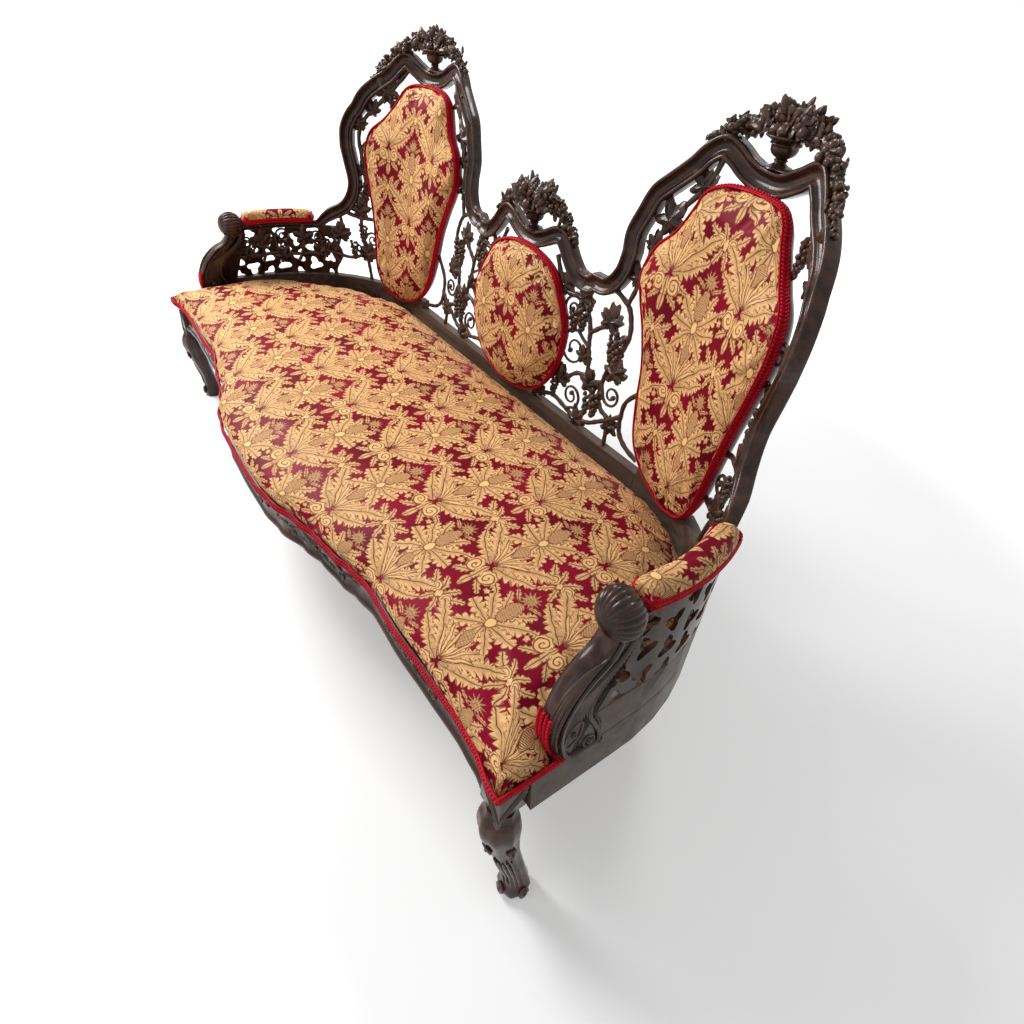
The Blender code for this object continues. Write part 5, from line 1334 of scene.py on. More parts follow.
def bunch(rng, count=24):
    """Places and sizes of the grapes of a hanging bunch, one unit long each way from its middle."""
    places = []
    sizes = []
    for index in range(count):
        down = (index + 0.5) / count
        width = 0.44 * math.sin(math.pi * (0.28 + 0.72 * down)) ** 0.7 * (1.1 - 0.5 * down)
        angle = index * GOLDEN_TURN
        places.append((width * math.cos(angle) + rng.normal(0, 0.03),
                       1.00 - 2.15 * down + rng.normal(0, 0.03),
                       0.55 * width * math.sin(angle)))
        sizes.append(0.205 + rng.normal(0, 0.015))
    return np.array(places), np.array(sizes)

# %% [markdown]
# The openwork between the medallions is a grapevine, pierced with a fret saw and carved on its
# front. Its pattern is drawn flat, as shares of a lobe's run and of the openwork's height: stems,
# tendrils that curl into a berry, leaves (run, height, size, turn) and bunches (run, height, size).

# %% Pattern of the vines
VINE_RISE = DIP_HEIGHT + LOBE_RISE - BASE_TOP
ARM_VINE_RISE = ARM_RAIL_HEIGHT - BASE_TOP
STEM_RADIUS = 0.0058
LEAF_SIZE = 0.084
GRAPE_SIZE = 0.032
INNER_STEMS = [
    [(0.530, 0.535), (0.606, 0.507), (0.639, 0.471), (0.657, 0.415), (0.642, 0.354), (0.600, 0.286),
     (0.587, 0.218), (0.589, 0.155), (0.618, 0.117), (0.668, 0.096), (0.684, 0.014), (0.69, 0.002)],
    [(0.360, 0.545), (0.382, 0.468), (0.435, 0.401), (0.455, 0.357), (0.466, 0.308), (0.484, 0.267),
     (0.505, 0.197), (0.587, 0.215)],
    [(0.185, 0.560), (0.225, 0.500), (0.27, 0.458), (0.319, 0.455), (0.382, 0.468)],
    [(0.169, 0.002), (0.246, 0.030), (0.321, 0.048), (0.409, 0.032), (0.477, 0.024), (0.558, 0.035),
     (0.620, 0.068), (0.668, 0.096)],
    [(0.830, 0.290), (0.743, 0.210), (0.734, 0.142), (0.750, 0.085), (0.80, 0.05), (0.88, 0.03)],
    [(0.668, 0.096), (0.734, 0.142)],
    [(0.300, 0.145), (0.360, 0.140), (0.430, 0.190), (0.512, 0.205)],
    [(0.606, 0.507), (0.624, 0.56), (0.636, 0.64), (0.664, 0.745), (0.72, 0.825), (0.79, 0.905),
     (0.815, 0.985)],
    [(0.455, 0.357), (0.50, 0.39), (0.55, 0.42)],
    [(0.600, 0.286), (0.650, 0.283), (0.70, 0.28)],
    [(0.435, 0.401), (0.385, 0.400), (0.352, 0.430)],
]
INNER_TENDRILS = [(0.466, 0.308, 0.385, 0.272, 0.045), (0.382, 0.468, 0.335, 0.405, 0.030),
                  (0.636, 0.640, 0.690, 0.625, 0.028), (0.409, 0.032, 0.430, 0.095, 0.030),
                  (0.587, 0.215, 0.655, 0.190, 0.026)]
INNER_LEAVES = [
    (0.385, 0.462, 0.90, 0.4), (0.550, 0.430, 1.0, -0.2), (0.640, 0.270, 1.0, 0.3),
    (0.345, 0.137, 0.96, 0.2), (0.520, 0.178, 0.98, 0.1), (0.494, 0.022, 0.90, 0.5),
    (0.690, 0.785, 1.07, 0.5), (0.775, 0.895, 0.80, 0.9), (0.62, 0.60, 0.85, -0.5),
    (0.69, 0.08, 0.8, 0.9), (0.27, 0.475, 0.8, -0.7), (0.452, 0.262, 0.75, 0.2),
    (0.655, 0.705, 0.75, -0.3), (0.23, 0.03, 0.6, 0.7),
]
INNER_BUNCHES = [(0.400, 0.405, 1.0), (0.622, 0.355, 1.07), (0.575, 0.130, 1.0),
                 (0.352, 0.375, 0.85), (0.589, 0.350, 0.85), (0.53, 0.11, 0.85), (0.31, 0.09, 0.8)]
OUTER_STEMS = [
    [(1.13, 0.985), (1.205, 0.915), (1.29, 0.84), (1.385, 0.76), (1.42, 0.69), (1.41, 0.60),
     (1.395, 0.50), (1.405, 0.42), (1.43, 0.33), (1.42, 0.22), (1.39, 0.10), (1.37, 0.0)],
    [(1.28, 0.30), (1.35, 0.33), (1.43, 0.33), (1.51, 0.345)],
    [(1.28, 0.16), (1.34, 0.15), (1.41, 0.16)],
]
OUTER_TENDRILS = [(1.41, 0.60, 1.36, 0.64, 0.022), (1.42, 0.22, 1.36, 0.235, 0.022)]
OUTER_LEAVES = [
    (1.265, 0.875, 1.07, -0.6), (1.415, 0.735, 0.75, -0.2), (1.405, 0.545, 0.82, 0.1),
    (1.43, 0.36, 1.07, 0.0), (1.395, 0.16, 1.0, 0.3), (1.34, 0.80, 0.7, 0.4),
]
OUTER_BUNCHES = [(1.40, 0.45, 1.0), (1.42, 0.26, 0.8), (1.23, 0.83, 0.7)]
ARM_STEMS = [
    [(1.40, 0.571), (1.51, 0.464), (1.65, 0.535), (1.80, 0.464), (1.94, 0.499), (2.07, 0.464),
     (2.20, 0.499), (2.30, 0.571)],
    [(2.02, 1.0), (2.03, 0.785), (2.02, 0.464), (2.035, 0.36)],
    [(1.78, 1.0), (1.77, 0.820), (1.80, 0.464), (1.82, 0.36)],
    [(1.43, 1.177), (1.51, 1.230), (1.55, 1.212), (1.55, 0.963), (1.58, 0.678), (1.60, 0.499),
     (1.58, 0.36)],
]
ARM_TENDRILS = [(1.65, 0.535, 1.70, 0.78, 0.022), (1.94, 0.499, 1.90, 0.80, 0.024),
                (2.07, 0.464, 2.12, 0.72, 0.022)]
ARM_LEAVES = [
    (1.78, 0.767, 1.0, 0.1), (2.02, 0.731, 0.93, -0.2), (1.91, 0.446, 0.93, 0.6),
    (1.69, 0.481, 0.90, -0.4), (1.555, 0.856, 1.0, 0.2), (2.13, 0.50, 0.75, 0.3),
]
ARM_BUNCHES = [(1.655, 0.606, 0.87), (1.90, 0.571, 0.87), (1.48, 0.62, 0.8), (2.09, 0.60, 0.7)]


def tendril(start, end, radius, turns=1.35, steps=26):
    """A stem that leaves its start and curls round its end, drawn flat."""
    first = math.atan2(*(start - end)[::-1])
    curl = []
    for step in range(steps):
        share = step / (steps - 1)
        angle = first + 1.1 + turns * 2 * math.pi * share
        reach = radius * (1.0 - 0.72 * share)
        curl.append(end + reach * np.array([math.cos(angle), math.sin(angle)]))
    run_in = smooth_line([start, (start * 0.45 + curl[0] * 0.55), curl[0], curl[2]], 5)[:-3]
    return np.vstack([run_in, curl])


def carved_vine(name, stems, tendrils, leaves, bunches, rise, seed):
    """Stems, curls, leaves and grapes of one panel, as one carving bent on to the back."""
    rng = np.random.default_rng(seed)

    def place(run, up):
        return np.array([run * LOBE_RUN, BASE_TOP + up * rise])

    items = []
    for number, stem in enumerate(stems):
        line = smooth_line([place(*share) for share in stem], 6)
        depth = STEM_RADIUS * 0.2 * (number % 3 - 1)
        radii = STEM_RADIUS * (1.0 + 0.10 * np.sin(np.arange(len(line)) * 1.7))
        items.append(tube("stem", lifted(line, depth), radii, 8, 0.85))
    balls = []
    ball_sizes = []
    for run, up, end_run, end_up, radius in tendrils:
        line = tendril(place(run, up), place(end_run, end_up), radius)
        radii = np.linspace(STEM_RADIUS * 0.75, STEM_RADIUS * 0.45, len(line))
        items.append(tube("curl", lifted(line, 0.001), radii, 6))
        balls.append((*line[-1], 0.001))
        ball_sizes.append(STEM_RADIUS * 1.15)
    for run, up, share in bunches:
        grapes, sizes = bunch(rng)
        length = share * GRAPE_SIZE
        centre = place(run, up)
        balls += [(*(centre + grape[:2] * length), grape[2] * length * 0.8) for grape in grapes]
        ball_sizes += list(sizes * length)
    items.append(place_copies("grapes", BALL, balls, ball_sizes))
    places = []
    turns = []
    sizes = []
    for run, up, share, turn in leaves:
        for face in (0.0, math.pi):
            places.append((*place(run, up), 0.0015 if face == 0.0 else -0.0005))
            turns.append((rng.uniform(-0.15, 0.15), face, turn if face == 0.0 else -turn))
            reach = share * LEAF_SIZE * 0.52
            sizes.append((reach, reach, reach * (0.62 if face == 0.0 else 0.25)))
    items.append(place_copies("leaves", VINE_LEAF, places, sizes, turns))
    return bend(joined(name, items, 60))


for stem, pattern in {
        "vine_inner": (INNER_STEMS, INNER_TENDRILS, INNER_LEAVES, INNER_BUNCHES, VINE_RISE, 3),
        "vine_outer": (OUTER_STEMS, OUTER_TENDRILS, OUTER_LEAVES, OUTER_BUNCHES, VINE_RISE, 5),
        "vine_arm": (ARM_STEMS, ARM_TENDRILS, ARM_LEAVES, ARM_BUNCHES, ARM_VINE_RISE, 7)}.items():
    carving = carved_vine("carved_" + stem, *pattern)
    show_pair(carving, ROSEWOOD_CARVED, "rosewood", stem)
    print(stem, "carved with", len(carving.data.polygons), "faces")

# %% [markdown]
# Each lobe carries a turned urn in its hollow, heaped with fruit, flowers and leaves. Garlands of
# fruit hang from the heap over the shoulders of the lobe. The urn is a turned profile. Everything in
# the heap is placed by a seeded draw, so that no two look alike and every run gives the same heap.

# %% Urns
URN_RIM = 0.034
URN_HEIGHT = 0.045
TALL_RAIL_TOP = DIP_HEIGHT + 0.899 * LOBE_RISE + RAIL_WIDTH / 2
CENTRE_RAIL_TOP = DIP_HEIGHT + 0.56 * CENTRE_RISE + RAIL_WIDTH / 2
URN_PROFILE = [
    (0.0, 0.0), (0.62, 0.0), (0.66, 0.03), (0.62, 0.07), (0.50, 0.09), (0.34, 0.15), (0.27, 0.21),
    (0.33, 0.25), (0.33, 0.28), (0.26, 0.31), (0.38, 0.36), (0.55, 0.45), (0.63, 0.57), (0.66, 0.70),
    (0.74, 0.74), (0.72, 0.78), (0.70, 0.80), (0.86, 0.87), (1.0, 0.93), (1.02, 0.97), (0.98, 1.0),
    (0.80, 1.0), (0.0, 0.97),
]


def make_urn(name, run, rail_top):
    profile = smooth_line(URN_PROFILE, 3) * (URN_RIM, URN_HEIGHT)
    profile[0, 0] = profile[-1, 0] = URN_RIM * 0.02
    urn = turned(name, profile, 40)
    place = on_back([(run, rail_top + 0.0006, 0.0)])[0]
    urn.data.transform(Matrix.Translation(place))
    return urn


show(make_urn("turned_urn_centre", 0.0, CENTRE_RAIL_TOP), ROSEWOOD_UPRIGHT, "rosewood", "urn_centre")
show_pair(make_urn("turned_urn", LOBE_RUN, TALL_RAIL_TOP), ROSEWOOD_UPRIGHT, "rosewood", "urn")

# %% Bouquets and garlands
GARLAND_RADIUS = 0.0195
INNER_GARLAND = [(-0.02, 1.165), (-0.16, 1.150), (-0.30, 1.110), (-0.42, 1.075), (-0.54, 0.985)]
OUTER_GARLAND = [(0.02, 1.165), (0.16, 1.150), (0.30, 1.110), (0.42, 1.060), (0.53, 0.975),
                 (0.62, 0.890), (0.69, 0.825)]
CENTRE_GARLAND = [(0.05, 1.95), (0.26, 1.90), (0.44, 1.62), (0.60, 1.30), (0.73, 0.90)]


def copies_of(name, shape, rows):
    places, turns, sizes = zip(*rows)
    return place_copies(name, shape, places, sizes, turns)


def flower(rng, place, size):
    """Places, turns and sizes of the petals of an open flower that faces the front."""
    petals = []
    for ring, (count, reach) in enumerate(((6, 1.0), (5, 0.62))):
        for number in range(count):
            angle = 2 * math.pi * (number + 0.5 * ring) / count + rng.uniform(-0.1, 0.1)
            outer = size * reach * 0.55
            spot = (place[0] - outer * math.sin(angle), place[1] + outer * math.cos(angle),
                    place[2] + size * 0.22 * ring)
            petals.append((spot, (0.35 + 0.35 * ring, 0.0, angle), size * reach * 0.62))
    return petals


LARGE_FRUIT = [(0.0, 0.22, 0.10, 0.34), (-0.48, 0.20, 0.05, 0.25), (0.48, 0.22, 0.05, 0.26),
               (-0.26, 0.50, 0.05, 0.22), (0.28, 0.50, 0.02, 0.24), (0.0, 0.10, 0.38, 0.20)]
FRUIT_COUNT = 46
LEAF_COUNT = 34
GARLAND_STEPS = 34
WIDE = 1.30                # a heap is this much wider than high
REAR_SHARE = 0.40          # and this much flatter behind than in front


def ahead_of(share):
    return max(share, REAR_SHARE * share)


def heap_of_fruit(name, run, low, size, garlands, seed):
    """Fruit, leaves and petals, each as (place, turn, size), drawn at random round a few large ones."""
    rng = np.random.default_rng(seed)
    upright = (0.0, 0.0, 0.0)
    fruit = []
    leaves = []
    petals = []
    for aside, up, ahead, radius in LARGE_FRUIT:
        place = (run + aside * WIDE * size, low + up * size, ahead * size)
        fruit.append((place, upright, radius * size))
    for number in range(FRUIT_COUNT):
        angle = rng.uniform(0.0, math.pi)
        reach = size * rng.uniform(0.45, 0.72)
        place = (run + WIDE * reach * math.cos(angle), low + reach * math.sin(angle) * 0.8 + 0.004,
                 ahead_of(rng.uniform(-0.5, 0.5)) * size)
        fruit.append((place, upright, size * rng.uniform(0.09, 0.17)))
    for number in range(LEAF_COUNT):
        angle = math.pi * (number + 0.5) / LEAF_COUNT + rng.uniform(-0.1, 0.1)
        reach = size * rng.uniform(0.50, 0.80)
        leaves.append(((run + WIDE * reach * math.cos(angle), low + reach * math.sin(angle) * 0.80,
                        ahead_of(rng.uniform(-0.5, 0.5)) * size),
                       (rng.uniform(-0.7, 0.5), rng.uniform(-0.6, 0.6), angle - math.pi / 2),
                       size * rng.uniform(0.28, 0.44)))
    for aside, up, reach in ((0.0, 0.26, 0.42), (-0.44, 0.34, 0.34), (0.46, 0.36, 0.34)):
        place = (run + aside * WIDE * size, low + up * size, 0.36 * size)
        petals += flower(rng, place, reach * size)
    for garland in garlands:
        for number, place in enumerate(even_line(smooth_line(garland, 6), GARLAND_STEPS)):
            share = number / (GARLAND_STEPS - 1)
            radius = GARLAND_RADIUS * (1.0 - 0.52 * share) * (1.0 + 0.15 * math.sin(number * 2.1))
            for _ in range(4):
                aside, up, ahead = rng.normal(0, radius * 0.36, 3)
                fruit.append(((place[0] + aside, place[1] + up, ahead + radius * 0.1), upright,
                              radius * rng.uniform(0.30, 0.52)))
            for _ in range(2):
                spot = (*(place + rng.normal(0, radius * 0.45, 2)), rng.uniform(-0.7, 0.9) * radius)
                turn = (rng.uniform(-0.4, 0.4), rng.uniform(-0.4, 0.4), rng.uniform(-math.pi, math.pi))
                leaves.append((spot, turn, radius * rng.uniform(0.7, 1.15)))
    return bend(joined(name, [copies_of(*group) for group in (
        ("fruit", BALL, fruit), ("leaves", POINTED_LEAF, leaves), ("petals", PETAL, petals))], 60))


HEAP_LOW = URN_HEIGHT + 0.0009
garlands = [[lobe_place(*share) for share in line] for line in (INNER_GARLAND, OUTER_GARLAND)]
bouquet = heap_of_fruit("carved_bouquet", LOBE_RUN, TALL_RAIL_TOP + HEAP_LOW, 0.054, garlands, 11)
show_pair(bouquet, ROSEWOOD_CARVED, "rosewood", "bouquet")
garlands = [[(side * run * CENTRE_HALF_RUN, DIP_HEIGHT + rise * CENTRE_RISE)
             for run, rise in CENTRE_GARLAND] for side in (-1, 1)]
bouquet = heap_of_fruit("carved_bouquet_middle", 0.0, CENTRE_RAIL_TOP + HEAP_LOW, 0.070, garlands, 13)
show(bouquet, ROSEWOOD_CARVED, "rosewood", "bouquet_centre")
print("three heaps, the middle one of", len(bouquet.data.polygons), "faces")

# %% [markdown]
# ## Arms
# The front of each arm is an S-shaped board that ends in a round knob. Its two flat faces are framed
# by a raised band that follows the edge. The board is an outline with several rings drawn inwards
# from it: a rounded edge, the band, a groove, and the sunk face inside.

# %% Outline of the arm support
SUPPORT_THICKNESS = 0.046
KNOB_RADIUS = 0.036
KNOB_RUN = SUPPORT_REAR + 0.030
KNOB_HEIGHT = ARM_RAIL_HEIGHT + 0.010
SUPPORT_LOW = SEAT_RAIL_TOP + 0.0003
SUPPORT_SHARES = [
    (-0.05, 0.93), (-0.05, 0.89), (0.0, 0.83), (0.172, 0.695), (0.434, 0.534), (0.517, 0.40),
    (0.448, 0.29), (0.36, 0.16), (0.34, 0.0), (0.828, 0.0), (0.945, 0.10),
    (1.0, 0.26), (0.966, 0.412), (0.828, 0.578), (0.621, 0.708), (0.42, 0.79), (0.345, 0.87),
    (0.345, 0.93),
]
SUPPORT_RISE = KNOB_HEIGHT - SUPPORT_LOW


def support_outline():
    places = [(SUPPORT_REAR + deep * SUPPORT_DEPTH, SUPPORT_LOW + up * SUPPORT_RISE)
              for deep, up in SUPPORT_SHARES]
    rear = smooth_line(places[:9], 5)
    front = smooth_line(places[9:], 5)
    return even_line(np.vstack([rear, front, rear[:1]]), 121)[:-1]


def drawn_in(outline, distance):
    """A closed outline moved inwards; anticlockwise outlines have their inside on the left."""
    (x, y), (next_x, next_y) = outline.T, np.roll(outline, -1, axis=0).T
    area = np.sum(x * next_y - next_x * y)
    return outline + line_normals(outline, True) * (distance if area > 0 else -distance)


def on_support(across, up):
    """A place on the flat of a support, from its rear edge, 0, to its front edge, 1."""
    ups = [share[1] for share in SUPPORT_SHARES]
    rear = np.interp(up, ups[8:1:-1], [share[0] for share in SUPPORT_SHARES[8:1:-1]])
    front = np.interp(up, ups[9:17], [share[0] for share in SUPPORT_SHARES[9:17]])
    deep = rear + (front - rear) * across
    return SUPPORT_REAR + deep * SUPPORT_DEPTH, SUPPORT_LOW + up * SUPPORT_RISE


def ring_line(centre, wide, high, tilt=0.0, steps=20, pointed=1.0):
    """A closed oval or almond round a place."""
    points = []
    for step in range(steps + 1):
        angle = 2 * math.pi * step / steps
        x = wide * math.cos(angle)
        y = high * math.copysign(abs(math.sin(angle)) ** pointed, math.sin(angle))
        points.append((centre[0] + x * math.cos(tilt) - y * math.sin(tilt),
                       centre[1] + x * math.sin(tilt) + y * math.cos(tilt)))
    return np.array(points)


REEDS = 8


def carved_face(depth):
    """Carving on one face of a support: long acanthus reeds, a chain of beads, and two eyes."""
    items = []
    for reed in range(REEDS):
        share = reed / (REEDS - 1)
        line = np.array([on_support(0.24 + 0.62 * share * part ** 0.8 + 0.05 * math.sin(3 * part),
                                    0.80 - 0.02 * reed - (0.44 - 0.26 * share) * part)
                         for part in np.linspace(0.0, 1.0, 14)])
        radii = 0.0030 * np.sin(np.linspace(0.35, math.pi * 0.93, 14)) + 0.0004
        items.append(tube("reed", lifted(line, depth), radii, 6))
    upper, lower = on_support(0.60, 0.26), on_support(0.34, 0.10)
    for line, radius in ((ring_line(upper, 0.014, 0.024, 0.5, pointed=1.3), 0.0020),
                         (ring_line(lower, 0.0105, 0.0105), 0.0022)):
        items.append(tube("eye", lifted(line, depth), radius, 6))
    chain = [on_support(0.10, up) for up in np.linspace(0.80, 0.50, 15)]
    sizes = [*(0.0034 - 0.0001 * number for number in range(15)), 0.0052, 0.0056]
    return [*items, place_copies("beads", BALL, lifted([*chain, upper, lower], depth), sizes)]


EDGE_ROUND = 0.0045        # the rounded edge of the board ends this far in
EDGE_DEPTHS = (0.0, 0.0069, 0.0143, 0.0184)
EDGE_INSETS = (0.0, 0.0, 0.0012, EDGE_ROUND)
REED_ENDS = (-0.0170, -0.0115, -0.0060, -0.0005)


def edge_reeds():
    """Acanthus reeds that spread from the knob down the outer half of the front edge."""
    outline = support_outline()
    inner = drawn_in(outline, EDGE_ROUND)
    up = (outline[:, 1] - SUPPORT_LOW) / SUPPORT_RISE
    front = [index for index in np.argsort(-up)
             if 0.16 < up[index] < 0.80 and outline[index, 0] > on_support(0.5, up[index])[0]]
    items = []
    for number, end in enumerate(REED_ENDS):
        kept = front[number:len(front) - 3 * number]
        depth = REED_ENDS[0] + (end - REED_ENDS[0]) * np.linspace(0.0, 1.0, len(kept)) ** 0.7
        inset = np.interp(np.abs(depth), EDGE_DEPTHS, EDGE_INSETS)
        line = outline[kept] + (inner[kept] - outline[kept]) * (inset / EDGE_ROUND)[:, None]
        radii = 0.0031 * np.sin(np.linspace(0.30, math.pi * 0.95, len(kept))) + 0.0004
        items.append(tube("reed", np.column_stack([line, depth]), radii, 8))
    return items


def framed_board(name, outline, half, band, sunk):
    """A board with rounded edges and, on both faces, a raised band round a sunk face."""
    rings = [(0.0, half * 0.30), (0.0012, half * 0.62), (0.0045, half * 0.80), (0.0075, half * 0.72),
             (0.0085, half), (0.0085 + band * 0.5, half * 1.0), (0.0085 + band, half * 0.95),
             (0.0095 + band, half - sunk), (0.0135 + band, half - sunk * 0.75)]
    loops = [lifted(drawn_in(outline, inset), depth) for inset, depth in rings]
    return ringed(name, [*(loop * (1.0, 1.0, -1.0) for loop in reversed(loops)), *loops], 35)


def reeded_knob():
    """A melon with deep reeds that run from its front boss to the back."""
    profile = []
    for angle in np.linspace(0.0, math.pi, 17):
        profile.append((KNOB_RADIUS * 0.96 * max(0.02, math.sin(angle)), -KNOB_RADIUS * math.cos(angle)))
    knob = turned("knob", profile, 126, 0.070, 21)
    points = read_points(knob)
    write_points(knob, points[:, [2, 0, 1]] * (0.98, 1.0, 1.0) + (KNOB_RUN, KNOB_HEIGHT, 0.0))
    return outward(knob)


BAND_WIDTH = 0.006
BAND_RISE = 0.0045
CARVING_SINK = 0.0035      # how deep the middle of the carving lies below the band
support_half = SUPPORT_THICKNESS / 2
support = joined("carved_support", [
    framed_board("board", support_outline(), support_half, BAND_WIDTH, BAND_RISE),
    reeded_knob(), *edge_reeds(),
    *carved_face(support_half - CARVING_SINK), *carved_face(CARVING_SINK - support_half)], 35)
show_pair(bend(support), ROSEWOOD_UPRIGHT, "rosewood", "arm_support")
print("arm supports of", len(support.data.polygons), "faces")

# %% Arm pads
ARM_PAD_END = KNOB_RUN - KNOB_RADIUS - 0.0006
ARM_PAD_LOW = ARM_RAIL_HEIGHT + ARM_RAIL_WIDTH / 2 + 0.0006
ARM_PAD_HALF = 0.024
ARM_PAD_HIGH = 0.036
ARM_VOXEL = 0.004
ARM_SWELL = 0.002
ARM_SECTION = [(-0.88, 0.0), (-1.0, 0.24), (-0.93, 0.62), (-0.66, 0.90), (-0.28, 1.0), (0.28, 1.0),
               (0.66, 0.90), (0.93, 0.62), (1.0, 0.24), (0.88, 0.0)]


def make_arm_pad():
    section = smooth_line(ARM_SECTION, 3)
    rings = []
    for share in np.linspace(0.0, 1.0, 25):
        full = 1.0 - 0.16 * abs(2 * share - 1) ** 6
        rings.append(np.column_stack([
            np.full(len(section), ARM_PAD_START + (ARM_PAD_END - ARM_PAD_START) * share),
            ARM_PAD_LOW + section[:, 1] * ARM_PAD_HIGH * full * 0.94,
            section[:, 0] * ARM_PAD_HALF * full * 0.94]))
    pad = stuffed(ringed("arm_cushion", rings, 180), ARM_VOXEL, ARM_SWELL,
                  lambda points: points[:, 1] < ARM_PAD_LOW + 0.003)
    return bend(lay_cloth(pad, 1, ARM_PAD_LOW + ARM_PAD_HIGH, (ARM_PAD_START, 0.0)))


for piece in show_pair(make_arm_pad(), DAMASK, "damask", "arm_pad"):
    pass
print("arm pads stuffed")

# %% [markdown]
# Behind its carved vine, each arm has a board that is sawn through with leaf-shaped openings. It is
# a flat filled curve: one outer outline, and one inner outline for each opening. A flat board has no
# points in the middle of its faces, so it is cut across every 15 mm before it is bent.

# %% Sawn boards of the arms
FRET_THICKNESS = 0.007
FRET_FRONT = -0.0085       # behind the stems of the vine
FRET_PITCH = 0.050
FRET_HOLE = 0.0290
FRET_WEB = 0.004           # least wood left round an opening
FRET_WAVE = 0.012          # how far the rear end of the board swings
FRET_START = ARM_TURN_RUN - 0.012
FRET_END_SHARES = [(0.0, 0.40), (0.10, 0.44), (0.28, 0.52), (0.45, 0.53), (0.65, 0.30), (0.92, 0.10)]
HOLE_LOBES = [(0.0, 1.0, 0.85), (1.9, 0.80, 0.80), (-1.9, 0.80, 0.80)]


def fret_hole(middle, size, turn):
    points = []
    for step in range(24):
        angle = 2 * math.pi * step / 24
        reach = leaf_radius(angle, HOLE_LOBES, 0.42, 0.0) * size
        points.append((reach * math.sin(angle + turn), reach * math.cos(angle + turn)))
    return np.array(points) + middle


def clear_of(hole, others, low, high):
    """Whether an opening leaves wood all round it."""
    up = (hole[:, 1] - low) / (high - low)
    front = SUPPORT_REAR + SUPPORT_DEPTH * np.interp(up, *zip(*FRET_END_SHARES))
    apart = min((np.linalg.norm(hole[:, None] - other, axis=2).min() for other in others), default=1.0)
    inside = low + FRET_WEB < hole[:, 1].min() and hole[:, 1].max() < high - FRET_WEB
    behind = hole[:, 0].min() > FRET_START + FRET_WAVE + FRET_WEB
    return apart > FRET_WEB and inside and behind and (hole[:, 0] < front - FRET_WEB).all()


def sawn_board(name):
    rng = np.random.default_rng(17)
    low, high = BASE_TOP - 0.002, ARM_RAIL_HEIGHT - 0.004
    runs = np.arange(FRET_START, SUPPORT_REAR, 0.015)
    end = [(SUPPORT_REAR + deep * SUPPORT_DEPTH, low + up * (high - low))
           for up, deep in FRET_END_SHARES]
    rear = [(FRET_START + FRET_WAVE * math.sin(part * 3 * math.pi), high + (low - high) * part)
            for part in np.linspace(0.06, 0.94, 18)]
    outlines = [[*[(run, low) for run in runs], *end, *[(run, high) for run in runs[::-1]], *rear]]
    columns = int((SUPPORT_REAR + 0.03 - FRET_START) / FRET_PITCH)
    holes = []
    for column in range(columns + 1):
        for row in range(3):
            shift = 0.25 if column % 2 else -0.25
            middle = (FRET_START + 0.030 + column * FRET_PITCH,
                      (low + high) / 2 + (row - 1 + shift) * FRET_PITCH * 1.06)
            for size in np.linspace(FRET_HOLE, FRET_HOLE * 0.6, 24):
                hole = fret_hole(middle, size, rng.uniform(-math.pi, math.pi))
                if clear_of(hole, holes, low, high):
                    holes.append(hole)
                    break
    outlines += holes
    curve = set_options(bpy.data.curves.new(name, "CURVE"), dimensions="2D", fill_mode="BOTH",
                        extrude=FRET_THICKNESS / 2)
    for outline in outlines:
        spline = curve.splines.new("POLY")
        spline.points.add(len(outline) - 1)
        spline.points.foreach_set("co", np.array([(x, y, 0.0, 1.0) for x, y in outline]).ravel())
        spline.use_cyclic_u = True
    item = evaluated(add_object(name, curve))
    shape = bmesh.new()
    shape.from_mesh(item.data)
    bmesh.ops.remove_doubles(shape, verts=shape.verts, dist=1e-6)
    for run in runs[1:]:
        bmesh.ops.bisect_plane(shape, geom=[*shape.verts, *shape.edges, *shape.faces],
                               plane_co=(run, 0.0, 0.0), plane_no=(1.0, 0.0, 0.0))
    shape.to_mesh(item.data)
    shape.free()
    write_points(item, read_points(item) + (0.0, 0.0, FRET_FRONT))
    item.data.shade_smooth()
    item.data.set_sharp_from_angle(angle=math.radians(35))
    print(len(holes), "openings in each sawn board")
    return bend(outward(item))


fret = sawn_board("sawn_arm_board")
show_pair(fret, ROSEWOOD_UPRIGHT, "rosewood")
print("sawn boards of", len(fret.data.polygons), "faces")

# %% [markdown]
# ## Seat frame
# The apron is a serpentine rail, hollowed along its face, with a bead along its lower edge. It is
# swept in plan. The front legs are carved cabrioles: a knee that swells outwards, a slim ankle and a
# scrolled foot, lofted from one squarish section.

# %% Apron
SEAT_RAIL_HEIGHT = SEAT_RAIL_TOP - SEAT_RAIL_LOW
APRON_SECTION = [(1.0, -1.0), (1.0, 1.0), (-0.96, 1.0), (-1.0, 0.94), (-0.99, 0.80), (-0.92, 0.62),
                 (-0.82, 0.35), (-0.76, 0.05), (-0.78, -0.25), (-0.88, -0.46), (-0.93, -0.50),
                 (-1.02, -0.56), (-1.20, -0.60), (-1.31, -0.68), (-1.33, -0.78), (-1.27, -0.88),
                 (-1.12, -0.95), (-1.0, -1.0)]


def make_apron():
    reach = POST_X - POST / 2 - 0.0003
    line = np.array([(x, front_y(x) + RAIL_BOARD / 2) for x in np.linspace(-reach, reach, 241)])
    normals = line_normals(line)
    normals[0] = normals[-1] = (0.0, 1.0)
    rings = swept(line, normals, np.asarray(APRON_SECTION), RAIL_BOARD / 2, SEAT_RAIL_HEIGHT / 2)
    middle = (0.0, back_shift, SEAT_RAIL_LOW + SEAT_RAIL_HEIGHT / 2)
    return ringed("serpentine_apron", rings + middle, 40)


show(make_apron(), ROSEWOOD_LEVEL, "rosewood", "seat_rail_front")

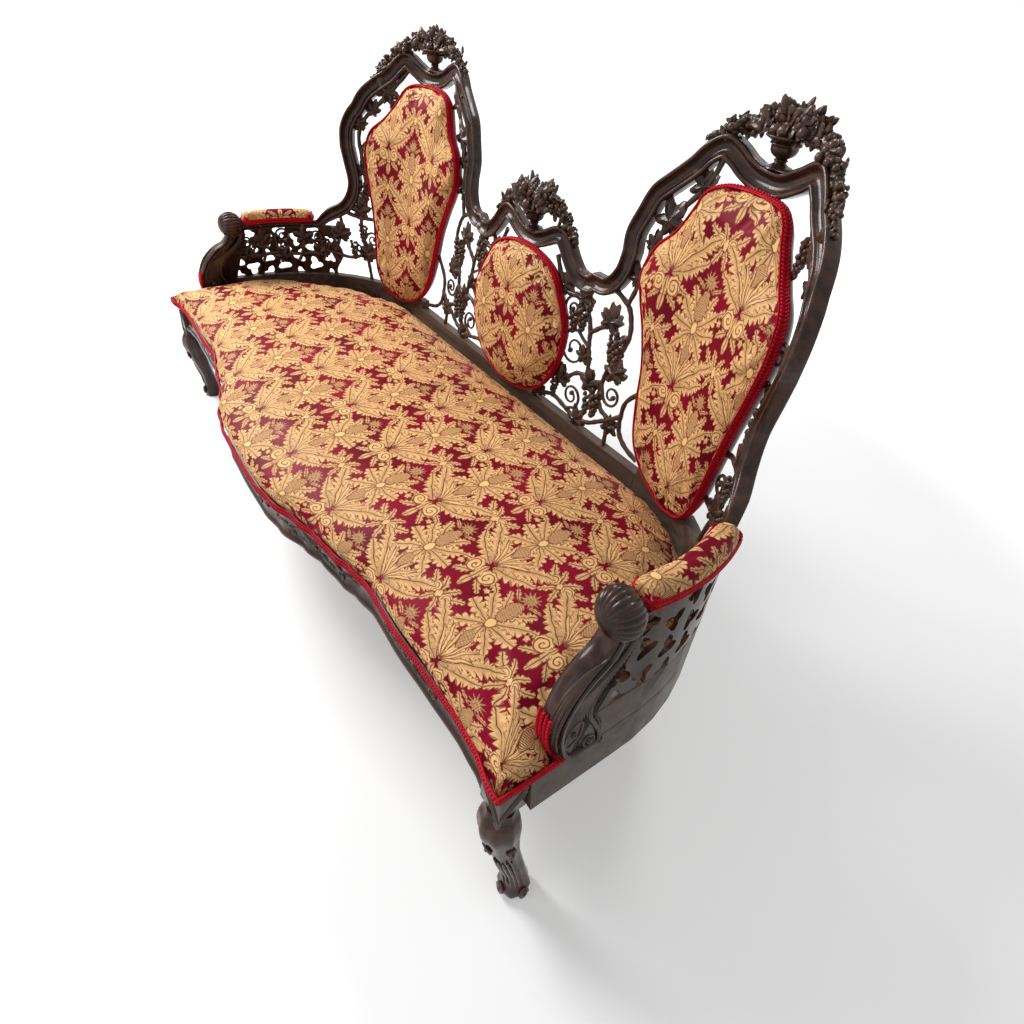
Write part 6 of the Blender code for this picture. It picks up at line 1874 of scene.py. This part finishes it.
# %% Front legs
LEG_REACH = 0.043
FOOT_RADIUS = 0.026
LEG_SHARES = [
    (0.04, 0.05, 0.985, 0.94), (0.06, 0.08, 0.93, 1.04), (0.10, 0.12, 0.88, 1.22),
    (0.20, 0.14, 0.78, 1.30), (0.36, 0.06, 0.64, 1.08), (0.56, -0.12, 0.46, 0.88),
    (0.78, -0.34, 0.30, 0.78), (0.94, -0.44, 0.16, 0.88), (1.0, -0.46, 0.07, 1.06),
    (1.0, -0.46, 0.03, 1.04), (1.0, -0.46, 0.0, 0.94),
]


def make_leg():
    angles = np.arange(32) * 2 * math.pi / 32
    bulge = 1.0 + 0.10 * np.cos(4 * angles) ** 2
    rings = []
    for aside, ahead_share, up, thick in smooth_line(LEG_SHARES, 6):
        radius = FOOT_RADIUS * thick * bulge * 0.96
        rings.append(np.column_stack([
            POST_X + aside * LEG_REACH + radius * np.cos(angles + math.pi / 4),
            POST_Y - ahead_share * LEG_REACH + radius * np.sin(angles + math.pi / 4),
            np.full(len(angles), max(0.0, up) * SEAT_RAIL_LOW)]))
    return ringed("leg", rings, 50)


def make_block(name, low, high, bevel):
    low, high = Vector(low), Vector(high)
    shape = bmesh.new()
    bmesh.ops.create_cube(shape, size=1.0)
    bmesh.ops.scale(shape, vec=high - low, verts=shape.verts)
    bmesh.ops.translate(shape, vec=(high + low) / 2, verts=shape.verts)
    bmesh.ops.bevel(shape, geom=shape.edges[:], offset=bevel, segments=3, profile=0.5, affect="EDGES")
    return from_shape(name, shape)


post = make_block("post", (POST_X - POST / 2, POST_Y - POST / 2, SEAT_RAIL_LOW),
                  (POST_X + POST / 2, POST_Y + POST / 2, SEAT_RAIL_TOP), 0.002)


def leg_place(up, turn, proud=0.0):
    """A place on the leg's surface, at a height share, turned from its outer corner."""
    rows = np.array(LEG_SHARES)[::-1]
    aside, ahead_share, thick = [np.interp(up, rows[:, 2], rows[:, index]) for index in (0, 1, 3)]
    radius = FOOT_RADIUS * thick + proud
    angle = turn - math.pi / 4
    return (POST_X + aside * LEG_REACH + radius * math.cos(angle),
            POST_Y - ahead_share * LEG_REACH + radius * math.sin(angle), up * SEAT_RAIL_LOW)


RIDGE = ((-0.80, 0.338), (-0.30, 0.318), (0.35, 0.296), (0.80, 0.276), (0.98, 0.262))


def leg_carving():
    """A raised V below the seat's corner that ends in a ball, flutes on the shin, and scrolls."""
    half = POST / 2
    items = []
    for front in (True, False):
        ridge = []
        for along, height in RIDGE:
            place = (along * half, -half) if front else (half, -along * half)
            ridge.append((POST_X + place[0], POST_Y + place[1], height))
        for shift in (0.0, -0.011):
            line = smooth_line(np.array(ridge) + (0.0, 0.0, shift), 5)
            items.append(tube("ridge", line, np.linspace(0.0034, 0.0022, len(line)), 8))
    for turn in (-0.62, -0.31, 0.0, 0.31, 0.62):
        line = np.array([leg_place(up, turn, 0.0015) for up in np.linspace(0.50, 0.17, 12)])
        radii = 0.0028 * np.sin(np.linspace(0.3, math.pi - 0.2, 12)) + 0.0005
        items.append(tube("flute", line, radii, 6))
    for side in (-1.0, 1.0):
        for up, turn, reach, radius in ((0.62, 0.75, 0.32, 0.0026), (0.075, 0.80, 0.30, 0.0030)):
            curl = []
            for step in range(30):
                angle = 3.4 * math.pi * step / 29
                shrink = 1.0 - 0.75 * step / 29
                curl.append(leg_place(up + 0.055 * shrink * math.sin(angle),
                                      side * (turn + reach * shrink * math.cos(angle)), 0.0022))
            items.append(tube("scroll", curl, radius, 6))
    balls = [leg_place(0.955, 0.0, 0.001), *[leg_place(0.62, side * 0.75, 0.003) for side in (-1, 1)]]
    return [*items, place_copies("balls", BALL, balls, [0.0070, 0.0042, 0.0042])]


leg = joined("cabriole_leg", [make_leg(), post, *leg_carving()], 40)
leg.data.transform(Matrix.Translation((0.0, back_shift, 0.0)))
show_pair(leg, ROSEWOOD_CARVED, "rosewood", "front_leg")
print("apron and legs made")

# %% Carving on the apron
APRON_MOTIFS = (0.0, 0.30, 0.62)
APRON_FACE = 0.0035        # the hollow face lies this far behind the apron's front line


def apron_motif(middle, items, leaves, petals):
    """A flower between two sprays of leaves and two scrolls, at one place along the apron."""
    slope = (front_y(middle + 0.03) - front_y(middle - 0.03)) / 0.06
    yaw = math.atan(slope)
    centre = SEAT_RAIL_LOW + SEAT_RAIL_HEIGHT * 0.52

    def place(along, up, proud=0.0):
        x = middle + along
        return (x, front_y(x) + APRON_FACE - proud, centre + up)

    for side in (-1.0, 1.0):
        scroll = []
        for step in range(34):
            share = step / 33
            angle = 1.2 + 3.6 * math.pi * max(0.0, share - 0.35) / 0.65
            if share < 0.35:
                along = 0.014 + 0.062 * share / 0.35
                up = 0.012 * math.sin(math.pi * share / 0.35)
            else:
                reach = 0.013 * (1.0 - 0.7 * (share - 0.35) / 0.65)
                along = 0.081 - reach * math.cos(angle)
                up = -0.012 + reach * math.sin(angle)
            scroll.append(place(side * along, up, 0.001))
        items.append(tube("scroll", scroll, np.linspace(0.0040, 0.0022, len(scroll)), 8))
        for along, up, turn, size in ((0.024, 0.012, 1.0, 0.020), (0.026, -0.010, 1.9, 0.021),
                                      (0.046, 0.016, 1.2, 0.019), (0.050, -0.013, 1.7, 0.018),
                                      (0.100, 0.006, 1.5, 0.020), (0.122, 0.0, 1.57, 0.016)):
            leaves.append((place(side * along, up, 0.001), (math.pi / 2, side * turn, yaw),
                           (size * 0.8, size, size * 0.55)))
    for number in range(7):
        angle = 2 * math.pi * number / 7
        petals.append((place(0.010 * math.sin(angle), 0.010 * math.cos(angle), 0.002),
                       (math.pi / 2 - 0.25, angle, yaw), 0.0125))


carving, apron_leaves, apron_petals = [], [], []
for motif in APRON_MOTIFS:
    for side in ((-1.0, 1.0) if motif else (1.0,)):
        apron_motif(side * motif, carving, apron_leaves, apron_petals)
carving += [copies_of("copies", POINTED_LEAF, apron_leaves), copies_of("copies", PETAL, apron_petals)]
apron_carving = joined("apron_carving", carving, 60)
apron_carving.data.transform(Matrix.Translation((0.0, back_shift, 0.0)))
show(apron_carving, ROSEWOOD_CARVED, "rosewood")
print("apron carved with", len(apron_leaves), "leaves")

# %% [markdown]
# ## Gimp
# A plaited gimp hides the tacks where the damask ends on the wood. Its plait is two rows of leaning
# cords. A second Geometry Nodes tree lays it along any level path: it resamples the path and puts a
# bead on each point, turned with the path, which leans forwards in one row and backwards in the
# other. Thin round cords run along the plait, one on each edge and one between the rows.

# %% Plaited gimp
def braid_tree():
    tree, given = new_group("plaited_gimp", {
        "Path": "Geometry", "Bead": "Object", "Spacing": 0.004, "Row": 0.0032, "Lean": 0.8,
        "Size": "Vector", "Finish": "Material"}, "GeometryNodeTree")
    curve = Wire(add_node(tree, "GeometryNodeMeshToCurve", {"Mesh": given["Path"]}))
    even = Wire(add_node(tree, "GeometryNodeResampleCurve", {"Curve": curve, "Length": given["Spacing"]},
                         mode="LENGTH"))
    bead = Wire(add_node(tree, "GeometryNodeObjectInfo", {"Object": given["Bead"]}), "Geometry")
    tangent = Wire(add_node(tree, "GeometryNodeInputTangent"))
    outside = vectors("CROSS_PRODUCT", tangent, (0.0, 0.0, 1.0))
    both = add_node(tree, "GeometryNodeJoinGeometry")
    for side in (1.0, -1.0):
        lean, lift = [Wire(add_node(tree, "ShaderNodeCombineXYZ", {"Z": given[label] * side}))
                      for label in ("Lean", "Row")]
        turn = add_node(tree, "FunctionNodeAxesToRotation", {
            "Primary Axis": outside, "Secondary Axis": vectors("ADD", tangent, lean)},
            primary_axis="Z", secondary_axis="X")
        row = Wire(add_node(tree, "GeometryNodeSetPosition", {"Geometry": even, "Offset": lift}))
        feed(both, {0: Wire(add_node(tree, "GeometryNodeInstanceOnPoints", {
            "Points": row, "Instance": bead, "Rotation": Wire(turn), "Scale": given["Size"]}))})
    return painted(tree, Wire(both), given["Finish"], "Gimp")


BRAID_TREE = braid_tree()
THREE_CORDS = ((-0.5, 0.09), (0.0, 0.10), (0.5, 0.09))      # height and radius, of the gimp's width


def gimp_along(name, line, closed, width, cords=THREE_CORDS):
    """Gimp along a path in a level plane, standing on edge, as a plain mesh."""
    count = len(line)
    edges = [(index, index + 1) for index in range(count - 1)] + ([(count - 1, 0)] if closed else [])
    mesh = bpy.data.meshes.new(name)
    mesh.from_pydata([tuple(point) for point in line], edges, [])
    plait = built(add_object(name, mesh), BRAID_TREE, {
        "Bead": BALL, "Spacing": width * 0.36, "Row": width * 0.23, "Lean": 0.9, "Finish": GIMP,
        "Size": (width * 0.31, width * 0.155, width * 0.23)})
    if closed:
        line = np.vstack([line, line[:1]])
    return joined(name, [plait, *(tube("cord", line + (0.0, 0.0, lift * width), radius * width, 6)
                                  for lift, radius in cords)], 60)

# %% Gimp round the medallions
PAD_GIMP_WIDTH = 0.0175
GIMP_OUT = 0.0012          # its middle stands this far out from the pad's side


def pad_gimp(name, outline):
    """Gimp over the foot of the pad's side and the edge of its board."""
    edge = drawn_in(outline, -GIMP_OUT)
    return bend(gimp_along(name, lifted(edge, PAD_BACK + 0.1 * PAD_GIMP_WIDTH), True, PAD_GIMP_WIDTH))


show_pair(pad_gimp("pad_gimp", tall_outline), GIMP, "damask")
show(pad_gimp("pad_gimp_middle", centre_outline), GIMP, "damask")
print("medallions edged")

# %% Gimp along the seat
SEAT_GIMP_WIDTH = 0.016
GIMP_OFF_SUPPORT = 0.002   # its middle stands this far in front of the edge
SUPPORT_GIMP_WIDTH = 0.0155
SUPPORT_ROWS = (0.0150, -0.0005)        # depths of the two rows side by side
ONE_CORD = ((0.0, 0.06),)
seat_end = SEAT_END_SHARE * FRONT_HALF
CORNER_TURN = 0.045        # the gimp turns in this far round the foot of a support
CORNER_ROWS = (0.004, 0.012)            # behind the end of the seat's cover


def seat_gimp():
    """Along the lower front edge of the seat, round both corners and back to the arm supports."""
    low_front = CUSHION_OVERHANG - 0.0025
    xs = np.linspace(0.0, seat_end + 0.0015, 160)
    front = np.array([(x, front_y(x) - low_front) for x in xs])
    side = np.array([(seat_end + 0.0015, front[-1][1] + (CORNER_BACK - front[-1][1]) * share)
                     for share in np.linspace(0.08, 1.0, 12)])
    half = np.vstack([front, side])
    line = np.vstack([half[:0:-1] * (-1.0, 1.0), half]) + (0.0, back_shift)
    lines = [line]
    for back in CORNER_ROWS:
        for side in (-1.0, 1.0):
            across = side * np.linspace(seat_end + 0.0015, seat_end - CORNER_TURN, 12)
            lines.append(np.column_stack([across, np.full(12, CORNER_BACK + back_shift + back)]))
    middle = SEAT_LOW + SEAT_GIMP_WIDTH * 0.5
    return joined("seat_gimp", [gimp_along("row", lifted(line, middle), False, SEAT_GIMP_WIDTH)
                                for line in lines], 60)


def support_gimp():
    """Two rows up the front edge of an arm support, where the seat's cover meets it."""
    front = drawn_in(support_outline(), -GIMP_OFF_SUPPORT)
    run, up = front.T
    seen = (up > SEAT_LOW - 0.002) & (up < SEAT_LOW + 0.090) & (run > SUPPORT_REAR + SUPPORT_DEPTH * 0.7)
    line = front[seen]
    line = line[np.argsort(line[:, 1])]
    rows = [gimp_along("row", lifted(line, depth), False, SUPPORT_GIMP_WIDTH, ONE_CORD)
            for depth in SUPPORT_ROWS]
    return bend(joined("support_gimp", rows, 60))


show(seat_gimp(), GIMP, "damask")
show_pair(support_gimp(), GIMP, "damask")
print("seat edged")


# %% Gimp round the arm pads
ARM_GIMP_WIDTH = 0.012
LOWER_ROW = 0.55           # how far a row lies above the foot of the pad, in widths
UPPER_ROW = 1.3
ROW_SETBACK = 0.0025       # the upper row is this much nearer the middle of the pad
ROW_TAPER = 0.06           # a row narrows by this share for each width that it lies higher


def arm_pad_edge(wrap=None):
    """Round the foot of an arm pad as (run, front), or only round one end of it."""
    half = ARM_PAD_HALF * 0.98
    start, stop = ARM_PAD_START - 0.001, ARM_PAD_END - 0.0005
    corner = 0.006
    if wrap is None:
        points = [(start, -half + corner), (start + corner, -half), (stop - corner, -half),
                  (stop, -half + corner), (stop, half - corner), (stop - corner, half),
                  (start + corner, half), (start, half - corner), (start, -half + corner)]
    else:
        end, away = (start, 1.0) if wrap == "rear" else (stop, -1.0)
        points = [(end + away * 0.008, -half), (end + away * corner, -half), (end, -half + corner),
                  (end, half - corner), (end + away * corner, half), (end + away * 0.008, half)]
    line = np.vstack([np.linspace(first, second, 14)[:-1] for first, second in zip(points, points[1:])])
    return line if wrap is None else np.vstack([line, points[-1]])


rows = [(gimp_along("row", lifted(arm_pad_edge(), 0.0), True, ARM_GIMP_WIDTH), LOWER_ROW)]
for wrap in ("rear", "front"):
    inwards = ROW_SETBACK if wrap == "rear" else -ROW_SETBACK
    upper = arm_pad_edge(wrap) + (inwards, 0.0)
    rows.append((gimp_along("row", lifted(upper, 0.0), False, ARM_GIMP_WIDTH), UPPER_ROW))
for row, step in rows:
    points = read_points(row)
    write_points(row, np.column_stack([points[:, 0], points[:, 2] + ARM_PAD_LOW + step * ARM_GIMP_WIDTH,
                                       points[:, 1] * (1.0 - ROW_TAPER * step)]))
arm_gimp = joined("arm_gimp", [row for row, step in rows], 60)
show_pair(bend(outward(arm_gimp)), GIMP, "damask")
print("arm pads edged")

# %% [markdown]
# ## Inside the frame
# Under the seat are the parts that nobody sees until the piece is turned over: a plain board deck,
# corner blocks, jute webbing and coil springs. Their shapes are already right, so they keep their
# solids, with softened edges, and get the finishes that such parts have. The side and back rails
# and the arm boards are rosewood too, less polished than the carving, and painted paler as a
# painted reflection of the pale floor.

# %% Inner finishes
# Tones of the plain rails: rosewood painted paler, a painted reflection of the pale floor
RAIL_DARK_PAINTED_REFLECTION = (0.046, 0.031, 0.024, 1.0)
RAIL_WARM_PAINTED_REFLECTION = (0.120, 0.078, 0.056, 1.0)
STRAND_PITCH = 2400.0


def plain_wood():
    finish, shader = new_finish("inner_beech")
    place = object_place(finish)
    grain = use_group(WOOD_GRAIN, Place=place, Stretch=(6.0, 70.0, 70.0), Pores=0.9)
    edges_hollows = use_group(EDGES_HOLLOWS_GROUP, Place=place, Patchiness=1.0)
    colour = blend_colour(grain["Streaks"], (0.30, 0.17, 0.085, 1.0), (0.19, 0.105, 0.055, 1.0))
    colour = blend_colour(edges_hollows["Hollows"] * 0.6, colour, (0.070, 0.048, 0.032, 1.0))
    stains = ramp(noise(place, 9.0, 4.0), 0.55, 0.72, 0.0, 0.5)
    colour = blend_colour(stains, colour, (0.105, 0.060, 0.034, 1.0))
    dress(shader, colour, ramp(grain["Tone"], 0.3, 0.7, 0.66, 0.82), grain["Height"], 0.0004)
    return finish


def jute():
    finish, shader = new_finish("jute_webbing")
    place = object_place(finish)
    x, y, _ = axes(place)
    weave = sine(x * STRAND_PITCH) * sine(y * STRAND_PITCH)
    fibres = noise(place, 900.0, 3.0)
    colour = blend_colour(fibres, (0.42, 0.31, 0.18, 1.0), (0.24, 0.165, 0.090, 1.0))
    # painted shade: the weave is darkened where it lies lowest, between the strands
    colour = blend_colour(ramp(weave, -0.2, -0.9, 0.0, 0.6), colour, (0.10, 0.066, 0.036, 1.0))
    dress(shader, colour, ramp(fibres, 0.3, 0.7, 0.82, 0.94), weave, 0.0005)
    return finish


def spring_wire():
    finish, shader = new_finish("drawn_wire")
    place = object_place(finish)
    rust = ramp(noise(place, 60.0, 4.0), 0.52, 0.66)
    scratches = noise(vectors("MULTIPLY", place, (500.0, 500.0, 40.0)), 1.0)
    colour = blend_colour(scratches, (0.19, 0.185, 0.18, 1.0), (0.30, 0.29, 0.28, 1.0))
    colour = blend_colour(rust, colour, (0.115, 0.045, 0.018, 1.0))
    dress(shader, colour, ramp(rust, 0.0, 1.0, 0.34, 0.85), scratches, 0.0001, metallic=1.0 - rust * 0.8)
    return finish


# painted reflection: the plain rails and arm boards are painted in these paler tones
ROSEWOOD_PAINTED_REFLECTION = rosewood("rosewood_plain_rails", (7.0, 55.0, 55.0), gloss=0.34, dust=0.6, rub=0.5,
                          tones=(RAIL_DARK_PAINTED_REFLECTION, RAIL_WARM_PAINTED_REFLECTION))
INNER_BEECH = plain_wood()
JUTE = jute()
DRAWN_WIRE = spring_wire()

# %% Finish the solids that stay
SOFT_EDGE = 0.0015


def finish_solid(node, finish, slot, edge=0.0):
    item = bpy.data.objects[node]
    dress_in(item, finish, slot)
    if edge:
        set_options(item.modifiers.new("weld", "WELD"), merge_threshold=0.00005)
        set_options(item.modifiers.new("rounding", "BEVEL"), width=edge, segments=2,
                    limit_method="ANGLE", angle_limit=math.radians(35))


SIDES = ("right", "left")
RAILS = ["seat_rail_back", "base_rail", *(stem + side for stem in ("seat_rail_", "arm_board_")
                                          for side in SIDES)]
BLOCKS = ["seat_deck", *(f"{end}_corner_block_{side}" for end in ("front", "rear") for side in SIDES)]
for nodes, finish, slot in ((RAILS, ROSEWOOD_PAINTED_REFLECTION, "rosewood"), (BLOCKS, INNER_BEECH, "inner_wood"),
                            (["rear_leg_" + side for side in SIDES], ROSEWOOD_UPRIGHT, "rosewood")):
    for node in nodes:
        finish_solid(node, finish, slot, SOFT_EDGE)
finish_solid("webbing", JUTE, "webbing")
for number in range(6):
    finish_solid(f"coil_spring_{number + 1}", DRAWN_WIRE, "spring_steel")
print("inner parts finished")

# %% Clear the templates away
for template in (BALL, VINE_LEAF, POINTED_LEAF, PETAL):
    bpy.data.objects.remove(template, do_unlink=True)
print("templates removed")
